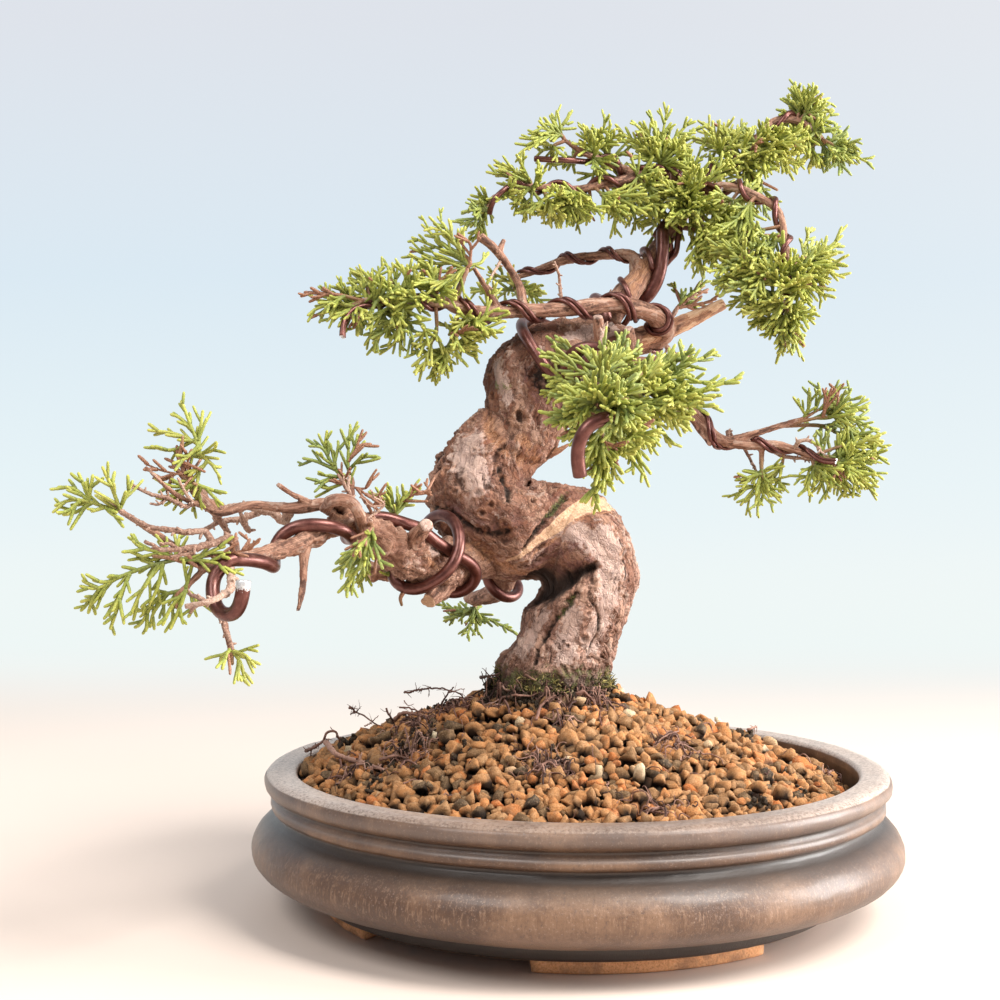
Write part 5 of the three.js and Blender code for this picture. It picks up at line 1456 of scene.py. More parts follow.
def growShoots(heap, starts, ends, tone, stream, facing):
    # main shoots with their side shoots
    for start, end in zip(starts, ends):
        way = end - start
        length = np.linalg.norm(way)
        if length < leafStyle["shortest"]:
            continue
        normal = unit(facing + stream.normal(0, 0.6, 3))
        normal = unit(normal - unit(way) * (normal @ unit(way)))
        bend = stream.normal(0, 1, 3) * length * leafStyle["bendShare"]
        dry = 1.0 if stream.random() < leafStyle["deadShare"] else 0.0
        ownTone = np.clip(tone + stream.normal(0, 0.12), 0, 1)
        radius = leafStyle["mainRadius"] * stream.uniform(0.9, 1.1)
        shoot, tangents = shootShape(heap, start, unit(way), length, radius, 0.0, 0.8, ownTone, dry, bend)
        fanOut(heap, shoot, tangents, normal, length, ownTone, dry, stream, "side")


def growStalk(heap, rows, radii, tone, brown):
    rings, sides = len(rows), leafStyle["stalkSides"]
    fronts, sideways = carriedFrames(tangentsOf(rows))
    radii = np.linspace(*radii, rings) * (1 + 0.1 * layeredNoise(rows, 2, 5))
    heap.add(
        tubePoints(rows, fronts, sideways, radii, sides, (0, 0.4)), tubeFaces(rings, sides),
        age=1, tone=tone, dry=np.concatenate([np.repeat(np.linspace(*brown, rings), sides), brown]),
    )


# More tufts between the sprays: pixel, how far behind the limb in mm, reach in mm, how many shoots, and the
# limb where it isn't the spray's own
tufts = {
    "crown_low": [
        (506, 196, -3, 8, 5), (521, 202, 5, 9, 5), (533, 188, -6, 8, 5), (548, 207, -5, 10, 6),
        (566, 203, 6, 10, 6), (578, 196, -7, 9, 5), (590, 207, 3, 10, 6), (604, 200, -7, 10, 6),
        (486, 206, 0, 7, 5),
    ],
    "crown_mid": [
        (618, 208, -6, 10, 6), (630, 196, 5, 10, 6), (640, 178, -5, 9, 6), (620, 178, 4, 8, 5),
        (594, 160, -4, 9, 6, "crownTop"), (608, 152, 4, 9, 6, "crownTop"), (600, 172, 0, 8, 5, "crownTop"),
        (572, 162, 3, 8, 5, "crownTop"), (552, 152, -3, 8, 5, "crownTop"), (648, 160, 4, 10, 7),
        (662, 150, -4, 10, 7), (654, 190, -8, 9, 6),
    ],
    "crown_face": [
        (664, 186, -10, 10, 7), (676, 170, 0, 11, 7), (690, 158, -6, 11, 7), (682, 198, -14, 10, 7),
        (664, 212, -9, 10, 6), (648, 218, -2, 9, 6), (700, 186, -12, 11, 7), (702, 206, -14, 10, 7),
        (716, 170, 2, 10, 6),
    ],
    "crown_core": [
        (692, 224, -8, 10, 7, "crownDrop"), (710, 228, -10, 11, 7, "crownDrop"),
        (724, 212, -6, 10, 6, "crownDrop"), (726, 240, -9, 11, 7, "crownDrop"),
        (742, 230, -5, 10, 6, "crownDrop"), (704, 248, -9, 10, 7, "crownDrop"),
        (738, 254, -8, 11, 7, "crownDrop"), (722, 264, -7, 10, 6, "crownDrop"),
        (744, 206, 6, 9, 6, "crownDrop"),
    ],
    "right_face": [
        (722, 150, -5, 10, 6), (736, 140, 5, 9, 6), (744, 154, -7, 10, 7), (756, 140, -7, 10, 7),
        (766, 150, 3, 10, 7), (776, 138, -7, 10, 7), (788, 150, -4, 10, 7), (798, 138, -7, 10, 7),
        (728, 168, 5, 9, 6), (748, 168, -2, 9, 6), (806, 152, 0, 9, 6), (712, 134, 4, 9, 6),
    ],
    "right_peak": [
        (796, 112, 4, 10, 7), (808, 104, -3, 9, 7), (806, 122, 4, 10, 7), (786, 124, 6, 8, 6),
        (818, 112, 2, 8, 6), (816, 130, -3, 8, 6),
    ],
    "right_tip": [(832, 146, 0, 9, 6), (846, 152, -3, 9, 6), (822, 150, 3, 8, 6)],
    "drop_face": [
        (742, 278, -6, 11, 7), (756, 266, -7, 11, 7), (772, 278, -7, 11, 7), (760, 292, -5, 11, 7),
        (778, 262, 2, 10, 6), (746, 294, 5, 9, 6),
    ],
    "drop_right": [
        (792, 272, -4, 11, 7), (806, 262, 2, 10, 6), (788, 288, -6, 11, 7), (804, 282, -2, 10, 7),
        (820, 272, 2, 9, 6), (822, 256, 0, 8, 5),
    ],
    "drop_low": [
        (772, 308, -5, 10, 6), (790, 306, 3, 10, 6), (782, 322, -4, 9, 6), (776, 334, 2, 9, 6),
        (792, 336, -2, 8, 5),
    ],
    "front_top": [
        (570, 368, 4, 10, 7), (586, 362, -4, 10, 7), (602, 370, -6, 11, 7), (618, 362, 3, 10, 6),
        (584, 384, -6, 11, 7), (606, 388, -7, 11, 7), (604, 396, -29, 8, 8), (615, 390, -32, 8, 8),
        (624, 400, -30, 8, 8), (612, 404, -24, 7, 7), (594, 400, -20, 8, 7),
    ],
    "front_left": [(566, 392, -2, 9, 6), (578, 402, -4, 9, 6), (566, 410, 2, 8, 5)],
    "front_right": [
        (634, 372, 2, 11, 7), (650, 380, -3, 11, 7), (668, 378, 2, 11, 6), (638, 392, -4, 11, 7),
        (686, 382, 1, 10, 6),
    ],
    "front_wide": [(652, 398, -2, 11, 7), (670, 400, 2, 10, 6), (692, 394, 0, 10, 6)],
    "mid_tip": [
        (330, 300, -3, 8, 4), (344, 296, 4, 9, 5), (352, 306, -5, 9, 5), (368, 292, 4, 9, 5),
        (378, 304, -6, 9, 5), (364, 312, 3, 8, 4),
    ],
    "mid_crest": [
        (388, 288, -4, 9, 5), (402, 297, 4, 9, 5), (392, 310, -5, 9, 5), (410, 284, -4, 9, 5),
        (384, 322, 2, 8, 4), (416, 302, -5, 9, 5), (428, 294, 3, 9, 4), (404, 314, -5, 8, 5),
    ],
    "mid_long": [(440, 280, -5, 9, 4), (456, 276, 3, 8, 3), (434, 300, -4, 8, 4)],
    "mid_low": [
        (430, 350, -3, 8, 4), (446, 342, -4, 9, 5), (460, 336, 3, 9, 5), (474, 326, -4, 9, 5),
        (488, 320, 2, 9, 4), (438, 362, 0, 7, 4),
    ],
    "far_right": [
        (830, 456, -3, 9, 4), (846, 456, 3, 10, 5), (856, 466, -3, 9, 5), (836, 474, 3, 9, 5),
        (820, 476, -3, 9, 4), (850, 480, 2, 9, 4), (862, 450, 0, 9, 4),
    ],
    "far_upper": [(836, 426, 3, 9, 4), (846, 416, -3, 9, 4), (848, 436, 3, 9, 4)],
    "right_under": [(764, 486, -2, 8, 4), (776, 476, 3, 8, 3)],
    "front_hang": [(598, 446, 0, 9, 6), (604, 462, -2, 8, 5)],
    "front_low": [(630, 414, 2, 10, 6), (618, 430, 2, 9, 6), (636, 440, 3, 8, 5)],
}


# Shoots of the sparse sprays, drawn as pixels; each one grows from what is nearest to its first pixel
drawnShoots = {
    "left_top": [
        [(206, 474), (199, 452), (190, 424), (181, 400)], [(201, 458), (200, 432), (203, 410)],
        [(197, 444), (175, 434), (147, 430)], [(195, 440), (172, 450), (150, 446)],
        [(203, 462), (213, 450), (217, 442)], [(205, 472), (214, 466), (222, 467)],
        [(190, 430), (180, 418), (170, 414)], [(196, 446), (186, 458), (172, 464)],
        [(203, 466), (194, 478), (184, 486)],
    ],
    "left_side": [
        [(203, 480), (190, 486), (170, 486), (154, 478)], [(196, 486), (182, 494), (164, 506)],
        [(205, 482), (212, 490), (222, 494)], [(186, 486), (176, 496), (168, 500)],
        [(200, 488), (196, 500), (192, 512)],
    ],
    "left_tip": [
        [(120, 512), (105, 507), (90, 502), (72, 500), (54, 506)], [(90, 502), (74, 489), (57, 487)],
        [(91, 501), (84, 486), (78, 472)], [(88, 501), (91, 487), (93, 474)],
        [(121, 510), (112, 488), (102, 466)], [(120, 508), (127, 494), (133, 480)],
        [(92, 503), (76, 512), (62, 515)], [(113, 490), (113, 480), (115, 471)],
        [(104, 507), (112, 514), (124, 520)], [(82, 502), (72, 508), (66, 516)],
    ],
    "left_low": [
        [(176, 560), (150, 566), (122, 576), (98, 588), (79, 586)], [(122, 576), (106, 582), (92, 580)],
        [(112, 582), (98, 596), (80, 602)], [(130, 574), (120, 596), (112, 612)],
        [(128, 590), (118, 606), (110, 630)], [(160, 564), (142, 590), (130, 616)],
        [(176, 560), (160, 552), (142, 548), (132, 540)], [(186, 560), (168, 556), (150, 560), (136, 556)],
        [(190, 558), (212, 562), (236, 574)], [(164, 562), (158, 586), (150, 604)],
        [(100, 588), (92, 602), (88, 614)], [(176, 562), (178, 545), (180, 534)],
        [(196, 556), (214, 550), (226, 546)],
    ],
    "left_under": [
        [(196, 572), (186, 590), (172, 606), (162, 626)], [(186, 590), (178, 612), (170, 630)],
        [(178, 580), (158, 598), (142, 622), (134, 628)], [(196, 578), (196, 600), (188, 618)],
        [(168, 598), (154, 612), (150, 628)], [(200, 570), (192, 560), (178, 560)],
    ],
    "left_hang": [
        [(230, 650), (226, 656), (222, 670)], [(232, 648), (240, 662), (246, 684)],
        [(232, 650), (246, 656), (256, 668)], [(238, 660), (238, 672), (242, 682)],
        [(228, 652), (222, 656), (220, 664)],
    ],
    "left_tuft": [
        [(348, 488), (336, 470), (326, 450), (327, 430)], [(349, 486), (348, 462), (350, 428)],
        [(336, 470), (318, 462), (302, 458)], [(332, 462), (322, 448), (308, 446)],
        [(349, 470), (362, 458), (378, 456)], [(349, 462), (360, 446), (372, 444)],
        [(340, 476), (326, 480), (314, 484)], [(334, 466), (338, 448), (338, 440)],
        [(349, 480), (330, 488), (318, 486)], [(350, 456), (356, 442), (358, 434)],
    ],
    "left_drop": [
        [(372, 530), (364, 548), (352, 572), (348, 592)], [(370, 536), (378, 552), (382, 566)],
        [(366, 544), (356, 556), (348, 566)], [(362, 552), (366, 570), (358, 588)],
        [(374, 536), (368, 560), (366, 582)], [(358, 564), (350, 580), (346, 590)],
    ],
    "mid_long": [
        [(470, 266), (446, 247), (421, 224)], [(468, 264), (451, 236), (437, 216)],
        [(468, 263), (440, 249), (411, 237)], [(466, 266), (434, 258), (409, 247)],
        [(457, 269), (429, 263), (407, 255)], [(466, 270), (437, 272), (418, 266)],
        [(470, 266), (459, 244), (462, 227)], [(480, 256), (470, 244), (457, 233)],
        [(460, 250), (446, 233), (429, 227)], [(462, 252), (450, 234), (442, 222)],
        [(466, 268), (448, 280), (430, 288)], [(460, 272), (440, 282), (416, 280)],
        [(470, 268), (482, 262), (484, 252)], [(466, 272), (456, 284), (452, 296)],
    ],
    "mid_crest": [
        [(384, 312), (359, 291), (348, 277)], [(387, 311), (373, 288), (384, 263)],
        [(392, 308), (396, 284), (392, 262)], [(407, 302), (409, 280), (401, 264)],
        [(416, 300), (422, 282), (412, 266)], [(380, 300), (366, 284), (356, 270)],
        [(400, 300), (388, 284), (374, 270)], [(420, 300), (432, 284), (426, 270)],
        [(396, 300), (406, 290), (416, 276)], [(380, 306), (362, 300), (350, 290)],
        [(424, 304), (438, 296), (448, 288)], [(402, 306), (394, 294), (384, 280)],
    ],
    "mid_tip": [
        [(359, 311), (334, 302), (323, 287)], [(338, 304), (318, 308), (307, 316)],
        [(334, 302), (318, 300), (310, 294)], [(362, 310), (344, 296), (338, 282)],
        [(350, 308), (336, 312), (326, 322)], [(366, 312), (352, 300), (350, 286)],
        [(372, 312), (358, 318), (344, 316)], [(366, 314), (356, 326), (348, 330)],
        [(376, 310), (366, 296), (360, 282)], [(340, 306), (330, 296), (330, 284)],
    ],
    "mid_under": [
        [(423, 313), (407, 324), (379, 333), (373, 352)], [(412, 322), (393, 344), (379, 355)],
        [(418, 322), (412, 338), (412, 355)], [(400, 322), (386, 330), (372, 344)],
        [(398, 324), (396, 340), (388, 348)], [(390, 318), (378, 326), (366, 326)],
        [(410, 316), (424, 326), (420, 344)], [(404, 318), (402, 336), (400, 350)],
        [(384, 322), (372, 334), (364, 346)],
    ],
    "mid_low": [
        [(437, 345), (429, 363), (418, 372)], [(437, 347), (434, 366), (437, 377)],
        [(438, 347), (446, 363), (450, 372)], [(440, 345), (462, 347), (479, 347)],
        [(446, 344), (468, 336), (484, 338)], [(457, 338), (479, 326), (496, 336)],
        [(466, 334), (484, 319), (507, 322)], [(460, 342), (466, 352), (478, 358)],
        [(470, 330), (488, 314), (500, 308)], [(446, 340), (456, 328), (470, 318)],
        [(434, 346), (422, 352), (412, 352)], [(478, 326), (490, 332), (504, 332)],
        [(452, 344), (458, 354), (462, 362)],
    ],
    "far_upper": [
        [(818, 418), (820, 396), (818, 382)], [(804, 420), (810, 404), (810, 391)],
        [(828, 412), (844, 400), (852, 388)], [(828, 416), (852, 408), (868, 406)],
        [(832, 420), (860, 424), (880, 430)], [(832, 412), (838, 400), (834, 386)],
        [(806, 416), (800, 406), (798, 398)], [(826, 418), (848, 416), (870, 418)],
        [(822, 414), (830, 398), (842, 384)], [(836, 420), (852, 432), (866, 436)],
    ],
    "far_right": [
        [(836, 458), (860, 452), (888, 460)], [(842, 460), (868, 468), (884, 480)],
        [(838, 464), (860, 480), (878, 496)], [(834, 466), (844, 484), (844, 496)],
        [(828, 468), (820, 484), (808, 496)], [(820, 466), (808, 476), (796, 480)],
        [(828, 470), (828, 484), (826, 498)], [(844, 456), (852, 440), (872, 432)],
        [(836, 456), (842, 440), (856, 424)], [(848, 464), (860, 474), (868, 490)],
        [(850, 460), (872, 456), (884, 448)], [(824, 462), (812, 466), (804, 486)],
        [(840, 462), (852, 478), (858, 492)], [(834, 460), (850, 462), (862, 462)],
    ],
    "right_under": [
        [(756, 480), (748, 496), (740, 506)], [(756, 480), (764, 496), (774, 506)],
        [(758, 478), (776, 480), (786, 488)], [(754, 480), (740, 492), (734, 500)],
        [(758, 476), (768, 468), (780, 464)], [(757, 482), (758, 496), (754, 508)],
        [(760, 480), (772, 490), (782, 498)],
    ],
}


# Dead brown sprigs, drawn in the same way
drySprigs = {
    "left_top": [
        [(206, 478), (192, 476), (178, 474), (160, 470), (144, 463)], [(176, 474), (164, 480), (152, 478)],
        [(204, 474), (190, 468), (180, 460), (172, 448)], [(196, 470), (188, 462), (186, 450)],
    ],
    "left_low": [
        [(236, 560), (244, 550), (246, 534)], [(244, 556), (252, 548), (254, 540)],
        [(232, 560), (234, 550), (232, 542)],
    ],
    "left_tuft": [
        [(352, 494), (366, 488), (374, 476)], [(356, 496), (372, 498), (386, 492)],
        [(350, 496), (342, 484), (340, 476)], [(354, 498), (366, 504), (380, 505)],
        [(350, 492), (346, 478), (350, 470)],
    ],
    "left_bud": [[(424, 500), (418, 492), (412, 488)], [(424, 500), (428, 490), (424, 482)]],
    "front_hang": [[(610, 440), (618, 446), (626, 444)], [(606, 446), (610, 456), (618, 460)]],
    "far_right": [[(832, 462), (842, 470), (846, 478)], [(828, 460), (836, 468), (834, 480)]],
}


def limbPlace(limbName, pixel, behind):
    # the nearest place on a limb, as the photograph sees it, and the pixel's own place beside it
    trace, spot = limbTraces[limbName], spotBehind(limbName, pixel, behind)
    place, radius, _, _ = nearestOnTrace(trace, spot)
    return place + unit(spot - place) * radius * 0.6, spot


def growDrawn(heap, rows, paths, tone, stream, facing, dryness=0.0):
    grown = rows
    for path in paths:
        nearest = int(np.argmin(np.linalg.norm(seenFromCamera(grown) - path[0], axis=1)))
        start = grown[nearest]
        depth, drift = start[1] - photoCamera["place"][1], stream.normal(0, leafStyle["drawnDrift"])
        spots = [start]
        for k, pixel in enumerate(path[1:], 1):
            eye, way = pixelRay(pixel)
            spots.append(eye + way * (depth + drift * k / len(path)) / way[1])
        places = splinePath(spots, leafStyle["scalePitch"] / 2)
        length = distanceAlong(places)[-1]
        dry = 1.0 if stream.random() < leafStyle["deadShare"] else dryness
        ownTone = np.clip(tone + stream.normal(0, 0.1), 0, 1)
        base = min(1.0, 0.35 + length / 40)
        radius = leafStyle["mainRadius"] * (leafStyle["dryRadius"] if dryness else leafStyle["drawnRadius"])
        shoot, tangents = shootAlong(heap, places, radius, 0.0, base, ownTone, dry)
        normal = unit(facing + stream.normal(0, 0.35, 3))
        normal = unit(normal - tangents[0] * (normal @ tangents[0]))
        fanOut(heap, shoot, tangents, normal, length, ownTone, dry, stream, "side", leafStyle["drawnShare"])
        grown = np.vstack([grown, places])


def growTuft(heap, base, spot, reach, count, tone, stream, facing):
    # a stalk of its own from the limb, and shoots to all sides of its end
    away = unit(spot - base)
    end = spot - away * reach * leafStyle["tuftSunk"]
    middle = base + (spot - base) * 0.55 + stream.normal(0, 0.8, 3)
    stalk = splinePath([base, middle, end], leafStyle["stalkStep"])
    growStalk(heap, stalk, leafStyle["tuftRadii"], tone, (1, 0.35))
    ends = []
    for _ in range(round(count * leafStyle["tuftShare"])):
        way = unit(stream.normal(0, 1, 3) * [1, 0.8, 1] + away * 0.9)
        ends.append(end + way * reach * stream.uniform(0.75, 1.25))
    starts = [stalk[int(stream.uniform(0.55, 1.0) * (len(stalk) - 1))] for _ in ends]
    growShoots(heap, starts, ends, np.clip(tone + stream.normal(0, 0.12), 0, 1), stream, facing)


def makeSpray(name, limbName, core, tips, stream):
    heap = Heap()
    tips = np.array(tips, float)
    rows = splinePath(core, leafStyle["stalkStep"])
    tone = stream.uniform(0.25, 0.75)
    growStalk(heap, rows, leafStyle["stalkRadii"], tone, (1, 0.7))
    facing = unit(photoCamera["place"] - rows[-1])
    if name in drawnShoots:
        growDrawn(heap, rows, drawnShoots[name], tone, stream, facing)
    if name in drySprigs:
        growDrawn(heap, rows, drySprigs[name], tone, stream, facing, 1.0)
    ends = [] if name in drawnShoots else list(tips)
    for _ in range(int(len(ends) * leafStyle["extraShoots"])):
        i, j = stream.choice(len(tips), 2)
        share = stream.uniform(0.25, 0.75)
        blend = tips[i] * share + tips[j] * (1 - share) + stream.normal(0, 2.2, 3)
        ends.append(rows[-1] + (blend - rows[-1]) * stream.uniform(0.7, 1.0))
    shares = [stream.uniform(0.25, 1.0) if k else 1.0 for k in range(len(ends))]
    starts = [rows[int(share * (len(rows) - 1))] for share in shares]
    growShoots(heap, starts, ends, tone, stream, facing)
    for u, v, behind, reach, count, *otherLimb in tufts.get(name, ()):
        base, spot = limbPlace(otherLimb[0] if otherLimb else limbName, (u, v), behind)
        growTuft(heap, base, spot, reach, count, tone, stream, facing)
    return heap


def makeFoliage():
    material = leafMaterial()
    for i, (name, (limbName, _, tips)) in enumerate(sprays.items()):
        heap = makeSpray(name, limbName, twigs[name][1], tips, newStream(100 + i))
        finishPiece(heap.build("foliage_" + name, [material]), "spray_" + name)
    print("foliage done")


makeFoliage()


# pot: one turned shell with two drain holes, and its feet
potStyle = {
    "sides": 256, "profileStep": 0.9, "closestRows": 0.12, "sway": 0.28, "wobble": 0.12,
    "footAngles": (-76.6, 13.4, 103.4, 193.4), "footHalf": 25.0, "footRadii": (72.0, 87.3), "footHeight": 4.4,
    "footPoints": 28, "footWobble": 0.12,
    "drainRadius": 9.0, "drainPlaces": ((-38.0, 0.0), (38.0, 0.0)), "drainSides": 48,
}


def arcRows(middle, radii, start, end, count):
    turn = np.radians(np.linspace(start, end, count + 1))
    return np.stack([middle[0] + radii[0] * np.cos(turn), middle[1] + radii[1] * np.sin(turn)], axis=1)


def evenProfile(rows, step):
    rows = np.array(rows)
    along = distanceAlong(rows)
    marks = np.unique(np.concatenate([np.arange(0, along[-1], step), along]).round(4))
    marks = marks[np.concatenate([[True], np.diff(marks) > potStyle["closestRows"]])]
    return np.stack([np.interp(marks, along, rows[:, i]) for i in range(2)], axis=1)


def potProfile():
    # from the middle of the underside, up the outside, over the rim and down to the floor
    runs = [
        [[70.0, 4.4], [89.0, 4.4]],
        arcRows((89.6, 5.9), (1.5, 1.5), -80, -5, 5),
        [[91.5, 7.4], [91.6, 8.4], [91.1, 9.3], [92.3, 10.1], [95.4, 10.5]],
        arcRows((94.8, 20.7), (17.0, 10.2), -74, -2, 28),
        arcRows((94.8, 20.7), (17.0, 12.6), 0, 48, 18),
        [[104.4, 31.2], [103.3, 32.4], [102.9, 33.4], [103.3, 34.1]],
        arcRows((103.9, 36.0), (1.7, 1.9), -60, 62, 10),
        [[104.0, 38.6], [103.9, 39.3], [104.3, 39.9]],
        arcRows((103.6, 43.3), (4.1, 3.6), -52, 84, 16),
        [[103.2, 47.0], [98.9, 46.75]],
        arcRows((98.4, 44.9), (1.9, 1.8), 92, 178, 8),
        [
            [96.5, 43.0], [97.6, 34.0], [99.0, 26.0], [98.5, 18.0], [95.0, 12.8], [90.0, 11.2], [80.0, 11.0],
            [70.0, 11.0],
        ],
    ]
    return evenProfile(np.vstack(runs), potStyle["profileStep"])


def glazeMaterial():
    g = Graph("glaze")
    spot = g.place()
    wall, rim, girth = g.value("wall"), g.value("rim"), g.vector("round")
    flow = g.noise(girth.stretched(0.9, 0.9, 0.14), 1.0, 5, 0.7)
    fineFlow = g.noise(girth.stretched(2.3, 2.3, 0.55), 1.0, 4, 0.7)
    cloud = g.noise(spot, 0.035, 4, 0.6)
    speck = g.noise(spot, 1.1, 5, 0.75)
    dot = g.cells(spot, 0.75)
    colour = g.ramp(cloud, [
        (0.40, (0.070, 0.031, 0.014)), (0.5, (0.110, 0.053, 0.025)), (0.60, (0.180, 0.097, 0.052)),
    ])
    streaky = flow * 0.6 + fineFlow * 0.4
    # glaze streaks, lighter in the painted sheen band
    colour = g.mix(streaky.step(0.50, 0.66) * wall * 0.6, colour, (0.31, 0.190, 0.120))
    colour = g.mix(streaky.step(0.48, 0.34) * 0.6, colour, (0.060, 0.036, 0.030))
    colour = g.mix(speck.step(0.55, 0.70) * 0.5, colour, (0.33, 0.23, 0.17))
    colour = g.mix(speck.step(0.45, 0.32) * 0.65, colour, (0.040, 0.026, 0.022))
    colour = g.mix(dot.step(0.20, 0.08) * 0.25, colour, (0.42, 0.33, 0.28))
    # painted reflection on the crests
    colour = g.mix(g.value("bluish") * 0.35, colour, (0.24, 0.22, 0.21))
    colour = g.mix(g.value("shadow") * 0.95, colour, (0.020, 0.012, 0.008))
    clay = g.ramp(speck, [(0.3, (0.16, 0.07, 0.035)), (0.6, (0.36, 0.17, 0.09))])
    colour = g.mix(g.value("bare"), colour, clay)
    # rim wear and painted sky reflection on the rim's top
    colour = g.mix(rim * speck.step(0.28, 0.6) * 0.8, colour, (0.58, 0.49, 0.43))
    colour = g.mix(g.value("edge") * speck.step(0.40, 0.55) * 0.8, colour, (0.50, 0.40, 0.33))
    roughness = 0.36 + speck * 0.30 + g.value("bare") * 0.3
    normal = g.bump(speck * 0.7 + fineFlow * 0.5, 0.7, 0.30)
    return g.finish(
        colour=colour, roughness=roughness, normal=normal, specular=0.5, coat=0.36, coatRoughness=0.28,
    )


def clayMaterial():
    g = Graph("bare_clay")
    spot = g.place()
    grain, cloud = g.noise(spot, 1.6, 5, 0.7), g.noise(spot, 0.12, 3)
    colour = g.ramp(grain, [
        (0.3, (0.46, 0.21, 0.095)), (0.5, (0.80, 0.41, 0.195)), (0.7, (0.86, 0.52, 0.30)),
    ])
    colour = g.mix(cloud.step(0.42, 0.62) * 0.5, colour, (0.17, 0.10, 0.075))
    return g.finish(colour=colour, roughness=0.85, normal=g.bump(grain, 0.6, 0.3), specular=0.3)


def shellLooks(points, radii, heights, isOutside):
    # where the glaze is worn or missing, and where painted shade, sheen and reflection lie, by the heights
    # and radii before they are made uneven
    belly = isOutside & (heights > 8.5) & (heights < 32)
    # a painted sheen band round the middle of the belly
    shine = smoothStep(heights, 12, 20) * (1 - smoothStep(heights, 27, 31.5))
    # painted reflection of the sky on the crests of the rim, the roll and the inner lip
    bluish = peak(radii, 108.3, 0.9) * (heights > 40) + peak(heights, 37.3, 0.7) * isOutside
    bluish += 0.8 * peak(radii, 97.6, 0.8) * (heights > 44)
    shadow = peak(heights, 32.8, 1.6) + 0.9 * peak(heights, 39.2, 0.7) + 0.25 * peak(heights, 40.8, 1.2)
    shadow += 0.75 * smoothStep(heights, 25, 31) * (heights < 32)
    shadow += 0.75 * (1 - smoothStep(heights, 8.6, 10.6)) + 0.4 * (1 - smoothStep(heights, 12, 22))
    shadow = np.where(isOutside, shadow, 0.35 * (heights < 43))
    bare = ((heights < 4.6) & isOutside) | (~isOutside & (heights < 20))
    return {
        "wall": np.where(belly, 0.35 + 0.65 * shine, 0.25),
        # rim wear and a painted reflection of the sky on the rim's top, weaker at the front
        "rim": (heights > 45.5) * (0.35 + 0.65 * smoothStep(points[:, 1], -102, -60)),
        "edge": peak(heights, 9.9, 0.8) * isOutside,
        "bluish": np.clip(bluish, 0, 1), "shadow": np.clip(shadow, 0, 1), "bare": bare.astype(float),
        "round": points.copy(),
    }


def makeShell():
    profile = potProfile()
    sides, rows = potStyle["sides"], len(profile)
    points = straightened(sides, 1, profile[:, 1])
    radii, heights = np.repeat(profile[:, 0], sides), points[:, 2].copy()
    points[:, :2] *= radii[:, None]
    uneven = potStyle["sway"] * layeredNoise(points / 26, 2, 12)
    uneven += potStyle["wobble"] * layeredNoise(points / 4, 2, 15)
    isOutside = np.repeat(np.arange(rows), sides) < int(np.argmax(profile[:, 1] >= 46.9)) + 6
    outer = (radii > 60)[:, None]
    points[:, :2] += np.where(outer, points[:, :2] / radii[:, None], 0) * uneven[:, None]
    points[:, 2] += np.where(heights > 46, uneven * 0.35, 0)
    return points, ringQuads(rows, sides), shellLooks(points, radii, heights, isOutside)


def basePlate(points, firstRing, lastRing):
    # flat faces across the underside and the floor of the shell, joined through two drain holes
    sides, holeSides = potStyle["sides"], potStyle["drainSides"]
    circle = onCircle(potStyle["drainRadius"], turnsRound(holeSides))
    holes = [circle + place for place in potStyle["drainPlaces"]]
    flat = np.vstack([points[firstRing, :2], *holes])
    edges, start = [], 0
    for count in (sides, holeSides, holeSides):
        edges += [(start + i, start + (i + 1) % count) for i in range(count)]
        start += count
    found = delaunay_2d_cdt([Vector(spot) for spot in flat], edges, [], 1, 1e-6)
    origins = [rows[0] for rows in found[3]]
    triangles = np.array([[origins[i] for i in face] for face in found[2]])
    middles = flat[triangles].mean(axis=1)
    for x, y in potStyle["drainPlaces"]:
        inside = np.hypot(middles[:, 0] - x, middles[:, 1] - y) < potStyle["drainRadius"] - 0.1
        triangles, middles = triangles[~inside], middles[~inside]
    corners = flat[triangles]
    ways = corners[:, 1:] - corners[:, :1]
    down = ways[:, 0, 0] * ways[:, 1, 1] - ways[:, 0, 1] * ways[:, 1, 0] > 0
    triangles[down] = triangles[down][:, ::-1]
    first = len(points)
    lower, upper = points[firstRing[0], 2], points[lastRing[0], 2]
    added = [np.hstack([np.vstack(holes), np.full((2 * holeSides, 1), level)]) for level in (lower, upper)]
    below = np.concatenate([firstRing, first + np.arange(2 * holeSides)])
    above = np.concatenate([lastRing, first + 2 * holeSides + np.arange(2 * holeSides)])
    walls = []
    for hole in range(2):
        here = hole * holeSides + np.arange(holeSides)
        there = hole * holeSides + (np.arange(holeSides) + 1) % holeSides
        walls.append(np.stack([
            first + there, first + here, first + 2 * holeSides + here, first + 2 * holeSides + there,
        ], -1))
    return np.vstack([points, *added]), [below[triangles], above[triangles[:, ::-1]], np.vstack(walls)]


def makeFoot(angle, heap):
    half, (inner, outer), height = potStyle["footHalf"], potStyle["footRadii"], potStyle["footHeight"]
    count = potStyle["footPoints"]
    levels = [(0.0, 0.5), (0.45, 0.0), (height - 0.3, 0.0), (height + 0.4, 0.0)]
    rings = []
    for level, inset in levels:
        reach = np.radians(np.linspace(-half, half, count)) * (1 - inset / outer)
        lean = (height - level) / height * 0.014
        loop = np.vstack([
            onCircle(outer - inset, reach * (1 - lean)), onCircle(inner + inset, reach[::-1] * 0.8),
        ])
        rings.append(np.hstack([loop, np.full((len(loop), 1), level)]))
    sides = 2 * count
    points = np.vstack(rings)
    wobble = [layeredNoise(points / 3, 2, 60 + i) for i in range(2)]
    points[:, :2] += potStyle["footWobble"] * np.stack(wobble, 1)
    turn = math.radians(angle)
    points = points @ [[math.cos(turn), math.sin(turn), 0], [-math.sin(turn), math.cos(turn), 0], [0, 0, 1]]
    here = np.arange(count - 1)
    flat = np.stack([here, here + 1, sides - 2 - here, sides - 1 - here], -1)
    heap.add(points, [ringQuads(len(levels), sides), flat[:, ::-1], flat + (len(levels) - 1) * sides])


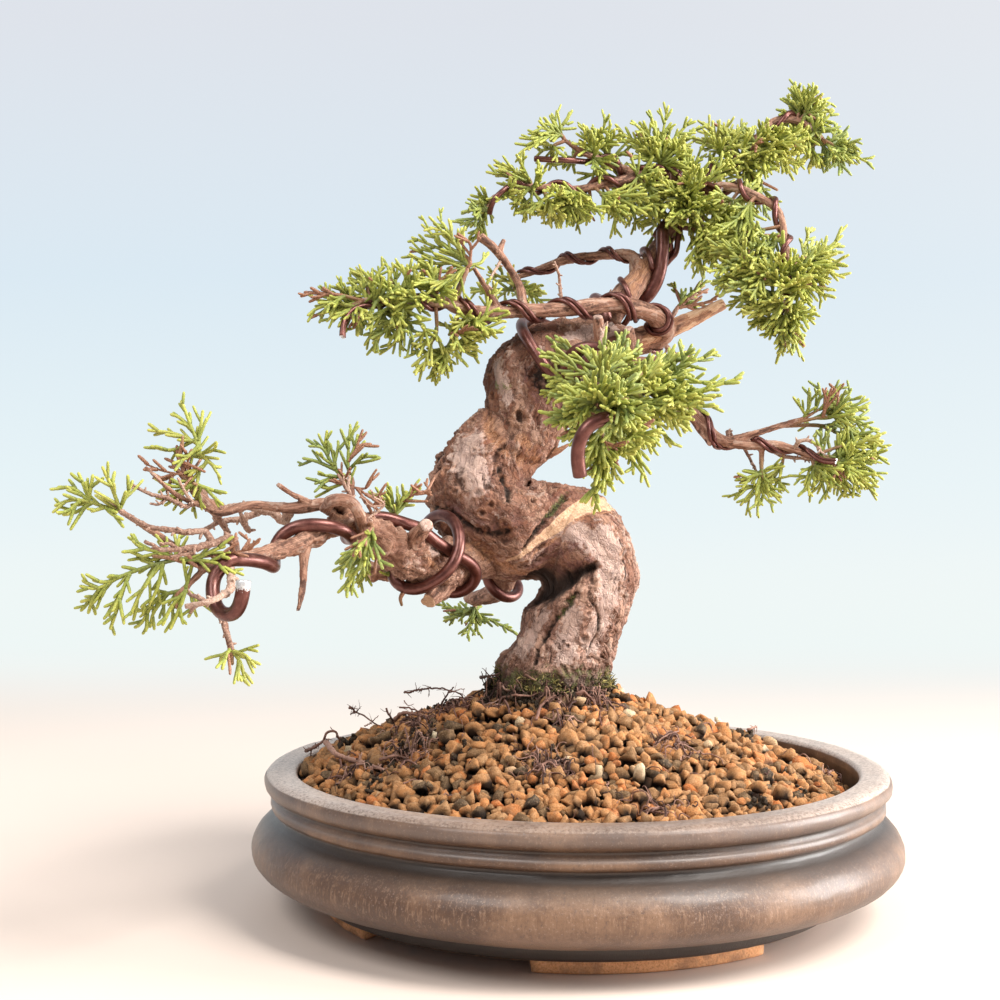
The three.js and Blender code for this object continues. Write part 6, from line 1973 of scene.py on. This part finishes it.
def makePot():
    points, quads, values = makeShell()
    sides = potStyle["sides"]
    points, plates = basePlate(points, np.arange(sides), len(points) - sides + np.arange(sides))
    more = len(points) - len(values["wall"])
    for key, value in values.items():
        values[key] = np.concatenate([value, np.full((more, *value.shape[1:]), float(key == "bare"))])
    faces = [np.vstack([quads, plates[2]]), np.vstack(plates[:2])]
    shell = buildMesh("pot_glazed", points, faces, [glazeMaterial()], values)
    finishPiece(shell, "pot")
    heap = Heap()
    for angle in potStyle["footAngles"]:
        makeFoot(angle, heap)
    feet = heap.build("pot_feet", [clayMaterial()], smooth=False)
    finishPiece(feet, "pot")
    print("pot done")


makePot()


# soil: a dark bed, grains dropped on to it, peat, roots and moss
soilStyle = {
    "peak": 81.2, "flat": 76.0, "slope": 0.375, "trunkFoot": (-8.0, 1.0), "reach": 96.0, "wall": 96.8,
    "edgeStart": 88.0, "edgeDrop": 3.2, "edgeTilt": 0.5, "cell": 0.5, "rayReach": (400, 640, 0.5),
    "bedDrop": 5.2, "bedRings": 64, "bedSides": 128, "bedSkirt": ((97.2, 30.0), (98.2, 22.0), (92.0, 11.4)),
    "grains": 4300, "grainRadii": (1.05, 3.2), "lateShare": 0.8, "lateSize": 0.8, "tries": 14,
    "trunkClear": 15.0, "patchesFrom": 1900, "shapes": 14, "presses": 10, "markedSize": 0.62,
    "grainRest": 0.55,
    "tints": (
        (0.035, 0.0, 0.10), (0.15, 0.12, 0.32), (0.54, 0.34, 0.58), (0.93, 0.55, 0.78), (0.985, 0.80, 0.90),
        (1.0, 0.93, 0.98),
    ),
    "patchPeat": 1.5, "footPeat": 700, "footPeatRing": (13, 24), "lumpPeat": 12, "peatReach": 94.5,
    "rootReach": 94.0, "clumpStep": 0.8, "strayRoots": 90, "strayReach": 88.0, "strayStep": 0.9,
    "mossShoots": 2600, "mossRing": (18.5, 1.6), "mossInside": 19.5, "mossLow": 74.0,
}


def moundHeight(x, y):
    footX, footY = soilStyle["trunkFoot"]
    height = soilStyle["peak"] - soilStyle["slope"] * np.hypot(x - footX, y - footY)
    height = np.minimum(height, soilStyle["flat"])
    edge = smoothStep(np.hypot(x, y), soilStyle["edgeStart"], soilStyle["reach"])
    return height - edge * soilStyle["edgeDrop"] * (1 + soilStyle["edgeTilt"] * (x + y) / 90)


def groundNoise(x, y, length, seed):
    spots = np.stack([x.ravel(), y.ravel(), np.zeros(x.size)], 1)
    return layeredNoise(spots / length, 2, seed).reshape(x.shape)


class HeightField:
    # the height of the soil on a grid of square cells
    def __init__(self):
        self.cell, self.half = soilStyle["cell"], 100.0
        axis = np.arange(-self.half, self.half, self.cell) + self.cell / 2
        self.x, self.y = np.meshgrid(axis, axis, indexing="ij")
        self.target = moundHeight(self.x, self.y)
        self.height = self.target - soilStyle["bedDrop"] + 0.5 * groundNoise(self.x, self.y, 6, 4)

    def index(self, x, y):
        return int((x + self.half) / self.cell), int((y + self.half) / self.cell)

    def at(self, x, y):
        i = np.clip(((np.asarray(x) + self.half) / self.cell).astype(int), 0, len(self.x) - 1)
        j = np.clip(((np.asarray(y) + self.half) / self.cell).astype(int), 0, len(self.x) - 1)
        return self.height[i, j]

    def window(self, x, y, radius):
        i, j = self.index(x, y)
        reach = int(radius / self.cell) + 1
        return slice(max(i - reach, 0), i + reach + 1), slice(max(j - reach, 0), j + reach + 1)

    def cover(self, x, y, z, radius, height):
        rows = self.window(x, y, radius)
        away = np.hypot(self.x[rows] - x, self.y[rows] - y) / radius
        top = z + height * np.sqrt(np.clip(1 - away ** 2, 0, 1))
        self.height[rows] = np.where(away < 1, np.maximum(self.height[rows], top), self.height[rows])


def icosphere(level):
    mesh = bpy.data.meshes.new("ball")
    shape = bmesh.new()
    bmesh.ops.create_icosphere(shape, subdivisions=level, radius=1)
    shape.to_mesh(mesh)
    shape.free()
    points = np.array([vertex.co for vertex in mesh.vertices])
    faces = np.array([face.vertices for face in mesh.polygons])
    bpy.data.meshes.remove(mesh)
    return points, faces


def grainShapes(stream, level):
    # rounded stones: a ball pressed flat from several sides, then worn
    points, faces = icosphere(level)
    shapes = []
    for number in range(soilStyle["shapes"]):
        shape = points.copy()
        for way in unit(stream.normal(0, 1, (soilStyle["presses"], 3))):
            depth = shape @ way
            shape -= np.maximum(depth - stream.uniform(0.34, 0.74), 0)[:, None] * way * 0.98
        shape *= (1.12 + 0.26 * layeredNoise(points * 2.1 + number * 9, 2, number))[:, None]
        shape *= stream.uniform(0.78, 1.28, 3)
        shapes.append(shape)
    return shapes, faces


def spin(stream):
    turn, _ = np.linalg.qr(stream.normal(0, 1, (3, 3)))
    return turn if np.linalg.det(turn) > 0 else -turn


def spotOnDisc(stream, reach):
    # the turn is drawn first
    turn = stream.uniform(0, 2 * math.pi)
    out = reach * math.sqrt(stream.random())
    return out * math.cos(turn), out * math.sin(turn)


def grainMaterial():
    g = Graph("grains")
    spot, tint = g.place(), g.value("tint")
    grain, cloud = g.noise(spot, 2.3, 5, 0.7), g.noise(spot, 0.55, 3)
    colour = g.ramp(tint, [
        (0.0, (0.055, 0.042, 0.030)), (0.10, (0.110, 0.072, 0.040)), (0.26, (0.20, 0.108, 0.048)),
        (0.45, (0.37, 0.190, 0.082)), (0.68, (0.49, 0.222, 0.082)), (0.86, (0.50, 0.150, 0.040)),
        (0.95, (0.55, 0.38, 0.22)), (1.0, (0.78, 0.68, 0.48)),
    ])
    colour = g.mix(cloud.step(0.50, 0.60) * 0.45, colour, g.mix(0.5, colour, (0.52, 0.34, 0.19)))
    colour = g.mix(grain.step(0.48, 0.36) * 0.6, colour, (0.10, 0.045, 0.018))
    colour = g.mix(grain.step(0.53, 0.68) * 0.45, colour, (0.66, 0.41, 0.23))
    # painted shade where a grain lies below the soil around it
    colour = g.mix(g.value("sunk") * 0.97, colour, (0.012, 0.007, 0.005))
    colour = g.mix(g.cells(spot, 1.1).step(0.20, 0.06) * 0.25, colour, (0.12, 0.045, 0.016))
    roughness = 0.72 + grain * 0.25
    normal = g.bump(grain * 0.8 + cloud * 0.3, 0.9, 0.6)
    return g.finish(colour=colour, roughness=roughness.atMost(0.97), normal=normal, specular=0.2)


def darkEarthMaterial(name):
    g = Graph(name)
    spot = g.place()
    grain, cloud = g.noise(spot, 1.8, 5, 0.75), g.noise(spot, 0.3, 3)
    colour = g.ramp(grain, [
        (0.3, (0.012, 0.009, 0.007)), (0.5, (0.045, 0.032, 0.022)), (0.7, (0.12, 0.08, 0.05)),
    ])
    colour = g.mix(cloud.step(0.55, 0.7) * 0.4, colour, (0.07, 0.065, 0.025))
    return g.finish(colour=colour, roughness=0.9, normal=g.bump(grain, 0.8, 0.5), specular=0.2)


def rootMaterial():
    g = Graph("rootlets")
    spot, tone = g.place(), g.value("tone")
    grain = g.noise(spot, 2.0, 4, 0.7)
    colour = g.ramp(tone + (grain - 0.5) * 0.5, [
        (0.1, (0.035, 0.018, 0.014)), (0.4, (0.12, 0.055, 0.04)), (0.7, (0.27, 0.145, 0.105)),
        (0.95, (0.50, 0.33, 0.26)),
    ])
    return g.finish(colour=colour, roughness=0.6 + grain * 0.3, normal=g.bump(grain, 0.5, 0.2), specular=0.35)


def mossMaterial():
    g = Graph("moss")
    spot, tone = g.place(), g.value("tone")
    grain = g.noise(spot, 1.5, 4, 0.7)
    colour = g.ramp(tone + (grain - 0.5) * 0.6, [
        (0.05, (0.02, 0.016, 0.008)), (0.35, (0.065, 0.058, 0.02)), (0.65, (0.19, 0.165, 0.05)),
        (0.95, (0.42, 0.33, 0.12)),
    ])
    return g.finish(colour=colour, roughness=0.75 + grain * 0.2, normal=g.bump(grain, 0.4, 0.2), specular=0.3)


def onMound(pixel, field, lift=0.0):
    # where the ray through a pixel meets the soil, or else passes lowest over it
    start, way = pixelRay(pixel)
    spots = start + way * np.arange(*soilStyle["rayReach"])[:, None]
    out = np.hypot(spots[:, 0], spots[:, 1])
    over = spots[:, 2] - field.at(spots[:, 0], spots[:, 1])
    met = np.flatnonzero((out < soilStyle["reach"] + 1) & (over < lift))
    return spots[met[0] if len(met) else np.argmin(np.where(out < soilStyle["reach"], over, 1e9))]


# Patches of peat that the grains leave open, and dark lumps of it: pixel and radius in mm
peatPatches = [
    (418, 748, 7.0), (404, 764, 6.0), (396, 706, 5.0), (440, 706, 6.0), (500, 706, 8.0), (520, 700, 9.0),
    (534, 712, 7.0), (380, 778, 4.5), (470, 756, 3.5), (546, 770, 4.5), (560, 690, 7.0), (584, 694, 6.0),
    (456, 712, 5.0),
]
darkLumps = [
    (348, 746, 4.4), (746, 736, 4.6), (758, 804, 4.0), (800, 790, 2.6), (372, 792, 3.0), (512, 668, 4.0),
]
# Single grains, given one by one: pixel, radius, tint
markedGrains = [
    (541, 696, 2.9, 1.0), (578, 705, 4.0, 0.95), (434, 738, 2.9, 1.0), (532, 807, 3.6, 0.0),
    (447, 745, 3.8, 0.16), (456, 732, 4.4, 0.1), (578, 806, 3.0, 0.5), (478, 714, 3.8, 0.6),
    (506, 712, 3.4, 0.66), (626, 700, 4.2, 0.62), (486, 786, 4.2, 0.5), (422, 792, 3.4, 0.07),
    (640, 800, 3.8, 0.4), (664, 766, 3.2, 0.0), (718, 718, 2.2, 1.0), (782, 796, 4.4, 0.5),
    (756, 790, 4.4, 0.6), (430, 790, 2.8, 0.06), (702, 738, 3.0, 0.02), (474, 770, 3.4, 0.55),
]


def makeBed():
    rings, sides, drop = soilStyle["bedRings"], soilStyle["bedSides"], soilStyle["bedDrop"]
    radii = np.linspace(0, 1, rings + 1)[1:] * (soilStyle["reach"] + 0.2)
    turn = turnsRound(sides)
    x, y = radii[:, None] * np.cos(turn), radii[:, None] * np.sin(turn)
    top = moundHeight(x, y) - drop + 0.7 * groundNoise(x, y, 3.5, 4)
    skirt = [np.hstack([onCircle(r, turn), np.full((sides, 1), z)]) for r, z in soilStyle["bedSkirt"]]
    middles = [[0, 0, soilStyle["flat"] - drop - 1], [0, 0, soilStyle["bedSkirt"][-1][1]]]
    points = np.vstack([np.stack([x, y, top], -1).reshape(-1, 3), *skirt, middles])
    levels, middle = rings + len(skirt), len(points) - 2
    around, beside, last = np.arange(sides), (np.arange(sides) + 1) % sides, (rings + len(skirt) - 1) * sides
    fans = np.vstack([
        np.stack([np.full(sides, middle), around, beside], -1),
        np.stack([np.full(sides, middle + 1), last + beside, last + around], -1),
    ])
    quads = ringQuads(levels, sides)[:, ::-1]
    bed = buildMesh("soil_bed", points, [quads, fans], [darkEarthMaterial("dark_earth")])
    finishPiece(bed, "soil")


def tintOf(stream):
    # rows of tints: up to which share of the grains, and the range
    pick = stream.random()
    low, high = next(tints[1:] for tints in soilStyle["tints"] if pick < tints[0])
    return stream.uniform(low, high)


def dropGrain(field, x, y, radius, squash):
    # the grain comes to rest on what lies under its middle
    reach = radius * soilStyle["grainRest"]
    rows = field.window(x, y, reach)
    near = np.hypot(field.x[rows] - x, field.y[rows] - y) < reach
    rest = field.height[rows][near].mean() if near.any() else field.height[field.index(x, y)]
    z = rest + radius * squash * soilStyle["grainRest"]
    field.cover(x, y, z, radius, radius * squash)
    return z


def scatterGrains(field, stream, patches):
    # each grain takes the spot, of several, where the mound needs it most
    footX, footY = soilStyle["trunkFoot"]
    low, high = soilStyle["grainRadii"]
    placed = []
    for number in range(soilStyle["grains"]):
        radius = low + (high - low) * stream.beta(1.7, 2.6)
        if number > soilStyle["grains"] * soilStyle["lateShare"]:
            radius *= soilStyle["lateSize"]
        best, bestNeed = None, -1e9
        for _ in range(soilStyle["tries"]):
            x, y = spotOnDisc(stream, soilStyle["reach"] - radius)
            i, j = field.index(x, y)
            need = field.target[i, j] - field.height[i, j] + stream.normal(0, 0.25)
            if number > soilStyle["patchesFrom"]:
                for patchX, patchY, patchReach in patches:
                    need -= 5 * max(0, 1 - math.hypot(x - patchX, y - patchY) / patchReach)
            if math.hypot(x - footX, y - footY) < soilStyle["trunkClear"]:
                need -= 9
            if need > bestNeed:
                best, bestNeed = (x, y), need
        squash = stream.uniform(0.72, 1.0)
        placed.append((*best, dropGrain(field, *best, radius, squash), radius, squash, tintOf(stream)))
    for u, v, radius, tint in markedGrains:
        x, y, _ = onMound((u, v), field)
        radius *= soilStyle["markedSize"]
        z = field.at(x, y) + radius * 0.35
        placed.append((x, y, z, radius, 0.9, tint))
        field.cover(x, y, z, radius, radius * 0.9)
    return placed


def makeGrains(field, stream, patches):
    # buried grains have fewer faces
    shapes, faces = grainShapes(stream, 2)
    rough, roughFaces = grainShapes(stream, 1)
    heap = Heap()
    for x, y, z, radius, squash, tint in scatterGrains(field, stream, patches):
        buried = field.at(x, y) > z + radius * squash + 1.2
        number = stream.integers(soilStyle["shapes"])
        shape = (rough if buried else shapes)[number] @ spin(stream) * radius * 1.12
        flat = spin(stream)
        if radius > 2:
            shape = (shape @ flat * np.array([1.12, 0.98, squash])) @ flat.T
        points = shape + [x, y, z]
        outside = (np.hypot(points[:, 0], points[:, 1]) - soilStyle["wall"]).max()
        if outside > 0:
            points[:, :2] -= np.array([x, y]) / np.hypot(x, y) * outside
        # painted shade on the parts of each grain that lie below the soil around it
        sunk = np.clip((field.at(points[:, 0], points[:, 1]) - points[:, 2] - 0.25) / 1.5, 0, 1)
        heap.add(points, [roughFaces if buried else faces], tint=tint, sunk=sunk)
    grains = heap.build("soil_grains", [grainMaterial()], smooth=False)
    finishPiece(grains, "soil")
    print("grains done")


def peatSpots(field, stream, patches):
    # rows of x, y and radius
    spots = []
    for x, y, reach in patches:
        for _ in range(int(reach ** 2 * soilStyle["patchPeat"])):
            awayX, awayY = spotOnDisc(stream, reach * 1.1)
            spots.append((x + awayX, y + awayY, stream.uniform(0.4, 1.1)))
    footX, footY = soilStyle["trunkFoot"]
    for _ in range(soilStyle["footPeat"]):
        turn, out = stream.uniform(0, 2 * math.pi), stream.uniform(*soilStyle["footPeatRing"])
        spots.append((footX + out * math.cos(turn), footY + out * math.sin(turn), stream.uniform(0.5, 1.4)))
    for u, v, radius in darkLumps:
        x, y, _ = onMound((u, v), field)
        for _ in range(soilStyle["lumpPeat"]):
            away = stream.normal(0, radius * 0.45, 2)
            spots.append((x + away[0], y + away[1], stream.uniform(0.2, 0.38) * radius))
    return spots


def makePeat(field, stream, patches):
    shapes, faces = grainShapes(stream, 1)
    heap = Heap()
    for x, y, radius in peatSpots(field, stream, patches):
        if math.hypot(x, y) > soilStyle["peatReach"]:
            continue
        z = min(field.at(x, y), moundHeight(x, y) + 2.5) + radius * 0.3
        field.cover(x, y, z, radius, radius * 0.7)
        shape = shapes[stream.integers(len(shapes))] @ spin(stream)
        shape = shape * radius * (1 + 0.25 * gradientNoise(shape * 2.2 + x, 8))[:, None]
        heap.add(shape + [x, y, z], [faces])
    peat = heap.build("soil_peat", [darkEarthMaterial("peat")])
    finishPiece(peat, "soil")


# Roots that stand out of the soil: pixels with the height over the soil in mm, and radius
rootPaths = [
    ([(405, 693, 6), (418, 690, 8), (434, 688, 10), (450, 690, 9), (460, 694, 5), (466, 700, 1)], 0.42),
    ([(438, 708, 0), (444, 700, 4), (448, 693, 7), (454, 687, 9)], 0.38),
    ([(448, 693, 7), (458, 690, 7), (465, 689, 6)], 0.22),
    ([(350, 707, 9), (356, 712, 7), (366, 717, 5), (374, 723, 3), (384, 728, 0)], 0.42),
    ([(350, 714, 8), (356, 712, 7), (361, 707, 9)], 0.22),
    ([(365, 726, 3), (372, 722, 3), (378, 716, 5)], 0.25),
    ([(386, 708, 9), (390, 716, 6), (394, 724, 2), (398, 736, 0)], 0.36),
    ([(394, 720, 3), (404, 713, 4), (416, 714, 4), (426, 717, 1)], 0.85),
    ([(400, 707, 7), (410, 708, 6), (420, 711, 4), (428, 713, 2), (438, 709, 2), (452, 706, 1)], 0.32),
    ([(404, 700, 8), (408, 706, 6), (414, 704, 7)], 0.2),
    ([(306, 751, 3), (316, 746, 5), (324, 740, 7), (326, 734, 8), (334, 731, 8), (340, 742, 2)], 0.62),
    ([(310, 756, 1), (313, 748, 4), (316, 743, 6)], 0.25),
    ([(326, 742, 5), (334, 752, 2), (346, 758, 1), (362, 762, 1), (374, 766, 0), (384, 770, 0)], 1.0),
    ([(338, 754, 1), (342, 768, 0), (346, 784, 0)], 0.42),
    ([(380, 760, 1), (392, 756, 2), (402, 757, 2), (412, 762, 1), (418, 766, 0)], 0.55),
    ([(400, 768, 1), (406, 760, 2), (414, 762, 1), (426, 754, 1)], 0.35),
    ([(405, 728, 2), (408, 740, 2), (410, 752, 1), (411, 758, 1)], 0.32),
    ([(424, 716, 4), (428, 724, 2), (430, 732, 1)], 0.3),
    ([(480, 677, 5), (490, 676, 5), (500, 674, 4)], 0.6),
    ([(524, 674, 5), (532, 678, 4), (538, 682, 2)], 0.45),
    ([(502, 698, 1), (516, 695, 2), (530, 696, 1), (540, 692, 2)], 0.5),
    ([(536, 720, 0), (540, 708, 1), (548, 700, 2), (556, 696, 2)], 0.6),
    ([(504, 700, 2), (510, 712, 1), (514, 722, 0)], 0.45),
    ([(576, 694, 3), (584, 692, 3), (592, 700, 2), (598, 712, 1), (602, 726, 0)], 0.5),
    ([(598, 690, 2), (608, 700, 1), (618, 704, 1), (628, 708, 0)], 0.4),
    ([(540, 768, 1), (548, 762, 2), (556, 766, 2), (562, 776, 0)], 0.4),
    ([(652, 812, 1), (660, 808, 1), (668, 814, 1), (640, 810, 0)], 0.35),
    ([(606, 652, 14), (610, 661, 13), (612, 667, 12)], 0.65),
    ([(747, 729, 3), (752, 728, 4), (757, 727, 4)], 0.4),
]
# Clumps of fine roots: pixel, reach in mm, how many
rootClumps = [
    (414, 724, 6.5, 46), (458, 704, 6.0, 40), (412, 752, 5.5, 34), (546, 766, 5.5, 60), (676, 738, 5.0, 34),
    (666, 808, 4.0, 20), (558, 700, 7.0, 34), (500, 702, 7.0, 30), (598, 696, 6.0, 26), (346, 778, 4.0, 16),
    (560, 724, 4.0, 10), (832, 776, 3.5, 12),
]


def thinTube(heap, places, radius, tone, sides, taper=0.55):
    fronts, sideways = carriedFrames(tangentsOf(places))
    share = np.linspace(0, 1, len(places))
    radii = radius * (1 - taper * share) * (1 + 0.12 * layeredNoise(places * 0.9, 2, 3))
    points = tubePoints(places, fronts, sideways, radii, sides, (0, radius * 0.4))
    heap.add(points, tubeFaces(len(places), sides), tone=tone)


def addDrawnRoot(heap, field, stream, path, radius):
    places = splinePath([onMound((u, v), field, lift) for u, v, lift in path], 0.8)
    places += 0.35 * np.stack([layeredNoise(places / 2.5 + 5 * i, 2, 70 + i) for i in range(3)], 1)
    tone = stream.uniform(0.25, 0.75)
    thinTube(heap, places, radius, tone, 8, 0.45)
    for _ in range(int(len(places) / 5)):
        i = stream.integers(1, len(places) - 1)
        way = unit(stream.normal(0, 1, 3) + [0, 0, 0.2])
        reach = stream.uniform(1.2, 4.0)
        twig = places[i] + np.linspace(0, 1, 6)[:, None] * way * reach
        twig += np.cumsum(stream.normal(0, 0.12, (6, 3)), axis=0)
        thinTube(heap, twig, radius * 0.4, tone, 5)


def addClumpRoot(heap, field, stream, x, y, reach):
    # a fine root that wanders over the soil and lifts off it here and there
    away = stream.normal(0, reach * 0.45, 2)
    spot = np.array([x, y]) + away
    turn, places = stream.uniform(0, 2 * math.pi), []
    for step in range(stream.integers(8, 18)):
        turn += stream.normal(0, 0.6)
        spot = spot + np.array([math.cos(turn), math.sin(turn)]) * soilStyle["clumpStep"]
        if np.hypot(*spot) > soilStyle["rootReach"]:
            break
        rise = math.sin(step * 0.45 + away[0]) * 0.9 + 0.9
        places.append([*spot, field.at(*spot) + rise])
    if len(places) > 4:
        places = splinePath(places, 0.6)
        places = (places + np.roll(places, 1, 0) + np.roll(places, -1, 0))[1:-1] / 3
        thinTube(heap, places, stream.uniform(0.16, 0.38), stream.uniform(0.1, 0.8), 5)


def addStrayRoot(heap, field, stream):
    spot = np.array(spotOnDisc(stream, soilStyle["strayReach"]))
    turn, places = stream.uniform(0, 2 * math.pi), []
    for _ in range(stream.integers(6, 14)):
        turn += stream.normal(0, 0.35)
        spot = spot + np.array([math.cos(turn), math.sin(turn)]) * soilStyle["strayStep"]
        if np.hypot(*spot) < soilStyle["rootReach"]:
            places.append([*spot, field.at(*spot) + 0.25])
    if len(places) > 4:
        thinTube(heap, splinePath(places, 0.6), stream.uniform(0.15, 0.3), stream.uniform(0.1, 0.7), 5)


def makeRoots(field, stream):
    heap = Heap()
    for path, radius in rootPaths:
        addDrawnRoot(heap, field, stream, path, radius)
    for u, v, reach, count in rootClumps:
        x, y, _ = onMound((u, v), field)
        for _ in range(count):
            addClumpRoot(heap, field, stream, x, y, reach)
    for _ in range(soilStyle["strayRoots"]):
        addStrayRoot(heap, field, stream)
    roots = heap.build("soil_roots", [rootMaterial()])
    finishPiece(roots, "soil")


def makeMoss(field, stream):
    # short shoots in a ring round the trunk's foot
    heap = Heap()
    footX, footY = soilStyle["trunkFoot"]
    for _ in range(soilStyle["mossShoots"]):
        turn, out = stream.uniform(0, 2 * math.pi), stream.normal(*soilStyle["mossRing"])
        if layeredNoise(np.array([[math.cos(turn) * 4, math.sin(turn) * 4, 0]]), 2, 5)[0] < -0.12:
            continue
        x, y = footX + out * math.cos(turn), footY + out * math.sin(turn)
        rise = stream.uniform(-1.0, 4.5) * (out < soilStyle["mossInside"])
        base = np.array([x, y, max(field.at(x, y), soilStyle["mossLow"]) + rise])
        way = unit(np.array([math.cos(turn), math.sin(turn), 1.0]) + stream.normal(0, 0.6, 3))
        places = base + np.linspace(0, 1, 4)[:, None] * way * stream.uniform(1.0, 3.0)
        places[:, 2] -= np.linspace(0, 1, 4) ** 2 * stream.uniform(0, 1.4)
        thinTube(heap, places, stream.uniform(0.18, 0.34), stream.uniform(0, 0.95), 4, 0.7)
    moss = heap.build("moss", [mossMaterial()])
    finishPiece(moss, "soil")


def makeSoil():
    field = HeightField()
    makeBed()
    patches = [(*onMound((u, v), field)[:2], radius) for u, v, radius in peatPatches]
    makeGrains(field, newStream(8), patches)
    makePeat(field, newStream(9), patches)
    makeRoots(field, newStream(10))
    makeMoss(field, newStream(11))
    print("soil done")


makeSoil()


# the plastic mesh over the drain holes keeps the solids' own form
def meshMaterial():
    g = Graph("screen_mesh")
    spot = g.place()
    grain = g.noise(spot, 0.8, 4, 0.6)
    colour = g.ramp(grain, [(0.3, (0.015, 0.015, 0.016)), (0.7, (0.055, 0.055, 0.058))])
    return g.finish(colour=colour, roughness=0.45 + grain * 0.3, normal=g.bump(grain, 0.3, 0.1))


screenMesh = meshMaterial()
for name in ("drain_screen_1", "drain_screen_2"):
    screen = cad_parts[name]
    screen.data.materials.clear()
    screen.data.materials.append(screenMesh)


# floor, backdrop, lights and the photograph's camera
stageStyle = {
    "width": 8.0, "floorFront": -3.0, "floorBack": 0.9, "bend": 0.7, "wallTop": 3.2, "floorDrop": 0.0002,
    "sky": (0.84, 0.88, 0.93), "skyStrength": 0.36, "lightsAim": (0, 0, 0.12),
    "lights": {
        "key": {"place": (0.85, -0.65, 1.35), "size": 0.7, "power": 38.0, "colour": (1.0, 0.965, 0.92)},
        "fill": {"place": (-0.75, -0.85, 1.25), "size": 0.7, "power": 16.0, "colour": (1.0, 0.98, 0.96)},
        "sheen": {"place": (1.1, -0.05, 0.35), "size": 0.6, "power": 24.0, "colour": (1.0, 0.98, 0.96)},
    },
}


def groundMaterial():
    # a lit floor near the pot that turns into a glowing ground further back
    g = Graph("ground")
    spot = g.add("TexCoord", output="Object")
    side, back, height = [g.part(spot, axis) for axis in range(3)]
    cloud = g.noise(spot, 3.0, 2)
    low = g.ramp(back.step(0.2, 0.95), [
        (0.0, (0.93, 0.87, 0.80)), (0.5, (0.90, 0.90, 0.87)), (1.0, (0.86, 0.93, 0.92)),
    ])
    high = g.ramp(height * 0.75, [
        (0.0, (0.87, 0.93, 0.93)), (0.12, (0.80, 0.90, 0.93)), (0.34, (0.71, 0.82, 0.90)),
        (0.62, (0.735, 0.77, 0.83)),
    ])
    colour = g.mix(height.step(0.0, 0.12), low, high)
    colour = g.mix(side.step(-0.1, 1.1) * 0.25, colour, (0.96, 0.96, 0.95))
    glow = g.add("Emission", {}, {"Color": colour, "Strength": 1.0})
    paper = g.ramp(cloud, [(0.3, (0.68, 0.57, 0.495)), (0.7, (0.71, 0.60, 0.53))])
    lit = g.add("BsdfPrincipled", {}, {"Base Color": paper, "Roughness": 0.75})
    surface = g.add("MixShader", {}, {0: back.step(0.05, 0.75), 1: lit, 2: glow})
    g.add("OutputMaterial", {}, {"Surface": surface})
    return g.material


def makeGround():
    style = stageStyle
    turn = np.radians(np.linspace(0, 90, 25))
    rows = [(style["floorFront"], 0.0)]
    rows += [(y, 0.0) for y in np.linspace(-0.5, style["floorBack"], 15)]
    back, bend = style["floorBack"], style["bend"]
    rows += [(back + bend * math.sin(t), bend * (1 - math.cos(t))) for t in turn[1:]]
    rows.append((back + bend, style["wallTop"]))
    half = style["width"] / 2
    points = [(x, y, z - style["floorDrop"]) for y, z in rows for x in (-half, half)]
    faces = [(2 * i, 2 * i + 1, 2 * i + 3, 2 * i + 2) for i in range(len(rows) - 1)]
    mesh = bpy.data.meshes.new("ground")
    mesh.from_pydata(points, [], faces)
    mesh.materials.append(groundMaterial())
    mesh.shade_smooth()
    ground = bpy.data.objects.new("ground", mesh)
    bpy.context.scene.collection.objects.link(ground)


def makeLight(name, style):
    data = bpy.data.lights.new(name, "AREA")
    data.energy, data.size, data.color = style["power"], style["size"], style["colour"]
    lamp = bpy.data.objects.new(name, data)
    lamp.location = style["place"]
    aim = Vector(stageStyle["lightsAim"]) - lamp.location
    lamp.rotation_euler = aim.to_track_quat("-Z", "Y").to_euler()
    bpy.context.scene.collection.objects.link(lamp)


def makeStage():
    makeGround()
    world = bpy.data.worlds.new("world")
    world.use_nodes = True
    sky = world.node_tree.nodes["Background"]
    sky.inputs[0].default_value = (*stageStyle["sky"], 1)
    sky.inputs[1].default_value = stageStyle["skyStrength"]
    bpy.context.scene.world = world
    for name, style in stageStyle["lights"].items():
        makeLight(name, style)


def makeCamera():
    data = bpy.data.cameras.new("photo_camera")
    data.sensor_width = photoCamera["sensorWidth"]
    data.lens = photoCamera["focalPixels"] * photoCamera["sensorWidth"] / (2 * photoCamera["middlePixel"])
    camera = bpy.data.objects.new("photo_camera", data)
    camera.location = (photoCamera["place"] + axisPlace) * 0.001
    camera.rotation_euler = (math.pi / 2, 0, 0)  # level, along +Y
    bpy.context.scene.collection.objects.link(camera)
    bpy.context.scene.camera = camera


makeStage()
makeCamera()
bpy.context.scene.view_settings.view_transform = "Standard"
print("stage done")
